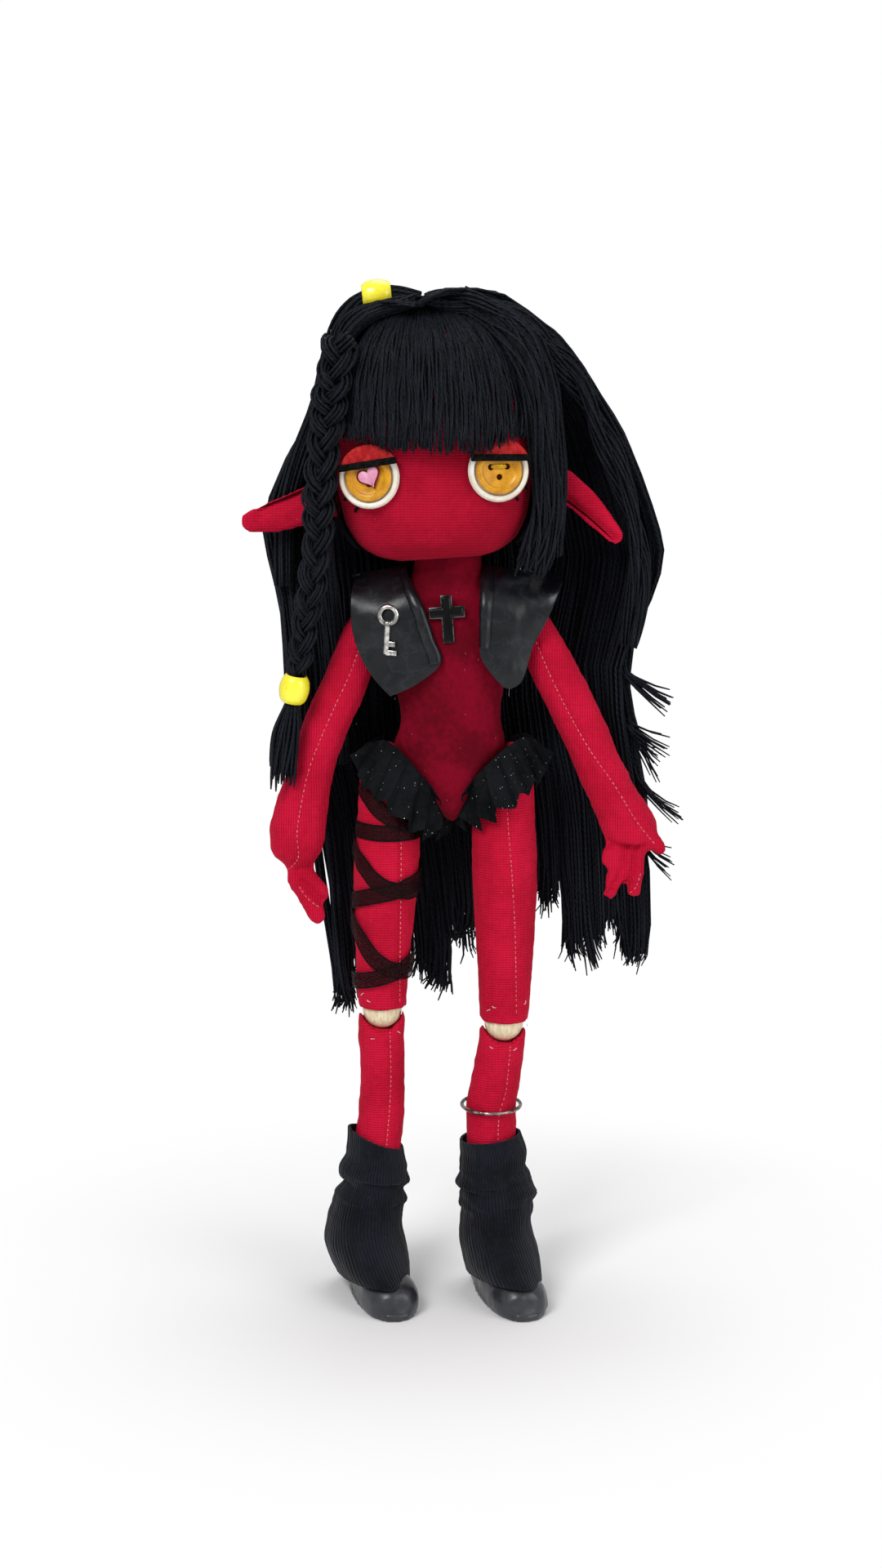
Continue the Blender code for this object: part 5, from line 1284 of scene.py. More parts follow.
@dataclass
class Limbs:
    """Arms, thighs and shins with their front seams.

    Attributes:
        stitch_pitch: From one seam stitch to the next.
        stitch_length: The length of a seam stitch.
        thread: The radius of the seam thread.
    """

    stitch_pitch: float = 0.0019
    stitch_length: float = 0.0010
    thread: float = 0.00020

    def build(self) -> None:
        """Builds every limb."""
        front = Vector((0, 1, 0))
        rows: dict[str, list[tuple[float, float]]] = {
            "arm_right": [
                (-31, 244), (-35.5, 232), (-42.5, 217), (-49.5, 200), (-52.5, 188), (-54.6, 175),
                (-54.3, 166), (-58.6, 160.2)
            ],
            "arm_left": [
                (31.5, 245), (37, 232), (44, 218), (51.5, 205), (60.6, 192), (68.6, 179), (75.6, 170.4)
            ],
            "thigh_right": [
                (-17.2, 200), (-17.0, 180), (-17.0, 160), (-17.3, 140), (-17.6, 122), (-17.7, 110)
            ],
            "thigh_left": [(20.5, 200), (21.8, 180), (23.4, 160), (24.6, 140), (25.2, 120), (25.4, 105.8)],
            "shin_right": [(-21.3, 101), (-21.0, 82), (-21.6, 70), (-22.7, 56)],
            "shin_left": [(23.4, 96.5), (21.8, 78), (19.2, 68), (18.8, 56)],
        }
        creases: dict[str, list[list[tuple[float, float]]]] = {
            "arm_right": [
                [(-53.8, 157.3), (-49.6, 153.8), (-45.4, 149.5)],
                [(-55.5, 160.0), (-53.5, 160.8), (-49.6, 162.2)],
            ],
            "arm_left": [
                [(64.3, 168.9), (64.0, 161.7), (61.8, 157.1), (57.8, 154.2)],
                [(68.1, 168.3), (67.5, 163.7), (65.6, 157.8), (63.3, 152.4)],
                [(58.4, 170.6), (64.3, 169.4), (71.3, 169.6)],
            ],
        }
        hands = {
            "arm_right": [(-54.6, 155.6), (-50.9, 150.6), (-46.0, 146.8)],
            "arm_left": [(70.6, 160.5), (68.6, 155.0), (66.0, 152.2)],
        }
        for number, (node, keys) in enumerate(rows.items()):
            body = node if node.startswith("shin") else "body"
            skin = ARM_JERSEY_PAINTED_LIGHT if node.startswith("arm") else JERSEY_PAINTED_LIGHT
            cell = 0.0013 if node.startswith("thigh") else 0.0015
            piece = Stuffed(node + "_cloth", (node,), body, skin, voxel=cell, give=0.0008)
            obj = piece.build()
            crumple(obj, 0.00035, 0.011, 20 + number, (1, 1, 0.6))
            places, ways = laid_on(obj, [at(x, -20, z) for x, z in keys], 60, front)
            groove(obj, places, 0.0005, 0.0009)
            for crease in creases.get(node, []):
                places, _ = laid_on(obj, [at(x, -20, z) for x, z in crease], 24, front)
                if len(places) > 3:
                    groove(obj, places, 0.0018, 0.0011)
            piece.dress(obj)
            stitch = (self.stitch_pitch, self.stitch_length, self.thread)
            if node in hands:
                places, ways = laid_on(obj, [at(x, -20, z) for x, z in hands[node]], 30, front)
                row = stitch_row(node + "_hand_seam", places, ways, *stitch, 30 + number)
                settle(row, node + "_hand_seam", body, SEAM_THREAD)
            tree_places, tree_ways = laid_on(obj, [at(x, -20, z) for x, z in keys], 60, front)
            row = stitch_row(node + "_seam", tree_places, tree_ways, *stitch, number)
            settle(row, node + "_seam", body, SEAM_THREAD)


@dataclass
class Trunk:
    """The velvet torso with its neck."""

    def build(self) -> None:
        """Builds the torso."""
        piece = Stuffed("torso_velvet", ("torso",), "body", VELVET, voxel=0.0020, give=0.0009)
        obj = piece.build()
        crumple(obj, 0.0005, 0.016, 5, (0.7, 1, 1.6))
        piece.dress(obj)


@dataclass
class HeadAndEars:
    """The round face and the two long folded ears.

    Attributes:
        chin: Height of the chin above the floor.
        offset: How far the head stands towards the doll's right of the spine.
        tilt: How far the crown leans to the doll's right, in degrees.
    """

    chin: float = 0.2735
    offset: float = -0.0033
    tilt: float = 3.0

    def frame(self) -> Matrix:
        """The head's own frame, with its origin at the chin."""
        lean = Matrix.Rotation(-math.radians(self.tilt), 4, "Y")
        return Matrix.Translation(SPINE + Vector((self.offset, 0, self.chin))) @ lean

    def build(self) -> None:
        """Builds the head, the ears, the grooved folds in them and a dark strip in each groove as painted
        shadow.
        """
        head = Stuffed("head_cloth", ("head",), "body", FACE_JERSEY_PAINTED_SHADE, voxel=0.0022, give=0.0008, fill=0.9)
        obj = head.build()
        crumple(obj, 0.0003, 0.022, 3)
        head.dress(obj)
        folds = {
            "ear_right": [(-36, -9, 303.5), (-46, -9, 300.5), (-57, -9, 296), (-67.5, -9, 291.8)],
            "ear_left": [(30, -9, 303), (39.5, -9, 296.7), (49.8, -9, 289.2), (59.6, -9, 280.5)],
        }
        for number, (node, keys) in enumerate(folds.items()):
            ear = Stuffed(node + "_cloth", (node,), "body", JERSEY_PAINTED_LIGHT, voxel=0.0012, give=0.0006, fill=0.6)
            obj = ear.build()
            places, _ = laid_on(obj, [at(*key) for key in keys], 40, Vector((0, 1, 0)))
            groove(obj, places, 0.0021, 0.0015)
            beneath, _ = laid_on(obj, [at(x, y, z - 3.0) for x, y, z in keys], 40, Vector((0, 1, 0)))
            if len(beneath) > 3:
                groove(obj, beneath, 0.0008, 0.0010)
            crumple(obj, 0.0002, 0.009, 11 + number)
            ear.dress(obj)
            # A dark strip along the groove: painted shadow in the fold.
            places, _ = laid_on(obj, [at(*key) for key in keys], 40, Vector((0, 1, 0)))
            share = np.linspace(0, 1, len(places))
            radii = np.interp(share, [0, 0.3, 0.8, 1], [0.5, 0.5, 0.35, 0.12]) * 0.001
            fold = yarn_mesh(node + "_fold", np.asarray([[tuple(q) for q in places]]), radii[None, :], 8)
            settle(fold, node + "_fold", "body", PAINTED_CREASE_SHADOW)


@dataclass
class Eye:
    """One eye: a dished white button, a three-hole amber button, a felt lid and a lash bar.

    Attributes:
        side: -1 for the doll's right eye and 1 for its left.
        head: The head's own frame.
        turn: How far each eye faces outwards, in degrees.
        radius: The white button's radius.
        iris: The amber button's radius.
        droop: How far the lid's edge drops towards the ear, in degrees.
    """

    side: int
    head: Matrix
    turn: float = 13.0
    radius: float = 0.0110
    iris: float = 0.0083
    droop: float = 5.5

    @property
    def label(self) -> str:
        """The doll's own side."""
        return "left" if self.side > 0 else "right"

    def place(self) -> Matrix:
        """The eye's frame: its Z points out of the face."""
        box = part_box(f"eye_button_{self.label}")
        middle = (Vector(box[0]) + Vector(box[1])) / 2
        turn = self.head @ Matrix.Rotation(self.side * math.radians(self.turn), 4, "Z")
        turn = turn @ Matrix.Rotation(math.pi / 2, 4, "X")
        turn.translation = middle - (turn.to_3x3() @ Vector((0, 0, 0.0015)))
        return turn

    def build(self) -> None:
        """Builds the whole eye."""
        place_on = self.place()
        self.white(place_on)
        self.amber(place_on)
        droop = self.droop if self.side < 0 else self.droop * 0.45
        lean = place_on @ Matrix.Rotation(-self.side * math.radians(droop), 4, "Z")
        lean = lean @ Matrix.Translation((0.0008 if self.side < 0 else 0.0, 0, 0))
        self.lid(lean)
        self.lash(lean)
        self.lower_lashes()
        if self.side > 0:
            self.thread(place_on)
        else:
            self.heart(place_on)

    def white(self, place_on: Matrix) -> None:
        """The white button with a rounded rim round a shallow dish."""
        r, i = self.radius, self.iris
        profile = [
            (0.0, 0.0014), (i + 0.0002, 0.0014), (i + 0.0006, 0.0029), (r - 0.0008, 0.0031), (r, 0.0016)
        ]
        profile += [(r - 0.0014, 0.0), (0.0, 0.0)]
        button = turned(f"eye_white_{self.label}", rounded_profile(profile, 0.0005), 72, place_on)
        settle(button, f"eye_white_{self.label}", "body", IVORY, (f"eye_button_{self.label}",))

    def amber(self, place_on: Matrix) -> None:
        """The amber button: a raised rim, a hollow middle and three holes right through, over a dark brown
        disc that is partly thread and partly painted shade in the holes.
        """
        i = self.iris
        profile = [(0.0, 0.0029), (0.66 * i, 0.0030), (0.77 * i, 0.0037), (0.93 * i, 0.0037), (i, 0.0030)]
        profile += [(i - 0.0003, 0.0017), (0.0, 0.0017)]
        name = f"iris_{self.label}"
        button = turned(name, rounded_profile(profile, 0.0006), 72, place_on)
        for x, y in ((0.0029, 0.0013), (-0.0029, 0.0013), (0.0, -0.0022)):
            spot = place_on @ Matrix.Translation((x, y, 0.003))
            only(button)
            bpy.ops.object.select_all(action="DESELECT")
            bpy.ops.mesh.primitive_cylinder_add(vertices=28, radius=0.00108, depth=0.008)
            drill = bpy.context.object
            place(drill, spot)
            modify(button, "BOOLEAN", operation="DIFFERENCE", solver="EXACT", object=drill)
            bpy.data.objects.remove(drill, do_unlink=True)
        smooth(button, 35)
        settle(button, name, "body", AMBER, (f"iris_button_{self.label}",))
        # A dark brown disc under the holes: partly the thread behind them, partly painted shade in them.
        thread_and_hole_shade_disc = turned(
            f"knot_{self.label}", [(0.0, 0.00165), (0.0046, 0.00165), (0.0046, 0.0012), (0.0, 0.0012)], 32,
            place_on
        )
        settle(thread_and_hole_shade_disc, f"knot_{self.label}", "body", THREAD_AND_HOLE_SHADE)

    def lid(self, lean: Matrix) -> None:
        """The felt lid: a half disc whose lower edge is cut straight."""
        bpy.ops.object.select_all(action="DESELECT")
        bpy.ops.mesh.primitive_circle_add(vertices=64, radius=self.radius + 0.0003, fill_type="NGON")
        lid = bpy.context.object
        edit(
            lid,
            lambda: bpy.ops.mesh.bisect(
                plane_co=(0, 0.0044, 0), plane_no=(0, 1, 0), use_fill=True, clear_inner=True
            ),
            lambda: bpy.ops.mesh.select_all(action="SELECT"),
            lambda: bpy.ops.mesh.extrude_region_move(TRANSFORM_OT_translate={"value": (0, 0, 0.0010)}),
            lambda: bpy.ops.mesh.select_all(action="SELECT"),
            outward,
        )
        modify(lid, "BEVEL", width=0.0003, segments=2, limit_method="ANGLE")
        modify(lid, "REMESH", mode="VOXEL", voxel_size=0.00032, use_smooth_shade=True)
        crumple(lid, 0.00008, 0.0016, 41 + self.side)
        place(smooth(lid), lean @ Matrix.Translation((0, 0, 0.0038)))
        settle(lid, f"lid_{self.label}", "body", LID_FELT, (f"eyelid_{self.label}",))

    def lash(self, lean: Matrix) -> None:
        """The black felt bar along the lid's edge."""
        bpy.ops.object.select_all(action="DESELECT")
        bpy.ops.mesh.primitive_cube_add(size=1.0)
        bar = bpy.context.object
        place(bar, Matrix.Diagonal((0.0213, 0.0024, 0.0011, 1)))
        modify(bar, "BEVEL", width=0.0004, segments=2)
        modify(bar, "REMESH", mode="VOXEL", voxel_size=0.00030, use_smooth_shade=True)
        crumple(bar, 0.00012, 0.0022, 47 + self.side)
        place(smooth(bar), lean @ Matrix.Translation((0, 0.0044, 0.0055)))
        settle(bar, f"lash_{self.label}", "body", LASH_FELT, (f"lash_bar_{self.label}",))

    def lower_lashes(self) -> None:
        """Two short black stitches under the outer half of the button."""
        tree = surface_of(bpy.data.objects["head_cloth"])
        spots = {
            -1: [((-34.7, 296.1), (-36.2, 294.9)), ((-31.1, 292.6), (-32.3, 291.0))],
            1: [((26.2, 299.8), (27.6, 298.9)), ((23.2, 296.5), (24.3, 295.0))],
        }
        strands = []
        for (x0, z0), (x1, z1) in spots[self.side]:
            keys = []
            for t in np.linspace(0, 1, 6):
                start = at(x0 + (x1 - x0) * t, -60, z0 + (z1 - z0) * t)
                hit, normal, _, _ = tree.ray_cast(start, Vector((0, 1, 0)), 0.2)
                if hit is None:
                    hit, normal, _, _ = tree.find_nearest(start + Vector((0, 0.035, 0)))
                keys.append(hit + normal * (0.0003 + 0.0003 * math.sin(math.pi * t)))
            strands.append([tuple(k) for k in keys])
        row = yarn_mesh(f"lower_lashes_{self.label}", np.asarray(strands), np.full((2, 6), 0.00055), 6)
        settle(row, f"lower_lashes_{self.label}", "body", LASH_FELT)

    def thread(self, place_on: Matrix) -> None:
        """Two turns of amber thread between the upper holes."""
        reach, up = 0.0024, 0.0014
        strands = []
        for off in (-0.00022, 0.00026):
            keys = [(-reach, up + off, 0.0018), (-reach, up + off, 0.0028), (-0.7 * reach, up + off, 0.0035)]
            keys += [(0, up + off * 1.4, 0.0036), (0.7 * reach, up + off, 0.0035), (reach, up + off, 0.0028)]
            keys += [(reach, up + off, 0.0018)]
            strands.append([tuple(place_on @ Vector(k)) for k in curve_through(keys, 24)])
        row = yarn_mesh("eye_thread_left", np.asarray(strands), np.full((2, 24), 0.00034), 7)
        settle(row, "eye_thread_left", "body", AMBER_THREAD, ("iris_thread_left",))

    def heart(self, place_on: Matrix) -> None:
        """A plain pink heart with a dark red edge, stuck on the amber button."""
        spot = place_on @ Matrix.Translation((0.0006, 0.0003, 0.0))
        spot = spot @ Matrix.Rotation(math.radians(24), 4, "Z")
        for name, size, low, thick, finish in (
            ("heart_edge", 0.0088, 0.0036, 0.0004, RED_OUTLINE),
            ("heart_face", 0.0074, 0.0039, 0.0005, PINK),
        ):
            outline = []
            for k in range(56):
                a = 2 * math.pi * k / 56
                x = 16 * math.sin(a) ** 3
                y = 13 * math.cos(a) - 5 * math.cos(2 * a) - 2 * math.cos(3 * a) - math.cos(4 * a)
                outline.append((x * size / 32, y * size / 32, low))
            heart = linked(name, outline, [], [tuple(range(len(outline)))])
            edit(
                heart,
                lambda: bpy.ops.mesh.extrude_region_move(TRANSFORM_OT_translate={"value": (0, 0, thick)}),
                lambda: bpy.ops.mesh.inset(thickness=0.0003),
                lambda: bpy.ops.transform.translate(value=(0, 0, 0.00018)),
                lambda: bpy.ops.mesh.select_all(action="SELECT"),
                outward,
            )
            place(smooth(heart, 50), spot)
            replaced = ("heart_patch_right",) if finish is PINK else ()
            settle(heart, name, "body", finish, replaced)


# Clothes


@dataclass
class Vest:
    """The cropped leather vest: two fronts with folded lapels, and a back.

    Attributes:
        shoulder: Height of the shoulder seam above the floor, in millimetres.
        chest: How far the leather stands in front of the spine, in millimetres.
        thickness: The leather's thickness, in metres.
        flare: How far the shoulder tip stands off the arm, in millimetres.
    """

    shoulder: float = 271.5
    chest: float = 15.6
    thickness: float = 0.0009
    flare: float = 2.0

    def depth(self, x: float, z: float) -> float:
        """How far in front of the spine the leather hangs, in millimetres."""
        seam = self.shoulder - 0.20 * max(abs(x) - 15, 0)
        roll = min(max(seam - z, 0.0) / 16.0, 1.0)
        return (self.chest - 0.0042 * x * x) * math.sin(roll * math.pi / 2) ** 0.8

    def panel(
        self,
        name: str,
        node: str,
        rows: Sequence[tuple[float, float, float, float]],
        seed: int,
        lapel: tuple[float, float],
    ) -> None:
        """One front, ruled between its neck edge and its armhole edge.

        Args:
            name: The piece's name.
            node: The CAD node that it stands for.
            rows: x and z of the inner and the outer edge, from the shoulder down, in millimetres.
            seed: Chooses the creases.
            lapel: How wide the folded lapel is and how far down it reaches, as shares of the panel.
        """
        edges = curve_through(rows, 64)
        grid: list[Path] = []
        for r, (ix, iz, ox, oz) in enumerate(edges):
            down = r / (len(edges) - 1)
            row = []
            for t in np.linspace(0, 1, 44):
                x, z = ix + (ox - ix) * t, iz + (oz - iz) * t
                y = -self.depth(x, z) - 0.4
                near_tip = math.exp(-(((down - 0.24) / 0.17) ** 2))
                flare = self.flare * (max(t - 0.60, 0) / 0.40) ** 1.5 * near_tip
                sag = 0.9 * math.sin(math.pi * t) * math.sin(math.pi * down)
                row.append(at(x, y - sag - flare, z + 0.5 * flare))
            grid.append(row)
        sheet = grid_piece(name, grid)
        crumple(sheet, 0.00055, 0.021, seed, (1.5, 1, 0.7))
        crumple(sheet, 0.00016, 0.0075, seed + 9, (0.6, 1, 1.6))
        modify(sheet, "SOLIDIFY", thickness=self.thickness, offset=0.0, use_even_offset=False)
        modify(sheet, "BEVEL", width=0.00025, segments=2, limit_method="ANGLE", angle_limit=math.radians(50))
        settle(smooth(sheet, 60), name, "body", LEATHER, (node,))
        self.lapel(name + "_lapel", edges, *lapel, seed)

    def lapel(self, name: str, edges: np.ndarray, share: float, reach: float, seed: int) -> None:
        """The strip along the neck edge that is folded back over the front."""
        grid: list[Path] = []
        chosen = edges[1 : int(len(edges) * reach)]
        for r, (ix, iz, ox, oz) in enumerate(chosen):
            wide = share * (0.7 + 0.3 * r / len(chosen))
            row = []
            for k in range(12):
                fold = k / 11
                t = wide * math.sin(fold * math.pi / 2) ** 1.1
                x, z = ix + (ox - ix) * t, iz + (oz - iz) * t
                lift = 1.3 * math.sin(math.pi * fold**0.55) + 0.55 + 0.4 * fold
                row.append(at(x, -self.depth(x, z) - 0.4 - lift, z))
            grid.append(row)
        strip = grid_piece(name, grid)
        crumple(strip, 0.0003, 0.008, seed + 3, (1, 1, 0.5))
        modify(strip, "SOLIDIFY", thickness=self.thickness, offset=0.0, use_even_offset=False)
        modify(strip, "BEVEL", width=0.00025, segments=2, limit_method="ANGLE", angle_limit=math.radians(50))
        settle(smooth(strip, 60), name, "body", LEATHER)

    def back(self) -> None:
        """The back of the vest."""
        grid: list[Path] = []
        for share in np.linspace(0, 1, 40):
            z = self.shoulder - 1.0 - 35.5 * share
            row = []
            for x in np.linspace(-34.5, 39.5, 60) * (1 - 0.22 * share):
                seam = self.shoulder - 0.20 * max(abs(x) - 15, 0)
                low = min(z, seam - 0.3)
                row.append(at(x, self.depth(x, low) + 0.9, low))
            grid.append(row)
        sheet = grid_piece("vest_back_leather", grid)
        crumple(sheet, 0.0005, 0.014, 77, (1.2, 1, 0.8))
        modify(sheet, "SOLIDIFY", thickness=self.thickness, offset=0.0, use_even_offset=False)
        settle(smooth(sheet, 60), "vest_back_leather", "body", LEATHER, ("vest_back",))

    def build(self) -> None:
        """Builds both fronts and the back."""
        right = [(-15.0, 271.0, -31.5, 268.0), (-14.8, 269.0, -34.0, 263.5), (-12.0, 263.0, -34.6, 256.0)]
        right += [(-8.6, 256.0, -34.0, 248.0), (-5.5, 247.0, -31.2, 239.0), (-2.6, 237.0, -26.2, 231.0)]
        right += [(-12.5, 228.5, -20.5, 225.0)]
        left = [(13.0, 271.5, 34.0, 268.5), (12.2, 268.0, 41.0, 265.0), (11.8, 262.0, 39.5, 259.0)]
        left += [(11.6, 255.0, 34.5, 249.5), (11.6, 247.0, 30.6, 243.0), (11.8, 239.5, 28.2, 235.0)]
        left += [(15.4, 233.4, 26.0, 229.8), (20.0, 228.2, 22.5, 227.6)]
        self.panel("vest_right_leather", "vest_front_right", right, 31, (0.16, 0.84))
        self.flare = 4.5
        self.panel("vest_left_leather", "vest_front_left", left, 35, (0.19, 0.66))
        self.back()


@dataclass
class Ruffle:
    """A pleated band of glitter tulle round a leg opening.

    Attributes:
        side: -1 for the right leg and 1 for the left.
        upper: x and z of its gathered edge from the hip to the crotch, in millimetres.
        lower: x and z of its loose edge, likewise.
        pleats: How many pleats go round.
        girth: How far it stands before and behind the middle of the leg, in millimetres.
    """

    side: int
    upper: Sequence[tuple[float, float]]
    lower: Sequence[tuple[float, float]]
    pleats: int = 15
    girth: float = 11.5

    def depth(self, x: float, z: float, way: int) -> float:
        """How far the doll's body reaches to the front (-1) or the back (1) at a place, in millimetres."""
        label = "left" if self.side > 0 else "right"
        best = 0.0
        for name in ("torso_velvet", f"thigh_{label}_cloth"):
            if name not in self.surfaces:
                self.surfaces[name] = surface_of(bpy.data.objects[name])
            tree = self.surfaces[name]
            hit, _, _, _ = tree.ray_cast(at(x, 80 * way, z), Vector((0, -way, 0)), 0.2)
            if hit is not None:
                best = max(best, way * (hit.y - SPINE.y) * 1000)
        return best

    def build(self) -> None:
        """Builds the band from its gathered edge to its loose edge."""
        self.surfaces: dict[str, BVHTree] = {}
        label = "left" if self.side > 0 else "right"
        dice = np.random.default_rng(60 + self.side)
        phase = dice.uniform(-0.5, 0.5, self.pleats + 1)
        around = self.pleats * 20
        upper, lower = curve_through(self.upper, 101), curve_through(self.lower, 101)
        grid: list[Path] = []
        for down in np.linspace(0, 1, 16):
            row = []
            for k in range(around):
                a = 2 * math.pi * k / around - math.pi
                share = int(abs(a) / math.pi * 100)
                x, z = upper[share] + (lower[share] - upper[share]) * down
                way, s = (-1 if a < 0 else 1), abs(math.sin(a))
                blend = min(s / 0.4, 1.0)
                y = blend * max(self.depth(x, z, way) + 0.6, self.girth * s) + (1 - blend) * self.girth * s
                u = self.pleats * (a + math.pi) / (2 * math.pi)
                this, after = phase[int(u) % self.pleats], phase[(int(u) + 1) % self.pleats]
                uneven = this * (1 - u % 1) + after * (u % 1)
                step = (u + 0.25 * uneven) % 1.0
                tread = (1 - step) * min(step / 0.10, 1.0)
                pleat = (0.5 + 3.0 * down**0.7) * (tread - 0.45) * (1 + 0.35 * uneven)
                out = 0.8 + 3.2 * down**0.9 + pleat
                x += self.side * out * math.cos(a)
                row.append(at(x, way * (y + out * s), z + 1.7 * pleat * down + 1.4 * uneven * down))
            grid.append(row)
        band = grid_piece(f"leg_frill_{label}", grid, around=True)
        crumple(band, 0.0004, 0.005, 65 + self.side)
        modify(band, "SOLIDIFY", thickness=0.0004, offset=0.0, use_even_offset=False)
        settle(smooth(band, 60), f"leg_frill_{label}", "body", TULLE, (f"leg_ruffle_{label}",))


@dataclass
class ThighRibbon:
    """The sheer ribbon that is wound in a criss-cross down the right thigh."""

    width: float = 6.0

    def build(self) -> None:
        """Lays each turn of the ribbon on the leg."""
        leg = surface_of(bpy.data.objects["thigh_right_cloth"])
        runs = {
            "thigh_ribbon_band": [
                (-200, 175.6), (-142, 175.0), (-90, 174.6), (-30, 174.8), (60, 175.5), (150, 176)
            ],
            "thigh_ribbon_top": [
                (-160, 192.0), (-130, 188.0), (-92, 181.5), (-50, 178.0), (0, 175.5), (40, 174.5)
            ],
            "thigh_ribbon_over": [
                (-190, 172.0), (-145, 164.6), (-102, 155.8), (-55, 153.0), (0, 153.5), (70, 156)
            ],
            "thigh_ribbon_under": [
                (-210, 146.0), (-160, 148.8), (-120, 151.2), (-80, 153.0), (-30, 156.0), (40, 160)
            ],
            "thigh_ribbon_fall": [
                (-190, 146.0), (-152, 138.0), (-115, 128.0), (-75, 123.4), (-30, 122.6), (50, 124)
            ],
            "thigh_ribbon_low": [
                (-215, 117.5), (-160, 118.6), (-110, 120.6), (-60, 123.4), (-20, 126.5), (50, 132)
            ],
        }
        for number, (name, keys) in enumerate(runs.items()):
            middle = [self.spot(leg, angle, height) for angle, height in curve_through(keys, 100)]
            grid: list[Path] = []
            for k, (point, normal) in enumerate(middle):
                run = middle[min(k + 1, len(middle) - 1)][0] - middle[max(k - 1, 0)][0]
                across = normal.cross(run).normalized()
                row = []
                for step in np.linspace(-0.5, 0.5, 9):
                    aim = point + across * step * self.width * 0.001
                    hit, way, _, _ = leg.find_nearest(aim)
                    row.append(hit + way * (0.00045 + 0.00022 * number))
                grid.append(row)
            strip = grid_piece(name, grid)
            crumple(strip, 0.00012, 0.007, 90 + number)
            modify(strip, "SOLIDIFY", thickness=0.00014, offset=0.0)
            replaced = {0: ("thigh_ribbon_inner",), 2: ("thigh_ribbon_outer",)}.get(number, ())
            settle(smooth(strip, 60), name, "body", ORGANZA, replaced)

    def spot(self, leg: BVHTree, angle: float, height: float) -> tuple[Vector, Vector]:
        """A point on the leg and the surface's normal there.

        Args:
            leg: The leg's surface.
            angle: Where round the leg, with -90 in front, in degrees.
            height: Height above the floor in millimetres.

        Returns:
            The point and the normal.
        """
        way = Vector((math.cos(math.radians(angle)), math.sin(math.radians(angle)), 0))
        axis = at(-22.3, 0, height)
        hit, normal, _, _ = leg.ray_cast(axis + way * 0.04, -way, 0.06)
        return (hit, normal) if hit is not None else (axis + way * 0.012, way)


@dataclass
class Knee:
    """A turned wooden bead on its elastic."""

    side: int

    def build(self) -> None:
        """Builds the bead, and gives the elastic its finish."""
        label = "left" if self.side > 0 else "right"
        low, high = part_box(f"knee_bead_{label}")
        middle = (Vector(low) + Vector(high)) / 2
        r, bore = 0.0073, 0.0014
        start = math.asin(bore / r)
        arc = [start + (math.pi - 2 * start) * k / 28 for k in range(29)]
        profile = [(r * math.sin(a), r * math.cos(a)) for a in arc]
        bead = turned(f"knee_ball_{label}", profile, 56, Matrix.Translation(middle))
        settle(smooth(bead, 40), f"knee_ball_{label}", "body", WOOD, (f"knee_bead_{label}",))
        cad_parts[f"knee_elastic_{label}"].material_slots[0].material = ELASTIC.material()


@dataclass
class KneeStitches:
    """Single hand stitches near the ends of the thighs and the shins.

    Attributes:
        length: A stitch's length, in millimetres.
        thread: Its thread's radius, in metres.
    """

    length: float = 1.4
    thread: float = 0.00022

    def build(self) -> None:
        """Lays the stitches."""
        rows = {
            "thigh_right": ("body", [(-31.4, 113.6, 0.9), (-29.0, 111.4, -0.4)]),
            "thigh_left": ("body", [(15.2, 107.8, 0.5), (17.2, 109.2, -0.3), (28.6, 110.4, 1.2)]),
            "shin_right": ("shin_right", [(-18.1, 99.0, -0.9), (-27.6, 97.2, 0.1)]),
            "shin_left": ("shin_left", [(16.3, 93.7, -0.5), (24.9, 92.9, 0.5)]),
        }
        for node, (body, spots) in rows.items():
            tree = surface_of(bpy.data.objects[f"{node}_cloth"])
            strands = []
            for x0, z0, lean in spots:
                points = []
                for t in np.linspace(-0.5, 0.5, 6):
                    x, z = x0 + self.length * t * math.cos(lean), z0 + self.length * t * math.sin(lean)
                    hit, normal, _, _ = tree.ray_cast(at(x, -40, z), Vector((0, 1, 0)), 0.1)
                    if hit is None:
                        hit, normal, _, _ = tree.find_nearest(at(x, -6, z))
                    points.append(tuple(hit + normal * 0.0003 * (0.3 + math.cos(math.pi * t))))
                strands.append(points)
            row = yarn_mesh(
                node + "_knee_stitches", np.asarray(strands), np.full((len(strands), 6), self.thread), 6
            )
            settle(row, node + "_knee_stitches", body, WHITE_THREAD)


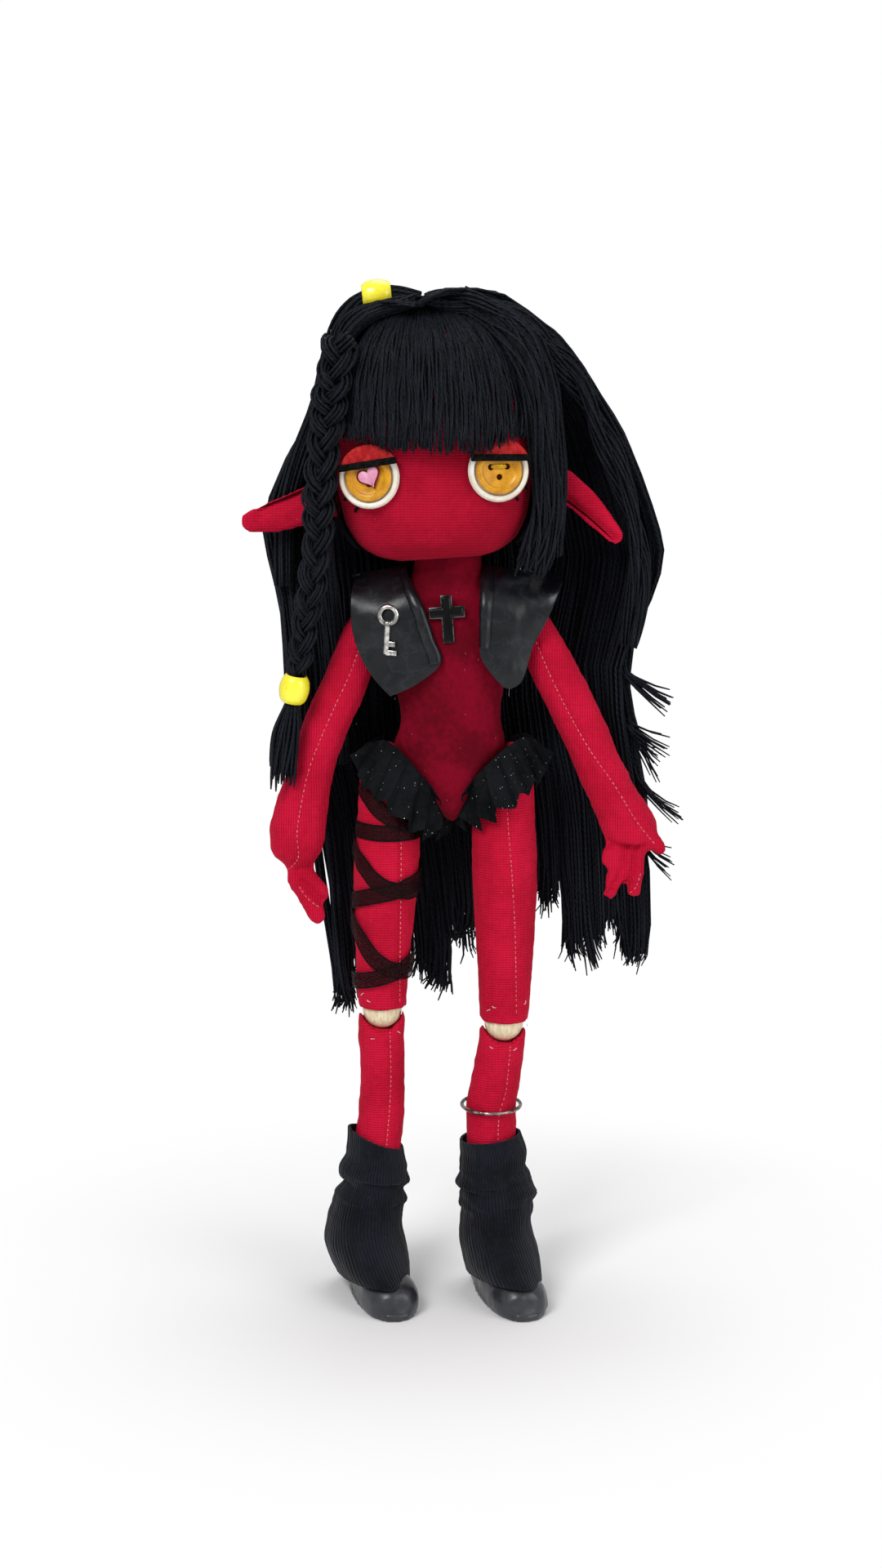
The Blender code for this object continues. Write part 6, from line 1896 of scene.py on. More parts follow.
@dataclass
class LegWarmer:
    """A ribbed knit tube, pushed down into soft folds with its hem spread over the shoe.

    Attributes:
        side: -1 for the right leg and 1 for the left.
        rows: Height, centre x, half width and forward reach of the knit, in millimetres.
        slope: How much higher the top edge is on the doll's left, in millimetres.
        hem_rise: How much higher the hem is over the toe than at the sides, in millimetres.
        foot_turn: How far the toe points to the doll's left, in degrees.
    """

    side: int
    rows: Sequence[tuple[float, float, float, float]]
    slope: float = 0.0
    hem_rise: float = 6.6
    foot_turn: float = 15.0

    def build(self) -> None:
        label = "left" if self.side > 0 else "right"
        around = 168
        sections = curve_through(self.rows, 50)
        lean = np.random.default_rng(70 + self.side).uniform(-0.5, 0.5, 4)
        toe = (math.sin(math.radians(self.foot_turn)), -math.cos(math.radians(self.foot_turn)))
        grid: list[Path] = []
        for r, (z, cx, half, reach) in enumerate(sections):
            down = r / (len(sections) - 1)
            near = math.exp(-(((z - 39.0) / 8.5) ** 2))
            row = []
            for k in range(around):
                a = 2 * math.pi * k / around
                forward = max(0.0, -math.sin(a)) ** 1.3
                slant = 1.9 * math.sin(a + 5 * lean[0]) + 0.9 * math.sin(2 * a + 5 * lean[1])
                fold = math.sin((z + slant) * 2 * math.pi / 8.2) + 0.5 * math.sin(
                    (z - 1.6 * slant) * 2 * math.pi / 4.6
                )
                soft = 0.35 * math.sin(0.21 * z + 3 * a) + 0.30 * math.sin(0.33 * z - 2 * a + lean[2] * 6)
                rib = 0.10 * math.cos(56 * a + 0.5 * math.sin(0.4 * z))
                out = 0.85 * near * fold + (1 - near) * soft * min(down * 4, 1.0) + rib
                level = z - 0.5 * near * fold + self.slope * math.cos(a) * (1 - down) ** 3
                level += self.hem_rise * forward * min(max((26 - z) / 21, 0.0), 1.0)
                x = cx + (half + out) * math.cos(a) + toe[0] * reach * forward
                row.append(at(x, (0.95 * half + out) * math.sin(a) + toe[1] * reach * forward, level))
            grid.append(row)
        tube = grid_piece(f"warmer_{label}", grid, around=True)
        crumple(tube, 0.0002, 0.006, 75 + self.side)
        modify(tube, "SOLIDIFY", thickness=0.0009, offset=1.0, use_even_offset=False)
        settle(smooth(tube, 70), f"warmer_{label}", f"shin_{label}", RIBKNIT, (f"leg_warmer_{label}",))


@dataclass
class Shoe:
    """A round-toed slip-on of soft vinyl on a flat sole."""

    side: int

    def build(self) -> None:
        """Builds the upper and the sole."""
        label = "left" if self.side > 0 else "right"
        body = f"shin_{label}"
        nodes = (f"shoe_upper_{label}", f"shoe_sole_{label}")
        piece = Stuffed(f"shoe_{label}_vinyl", nodes, body, VINYL, voxel=0.0016, give=0.0004)
        upper = piece.build()
        modify(upper, "SMOOTH", factor=0.7, iterations=12)
        points = points_of(upper) + normals_of(upper) * 0.0005
        low = float(points[:, 2].min())
        points[:, 2] -= 0.0010 * np.clip(1 - (points[:, 2] - low) / 0.006, 0, 1)
        move_points(upper, points)
        crumple(upper, 0.0002, 0.012, 80 + self.side)
        points = points_of(upper)
        points[:, 2] = np.maximum(points[:, 2], 0.0003)
        move_points(upper, points)
        piece.dress(upper)
        sole = node_copy(f"sole_{label}", f"shoe_sole_{label}")
        modify(sole, "REMESH", mode="VOXEL", voxel_size=0.0008, use_smooth_shade=True)
        modify(sole, "SMOOTH", factor=0.5, iterations=3)
        points = points_of(sole) + normals_of(sole) * 0.0002
        points[:, 2] = np.maximum(points[:, 2], 0.0)
        move_points(sole, points)
        settle(smooth(sole), f"sole_{label}", body, VINYL, (f"shoe_sole_{label}",))


@dataclass
class Trinkets:
    """The cross, the key and the ring round the left ankle."""

    def build(self) -> None:
        """Builds all three."""
        self.cross()
        self.key()
        self.anklet()

    def cross(self) -> None:
        """A glossy black cross with a ridged face in a dark metal edge."""
        low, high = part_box("cross_charm")
        middle = (Vector(low) + Vector(high)) / 2
        turn = Matrix.Translation(middle) @ Matrix.Rotation(math.radians(-4), 4, "Y")
        for name, spare, back, front, ridge, finish in (
            ("cross_edge", 0.0, 0.0011, -0.0006, 0.0002, NICKEL),
            ("cross_pendant", 0.00042, 0.0002, -0.0009, 0.0004, ENAMEL),
        ):
            h, w, b = 0.0172 - 2 * spare, 0.0128 - 2 * spare, 0.0021 - spare
            up = 0.0024
            corners = [(b, -h / 2), (b, up - b), (w / 2, up - b), (w / 2, up + b), (b, up + b), (b, h / 2)]
            corners += [(-x, z) for x, z in reversed(corners)]
            cross = linked(name, [(x, back, z) for x, z in corners], [], [tuple(range(12))])
            edit(
                cross,
                lambda: bpy.ops.mesh.extrude_region_move(
                    TRANSFORM_OT_translate={"value": (0, front - back, 0)}
                ),
                lambda: bpy.ops.mesh.inset(thickness=0.0007),
                lambda: bpy.ops.transform.translate(value=(0, -ridge, 0)),
                lambda: bpy.ops.mesh.select_all(action="SELECT"),
                outward,
            )
            modify(
                cross, "BEVEL", width=0.00022, segments=3, limit_method="ANGLE", angle_limit=math.radians(25)
            )
            place(smooth(cross, 30), turn)
            settle(cross, name, "body", finish, ("cross_charm",) if finish is ENAMEL else ())

    def key(self) -> None:
        """A small cast key with a ring bow, a collar and two wards."""
        low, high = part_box("key_charm")
        middle = (Vector(low) + Vector(high)) / 2
        h = 0.0185
        bow = 0.165 * h
        parts = []
        bpy.ops.object.select_all(action="DESELECT")
        bpy.ops.mesh.primitive_torus_add(
            major_radius=bow, minor_radius=0.30 * bow, major_segments=40, minor_segments=14,
            location=(0, 0, h / 2 - 1.35 * bow), rotation=(math.pi / 2, 0, 0),
        )
        ring = bpy.context.object
        bpy.ops.object.transform_apply(location=True, rotation=True, scale=True)
        parts.append(ring)
        top = h / 2 - 2.2 * bow
        shaft = 0.058 * h
        profile = [
            (0.0, top + 0.0006), (1.5 * shaft, top + 0.0003), (1.6 * shaft, top - 0.0006),
            (shaft, top - 0.0011)
        ]
        profile += [(shaft, -h / 2 + 0.0006), (0.0, -h / 2)]
        parts.append(turned("shaft", rounded_profile(profile, 0.0003), 20, Matrix.Identity(4)))
        for reach, z in ((3.6, -h / 2 + 1.0 * shaft), (3.0, -h / 2 + 3.9 * shaft)):
            bpy.ops.object.select_all(action="DESELECT")
            bpy.ops.mesh.primitive_cube_add(size=1.0)
            ward = bpy.context.object
            scale = Matrix.Diagonal((reach * shaft, 0.0011, 1.7 * shaft, 1))
            place(ward, Matrix.Translation((reach * shaft / 2, 0, z)) @ scale)
            modify(ward, "BEVEL", width=0.00022, segments=2)
            parts.append(ward)
        key = join("key", parts)
        turn = Matrix.Rotation(-0.18, 4, "Z") @ Matrix.Rotation(0.06, 4, "Y")
        place(smooth(key, 35), Matrix.Translation(middle + Vector((0, -0.0012, 0))) @ turn)
        settle(key, "key", "body", SILVER, ("key_charm",))

    def anklet(self) -> None:
        """A plain wire ring, a little loose on the shin."""
        low, high = (Vector(v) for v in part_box("anklet_ring"))
        middle, size = (low + high) / 2, high - low
        bpy.ops.object.select_all(action="DESELECT")
        bpy.ops.mesh.primitive_torus_add(
            major_radius=size.x / 2 - 0.0007, minor_radius=0.0007, major_segments=96, minor_segments=14
        )
        ring = bpy.context.object
        place(smooth(ring), Matrix.Translation(middle) @ Matrix.Rotation(math.radians(3), 4, "X"))
        settle(ring, "ankle_ring", "shin_left", STEEL_PAINTED_WARM_REFLECTION, ("anklet_ring",))


# Hair


@dataclass
class Yarns:
    """Bundles of loose yarn, gathered into pieces.

    Attributes:
        radius: A yarn's radius in metres.
        sides: How many sides a yarn has.
        seed: Chooses the unevenness.
    """

    radius: float = 0.00052
    sides: int = 4
    seed: int = 1
    strands: list[np.ndarray] = field(default_factory=list)
    radii: list[np.ndarray] = field(default_factory=list)

    def add(self, strand: np.ndarray, taper: float = 1.0) -> None:
        """Adds one yarn.

        Args:
            strand: Its points, one row each.
            taper: How thick its end is, as a share of its radius.
        """
        count = len(strand)
        shape = np.full(count, self.radius)
        shape[-3:] *= np.linspace(1.0, taper, 3)
        self.strands.append(strand)
        self.radii.append(shape)

    def bundle(
        self,
        spine: np.ndarray,
        wide: np.ndarray,
        deep: np.ndarray,
        count: int,
        turns: float,
        loose: float = 0.25,
    ) -> None:
        """Adds yarns that fill a bundle along a path.

        Args:
            spine: The bundle's middle line.
            wide: Half width of the bundle at each point.
            deep: Half depth of the bundle at each point.
            count: How many yarns it holds.
            turns: How often the yarns wind round the middle line.
            loose: How much a yarn wanders, as a share of the bundle's width.
        """
        dice = np.random.default_rng(self.seed + len(self.strands))
        along = np.gradient(spine, axis=0)
        along /= np.linalg.norm(along, axis=1, keepdims=True)
        ahead = np.array([0.0, -1.0, 0.12])
        side = np.cross(along, ahead)
        side /= np.linalg.norm(side, axis=1, keepdims=True)
        front = np.cross(side, along)
        t = np.linspace(0, 1, len(spine))
        for k in range(count):
            share = math.sqrt((k + 0.5) / count)
            stray = loose * np.sin(PHASE * (t * 2 + dice.uniform()))
            angle = k * GOLDEN_ANGLE + 2 * math.pi * turns * t + stray
            reach = share * (1 + loose * 0.5 * np.sin(PHASE * (t * dice.uniform(1, 3) + dice.uniform())))
            offset = side * (
                np.cos(angle) * reach * wide
            )[:, None] + front * (np.sin(angle) * reach * deep)[:, None]
            self.add(spine + offset)

    def piece(self, name: str, body: str, replaces: Sequence[str]) -> Obj:
        """Makes one piece of all the yarns.

        Args:
            name: The piece's name.
            body: The body that it rides on.
            replaces: The CAD nodes that it stands for.

        Returns:
            The piece.
        """
        lengths = sorted({len(s) for s in self.strands})
        made = []
        for length in lengths:
            chosen = [k for k, s in enumerate(self.strands) if len(s) == length]
            block = np.asarray([self.strands[k] for k in chosen])
            thick = np.asarray([self.radii[k] for k in chosen])
            made.append(yarn_mesh(name, block, thick, self.sides))
        return settle(join(name, made), name, body, YARN, replaces)


@dataclass
class Hair:
    """Yarn hair that is parted over the crown.

    Attributes:
        crown: Height of the crown above the floor, in millimetres.
        chin: Height of the chin above the floor, in millimetres.
        crotch: Height of the crotch above the floor, in millimetres.
        parting: x of the parting, in millimetres.
        steps: How many points a hanging yarn has.
    """

    crown: float = 363.5
    chin: float = 273.5
    crotch: float = 178.0
    parting: float = -10.5
    steps: int = 28

    def levels(self) -> np.ndarray:
        """Rows of the hanging hair: z, centre x, centre y, half width, half depth and thickness."""
        crown, chin, c = self.crown, self.chin, self.crotch
        return np.asarray(
            [
                (crown - 5.5, -1.5, 4.5, 33.5, 26.0, 3.0),
                (crown - 11.0, 0.0, 5.0, 39.0, 30.0, 3.6),
                (crown - 24.0, 2.4, 6.0, 46.1, 33.0, 4.6),
                (crown - 39.0, 5.4, 7.5, 53.1, 34.5, 5.5),
                (crown - 54.0, 4.8, 9.0, 60.5, 34.5, 6.0),
                (chin + 10.0, 4.2, 10.5, 70.3, 31.0, 6.0),
                (chin - 6.0, 7.9, 12.0, 69.6, 25.0, 5.5),
                (chin - 35.0, 3.8, 13.0, 61.2, 19.0, 5.0),
                (c + 28.0, 6.3, 14.0, 62.7, 15.0, 4.8),
                (c - 2.0, 12.5, 14.5, 61.5, 13.0, 4.5),
                (c - 30.0, 14.8, 14.5, 60.2, 12.0, 4.0),
                (c - 56.0, 17.0, 14.5, 59.0, 12.0, 3.6),
                (c - 80.0, 17.2, 14.5, 58.3, 12.0, 3.2),
            ]
        )

    def over_crown(self, s: float, layer: float) -> list[Point]:
        """Key points from the parting to the first level of the hanging hair.

        Args:
            s: Where the yarn hangs: 0 at the doll's left, 1 at its right.
            layer: 0 for the inmost yarn and 1 for the outmost.

        Returns:
            Three points in millimetres from the spine.
        """
        fore = 1 - abs(2 * s - 1)
        y0 = -24 + 44 * fore
        side = 1 if s < 0.5 else -1
        target = self.hang(s, 0.0, layer)
        peak = self.crown + (2.3 if side > 0 else 1.6) + 1.6 * layer - 4.5 * fore * fore
        peak -= 0.0 if side > 0 else 3.4 * (1 - fore)
        start = (
            self.parting + side * 0.8, y0,
            self.crown + 0.2 + 1.0 * layer - 5.5 * max(abs(y0 + 2) / 24 - 0.4, 0)
        )
        near = (self.parting + side * (7 + 4 * layer), y0 + 1.0, peak)
        far = (0.45 * near[0] + 0.55 * target[0], 0.5 * y0 + 0.5 * target[1], peak - 0.3)
        return [start, near, far]

    def hang(self, s: float, row: float, layer: float) -> Point:
        """A point on the hanging hair, at a row of levels() that may lie between two."""
        rows = self.levels()
        low = min(int(row), len(rows) - 2)
        z, cx, cy, half, deep, thick = rows[low] + (rows[low + 1] - rows[low]) * (row - low)
        s = min(max(s, 0.0), 1.0)
        x = 0.5 * math.cos(math.pi * s) + 0.5 * (1 - 2 * s)
        y = math.sqrt(max(1 - x * x, 0.0))
        off = (2 * layer - 1) * thick * 0.75
        return (cx + (half + off * abs(x)) * x, cy + (deep + off) * y - (1 - y) * 2 * (1 - layer), z)

    def cut_at(self, x: float) -> float:
        """Height where the hair that hangs at x is cut, in millimetres, in steps as on the real doll."""
        steps = [
            (-60, 104), (-46, 102), (-38, 103), (-35, 128), (-13, 132), (-11, 114), (0.5, 114), (1.5, 130)
        ]
        steps += [
            (28, 137), (30, 142), (46.5, 144), (47.5, 124), (57, 124), (58.5, 138), (67.5, 138), (68.5, 124)
        ]
        return float(np.interp(x, [k[0] for k in steps], [k[1] for k in steps]))

    def lock_line(self, s: float, layer: float, end: Point | None, dice: np.random.Generator) -> np.ndarray:
        """The middle line of one lock, from the parting to its cut end.

        Args:
            s: Where it hangs: 0 at the doll's left, 1 at its right.
            layer: 0 for the inmost locks and 1 for the outmost.
            end: Where it ends, or None for the usual cut.
            dice: The source of its unevenness.

        Returns:
            Its points in millimetres from the spine.
        """
        keys = self.over_crown(s, layer)
        rows = self.levels()
        low = end[2] + 15 if end else self.cut_at(self.hang(s, 11.0, layer)[0]) + 7 + dice.normal(0, 3.2)
        drift, phase, sway = dice.normal(0, 0.010), dice.uniform(0, PHASE), dice.uniform(0.003, 0.011)
        if layer < 0.34 or s > 0.93:
            drift, sway = 0.0, 0.003
        last_row = float(np.interp(-low, -rows[:, 0], np.arange(len(rows))))
        for row in [*np.arange(0.0, last_row - 0.4, 0.8), last_row]:
            fall = row / (len(rows) - 1)
            keys.append(self.hang(s + drift * fall + sway * fall * math.sin(9 * fall + phase), row, layer))
        last = keys[-1]
        if end:
            keys.append(
                (0.6 * last[0] + 0.4 * end[0], 0.5 * last[1] + 0.5 * end[1], 0.4 * last[2] + 0.6 * end[2])
            )
            keys.append(end)
        else:
            keys.append((last[0] + dice.normal(0, 1.2), last[1] + dice.normal(0, 0.8), low - 7))
        return curve_through(keys, self.steps)

    def locks(self, rows: int = 3, per_row: int = 28, yarns: int = 11) -> None:
        """The hanging yarn, gathered into locks, in four pieces from the doll's left to its right.

        Args:
            rows: How many layers of locks lie over each other.
            per_row: How many locks a layer has.
            yarns: How many yarns a lock has.
        """
        dice = np.random.default_rng(4)
        groups = [Yarns(seed=100 + g) for g in range(4)]
        plan: list[tuple[float, float, Point | None]] = []
        for layer in range(rows):
            for k in range(per_row):
                shift = dice.uniform(-0.2, 0.2) * (layer > 0)
                s = (k + 0.5 + 0.33 * layer + shift) / (per_row + 0.7 * (layer > 0))
                plan.append((s, (layer + 0.5) / rows + dice.uniform(-0.1, 0.1), None))
        flicks = [
            (80.5, 8.0, 221.0), (77.5, 14.0, 196.0), (84.5, 8.0, 178.0), (84.0, 12.0, 158.5),
            (79.0, 6.0, 203.0)
        ]
        flicks += [(-60.0, 8.0, 205.0)]
        for number, end in enumerate(flicks):
            plan.append((0.012 + 0.012 * number if end[0] > 0 else 0.985, 0.75, end))
        t = np.linspace(0, 1, self.steps)
        for s, layer, end in plan:
            line = self.lock_line(s, layer, end, dice)
            sway = np.sin(t * dice.uniform(14, 26) + dice.uniform(0, PHASE)) * np.clip(t * 1.6 - 0.4, 0, 1)
            wave = dice.uniform(0.7, 2.1) * sway
            wave = wave * (0.4 if layer < 0.34 else 1.0)
            line = line + np.stack([wave, 0.6 * np.roll(wave, 5), np.zeros(self.steps)], 1)
            size = np.interp(t, [0, 0.12, 0.3, 0.8, 0.95, 1.0], [0.30, 0.75, 1.0, 0.82, 0.66, 0.98])
            wide, deep = dice.uniform(3.3, 5.0), dice.uniform(1.7, 2.5)
            wide *= 1.35 if layer < 0.34 else 1.0
            turn = dice.uniform(-2.2, 2.2)
            out = np.array([math.cos(math.pi * s), math.sin(math.pi * s), 0.0])
            side = np.array([-out[1], out[0], 0.0])
            count = yarns + (3 if end else 6 if layer < 0.34 else 0)
            for k in range(count):
                share = math.sqrt((k + 0.5) / count)
                angle = k * GOLDEN_ANGLE + turn * t + dice.uniform(0, 0.5)
                loose = 0.25 * np.sin(t * dice.uniform(20, 40) + dice.uniform(0, PHASE))
                splay = np.clip((t - 0.93) / 0.07, 0, 1) ** 2 * dice.normal(0, 1.2)
                across = share * wide * size * np.cos(angle) + loose + splay
                through = share * deep * size * np.sin(angle) + 0.7 * loose
                yarn = line + across[:, None] * side + through[:, None] * out
                yarn[-4:, 2] += np.linspace(0, dice.normal(0, 2.6), 4)
                groups[min(int(s * 4), 3)].add(SPINE_ROW + yarn * 0.001, 0.5)
        names = ("hair_left_side", "hair_left_back", "hair_right_back", "hair_right_side")
        for g, (name, group) in enumerate(zip(names, groups)):
            group.piece(name, "body", (f"hair_lock_{2 * g + 1}", f"hair_lock_{2 * g + 2}"))

    def underlay(self) -> None:
        """The soft mass of yarn under the strands, over the scalp."""
        piece = Stuffed(
            "scalp_yarn", ("hair_cap",), "body", YARN, voxel=0.0022, give=0.0004, fill=0.5, levels=0
        )
        obj = piece.build()
        piece.dress(obj)

    def fringe(self, count: int = 300) -> None:
        """The fringe, combed from the parting over the forehead to a straight cut."""
        dice = np.random.default_rng(8)
        yarns = Yarns(radius=0.00047, seed=200)
        tree = surface_of(bpy.data.objects["head_cloth"])
        hem = [
            (-36, -27, -20, -12, -4, 3, 9, 13, 17, 21, 25, 33),
            (316, 314.8, 312.4, 312.6, 312, 311.8, 311, 311.6, 313, 315.5, 317, 317.5)
        ]
        shape = [(0.20, 1.2), (0.41, 4.2), (0.64, 10.0), (0.83, 18.0), (0.95, 29.0), (1.0, 39.0)]
        for k in range(count):
            f = 2 * (k + 0.5) / count - 1 + dice.normal(0, 0.014)
            layer = (k * GOLDEN_SHARE) % 1.0
            x1 = -2.2 + 34.5 * f
            z1 = float(np.interp(x1, hem[0], hem[1])) + dice.normal(0, 0.8)
            x0, y0 = self.parting + 2.5 * f, -12 - 8 * (1 - abs(f))
            top = self.crown + 2.2
            keys = [(x0, y0 + 3, top - 0.5)]
            for spread, drop in shape:
                x = x0 + (x1 - x0) * spread
                z = top - drop - 2.5 * f * f * min(drop / 13.0, 1.0)
                hit, _, _, _ = tree.ray_cast(at(x, -80, z), Vector((0, 1, 0)), 0.12)
                y = (hit.y - SPINE.y) * 1000 if hit is not None else -9.0
                keys.append((x, min(y, -9.0) - 1.2 - 2.4 * layer, z))
            hit, _, _, _ = tree.ray_cast(at(x1, -80, z1), Vector((0, 1, 0)), 0.12)
            y = (hit.y - SPINE.y) * 1000 if hit is not None else -16.0
            keys.append((x1, y - 6.3 - 1.4 * layer, z1))
            points = curve_through(keys, 22)
            t = np.linspace(0, 1, 22)
            for fast, size in ((dice.uniform(7, 13), 0.55), (dice.uniform(20, 34), 0.28)):
                points[:, 0] += np.sin(t * fast + dice.uniform(0, PHASE)) * size * np.clip(2.2 * t, 0, 1)
                points[:, 1] += np.sin(t * fast + dice.uniform(0, PHASE)) * 0.5 * size * t
            points[-3:, 0] += np.linspace(0, dice.normal(0, 0.5), 3)
            yarns.add(SPINE_ROW + points * 0.001, 0.6)
        yarns.piece("fringe", "body", ("bangs",))

    def crown_trim(self) -> None:
        """The lock through the yellow bead, the twist on the other side and the lock beside the face."""
        c = self.crown
        t = np.linspace(0, 1, 40)
        lock = Yarns(seed=300)
        keys = [(-10, -12.5, c + 0.6), (-16.5, -12.2, c + 2.6), (-21, -12.1, c + 3.2), (-25, -12, c + 2.5)]
        keys += [(-29, -11.9, c + 1.2), (-33, -11.4, c - 1.6), (-37.5, -9, c - 8), (-41.2, -6, c - 20)]
        keys += [(-45.5, -3, c - 36), (-54, 2, c - 56), (-59, 7, c - 74), (-60, 9, c - 100)]
        spine = SPINE_ROW + curve_through(keys, 40) * 0.001
        wide = np.interp(t, [0, 0.14, 0.3, 0.4, 0.57, 1], [2.9, 2.75, 2.75, 2.8, 4.6, 3.4]) * 0.001
        lock.bundle(spine, wide, wide, 30, 0.3, 0.05)
        cover = [(-12, -16, c + 0.3), (-18, -18.6, c - 1.0), (-25, -19.4, c - 2.2), (-32, -18.4, c - 4.6)]
        spine = SPINE_ROW + curve_through(cover + [(-38, -15.5, c - 10), (-42, -11, c - 22)], 40) * 0.001
        lock.bundle(spine, np.full(40, 0.0022), np.full(40, 0.0016), 18, 0.4, 0.1)
        lock.piece("crown_lock_yarn", "body", ("crown_lock",))
        twist = Yarns(seed=320)
        path = [
            (-8, -15, c + 1.2), (8, -18.5, c - 0.4), (22, -19, c - 5), (34, -16.5, c - 14),
            (44.5, -12, c - 26)
        ]
        path += [(53, -6, c - 41), (61, -1, c - 58), (68, 2, c - 78), (70, 4, c - 98), (66, 5, c - 122)]
        spine = curve_through(path, 60)
        t = np.linspace(0, 1, 60)
        along = np.gradient(spine, axis=0)
        along /= np.linalg.norm(along, axis=1, keepdims=True)
        up = np.cross(along, [0.0, 1.0, 0.0])
        up /= np.linalg.norm(up, axis=1, keepdims=True)
        out = np.cross(up, along)
        for half in (0, 1):
            a = 2 * math.pi * (3.4 * t * (1 - 0.3 * t) + half / 2)
            core = spine + 2.1 * (np.cos(a)[:, None] * out + np.sin(a)[:, None] * up)
            size = (1.9 + 0.8 * np.sin(math.pi * t)) * 0.001
            twist.bundle(SPINE_ROW + core * 0.001, size, size, 13, 2.0, 0.12)
        twist.piece("crown_twist_yarn", "body", ("crown_twist_1", "crown_twist_2"))
        right = [(-14, -16, -1), (-28, -18, -5), (-37, -17.5, -15), (-41.5, -16, -30), (-43.5, -14, -50)]
        right += [(-44.8, -11, -70), (-43.5, -4, -98), (-41, 5, -128), (-39.5, 9, -165)]
        left = [(10, -17, 0.5), (22, -18.5, -5), (31, -17, -15), (36, -15, -30), (38.3, -12.5, -50)]
        left += [(39.0, -9.5, -68), (38.0, -6.5, -88)]
        for name, keys in (("temple_yarn_right", right), ("temple_yarn_left", left)):
            temple = Yarns(seed=360)
            spine = SPINE_ROW + curve_through([(x, y, c + z) for x, y, z in keys], 32) * 0.001
            wide = np.interp(np.linspace(0, 1, 32), [0, 0.3, 1], [1.6, 3.0, 3.4]) * 0.001
            temple.bundle(spine, wide, wide * 2.1, 40, 0.1, 0.2)
            temple.piece(name, "body", ())
        face = Yarns(seed=340)
        path = [
            (4, -15, c + 1), (14, -19, c - 4.5), (22.5, -22.5, c - 12), (28.5, -23.8, c - 22.5),
            (32.3, -23.4, c - 37)
        ]
        path += [(33.8, -21.8, c - 54), (34.6, -19, c - 71), (32.6, -17, c - 83), (29.5, -15.5, c - 92.5)]
        spine = SPINE_ROW + curve_through(path, 44) * 0.001
        t = np.linspace(0, 1, 44)
        wide = np.interp(t, [0, 0.3, 0.6, 0.85, 1], [4.5, 5.6, 5.2, 5.6, 6.2]) * 0.001
        deep = np.interp(t, [0, 0.3, 1], [1.6, 2.6, 2.4]) * 0.001
        face.bundle(spine, wide, deep, 52, 0.12, 0.3)
        dice = np.random.default_rng(34)
        for strand in face.strands:
            strand[-8:, 2] += np.linspace(0, 1, 8) ** 2 * dice.normal(0, 0.0026)
        face.piece("face_lock_yarn", "body", ("face_lock",))

    def plait(self) -> None:
        """The three-strand plait beside the right eye, its bead and its tassel."""
        path = [
            (-37, -25, 350), (-40.2, -29.8, 333), (-42, -31, 318), (-44.6, -28.5, 299), (-45.5, -24.5, 283)
        ]
        path += [(-48.2, -20, 264), (-51.4, -17, 247), (-54.1, -15, 232.5)]
        count = 104
        spine = curve_through(path, count)
        t = np.linspace(0, 1, count)
        taper = (1.22 - 0.42 * t) * np.minimum(1.0, 0.6 + 6 * (1 - t))
        for number in range(3):
            yarns = Yarns(radius=0.00055, seed=400 + number)
            a = 2 * math.pi * (4.6 * t + number / 3)
            core = spine.copy()
            core[:, 0] += 3.7 * taper * np.sin(a)
            core[:, 1] += 1.9 * taper * np.sin(2 * a)
            size = 2.15 * taper * 0.001
            yarns.bundle(SPINE_ROW + core * 0.001, size, size * 0.85, 10, 2.0, 0.12)
            yarns.piece(f"plait_yarn_{number + 1}", "body", (f"braid_strand_{number + 1}",))
        foot, before = spine[-1], spine[-8]
        along = (foot - before) / np.linalg.norm(foot - before)
        middle = foot + along * 4.9
        self.bead("plait_bead", middle, along, "braid_bead")
        tassel = Yarns(radius=0.00055, seed=440)
        dice = np.random.default_rng(44)
        for k in range(34):
            share, turn = math.sqrt((k + 0.5) / 34), k * 2.4
            dx, dy = math.cos(turn) * share, math.sin(turn) * share
            keys = [
                tuple(foot + along * 0.5 + [dx * 2, dy * 2, 0]),
                tuple(middle + along * 4.6 + [dx * 2.2, dy * 2.2, 0])
            ]
            keys.append((middle[0] - 3 + dx * 5.2, middle[1] - 0.5 + dy * 3.2, middle[2] - 16))
            low = middle[2] - 33 + dice.normal(0, 2.4)
            keys.append((middle[0] - 4.6 + dx * 5.4 + dice.normal(0, 0.7), middle[1] - 0.5 + dy * 2.8, low))
            tassel.add(SPINE_ROW + curve_through(keys, 22) * 0.001, 0.5)
        tassel.piece("plait_tassel", "body", ("braid_tassel",))

    def bead(self, name: str, middle: np.ndarray, along: np.ndarray, node: str) -> None:
        """A glossy yellow barrel bead with a moulding line.

        Args:
            name: The piece's name.
            middle: Its centre in millimetres from the spine.
            along: The direction of its bore.
            node: The CAD node that it stands for.
        """
        r, half, bore = 0.0054, 0.0051, 0.0030
        profile = [(bore, half - 0.0004), (bore + 0.0004, half), (0.70 * r, half), (0.90 * r, 0.72 * half)]
        profile += [(r, 0.25 * half), (1.012 * r, 0.02 * half), (r, -0.25 * half), (0.90 * r, -0.72 * half)]
        profile += [(0.70 * r, -half), (bore + 0.0004, -half), (bore, -half + 0.0004)]
        turn = Vector(along).to_track_quat("Z", "Y").to_matrix().to_4x4()
        spot = Matrix.Translation(at(*middle)) @ turn
        bead = turned(name, rounded_profile(profile, 0.0007, 3), 48, spot)
        settle(bead, name, "body", LEMON, (node,))

    def build(self) -> None:
        """Builds all the hair."""
        self.underlay()
        self.fringe()
        self.crown_trim()
        self.plait()
        c = self.crown
        self.bead(
            "crown_hair_bead", np.array((-25, -12, c + 2.6)), np.array((-1.0, -0.04, -0.10)), "crown_bead"
        )
        self.locks()


SPINE_ROW = np.asarray([tuple(SPINE)])


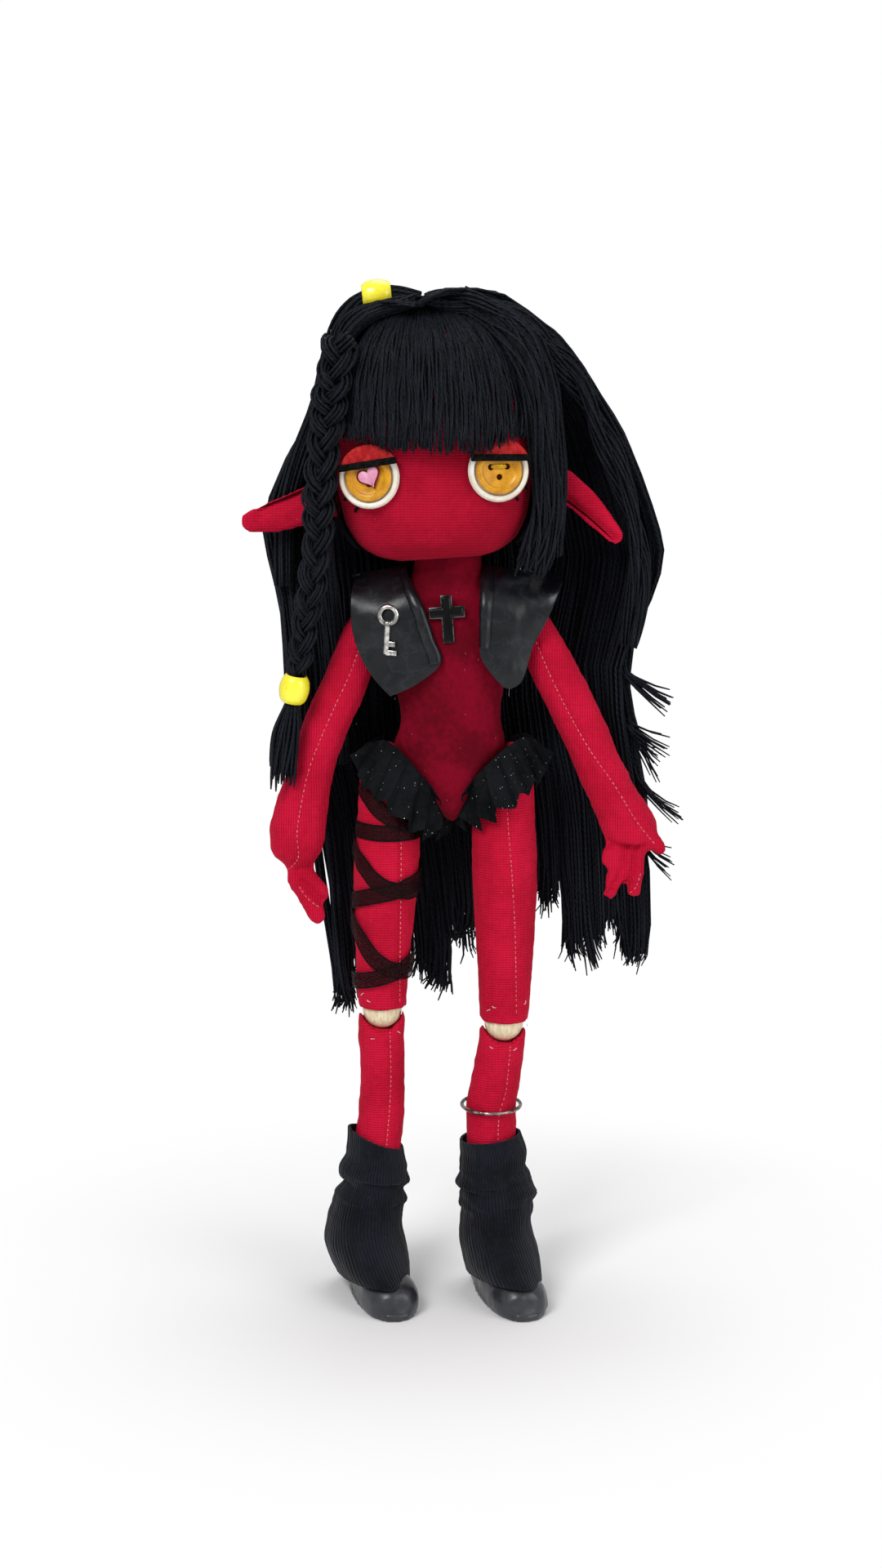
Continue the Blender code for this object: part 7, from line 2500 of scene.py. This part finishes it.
def main() -> None:
    """Builds the studio and the whole doll, and reports each piece."""
    logging.basicConfig(level=logging.INFO, format="%(name)s: %(message)s")
    Studio().build()
    head = HeadAndEars()
    head.build()
    for side in (-1, 1):
        Eye(side, head.frame()).build()
    Trunk().build()
    Limbs().build()
    Vest().build()
    edge = [(-29.1, 206.2), (-21.8, 208.2), (-15.6, 203.4), (-9.5, 195.6), (-4.6, 188.6), (-1.4, 180.5)]
    loose = [(-30.7, 200.6), (-27.4, 192.9), (-22.4, 187.0), (-14.5, 177.5), (-9.0, 173.4), (-3.6, 172.8)]
    Ruffle(-1, edge, loose).build()
    edge = [(32.1, 207.4), (26.5, 209.2), (19.6, 205.2), (13.3, 198.4), (8.0, 191.6), (2.9, 182.0)]
    loose = [(34.0, 200.9), (31.0, 194.0), (26.8, 189.4), (18.6, 181.4), (12.1, 177.0), (4.4, 177.6)]
    Ruffle(1, edge, loose).build()
    for side in (-1, 1):
        Knee(side).build()
        Shoe(side).build()
    KneeStitches().build()
    ThighRibbon().build()
    right = [(57.5, -27.0, 10.3, 0), (50, -26.6, 11.2, 0), (44.5, -27.6, 12.9, 0.3), (39.8, -27.8, 11.9, 0.8)]
    right += [
        (36, -28.9, 12.8, 1.6), (31.5, -30.1, 13.8, 3.0), (24.6, -31.2, 14.4, 7), (17, -31.0, 15.0, 14.5)
    ]
    right += [(10, -29.8, 14.8, 21), (5, -28.4, 13.9, 25)]
    left = [(58, 16.0, 11.4, 0), (50.6, 17.5, 12.6, 0), (45.4, 16.8, 12.5, 0.3), (42, 17.8, 13.8, 0.8)]
    left += [(36.7, 18.6, 14.2, 1.6), (31.6, 18.6, 13.9, 3.0), (24.6, 18.4, 13.4, 7), (17, 19.0, 14.0, 14.5)]
    left += [(10, 19.8, 14.4, 21), (5, 20.8, 13.9, 25)]
    LegWarmer(-1, right, slope=-4.0).build()
    LegWarmer(1, left, slope=1.5).build()
    Trinkets().build()
    Hair().build()


if __name__ == "__main__":
    main()
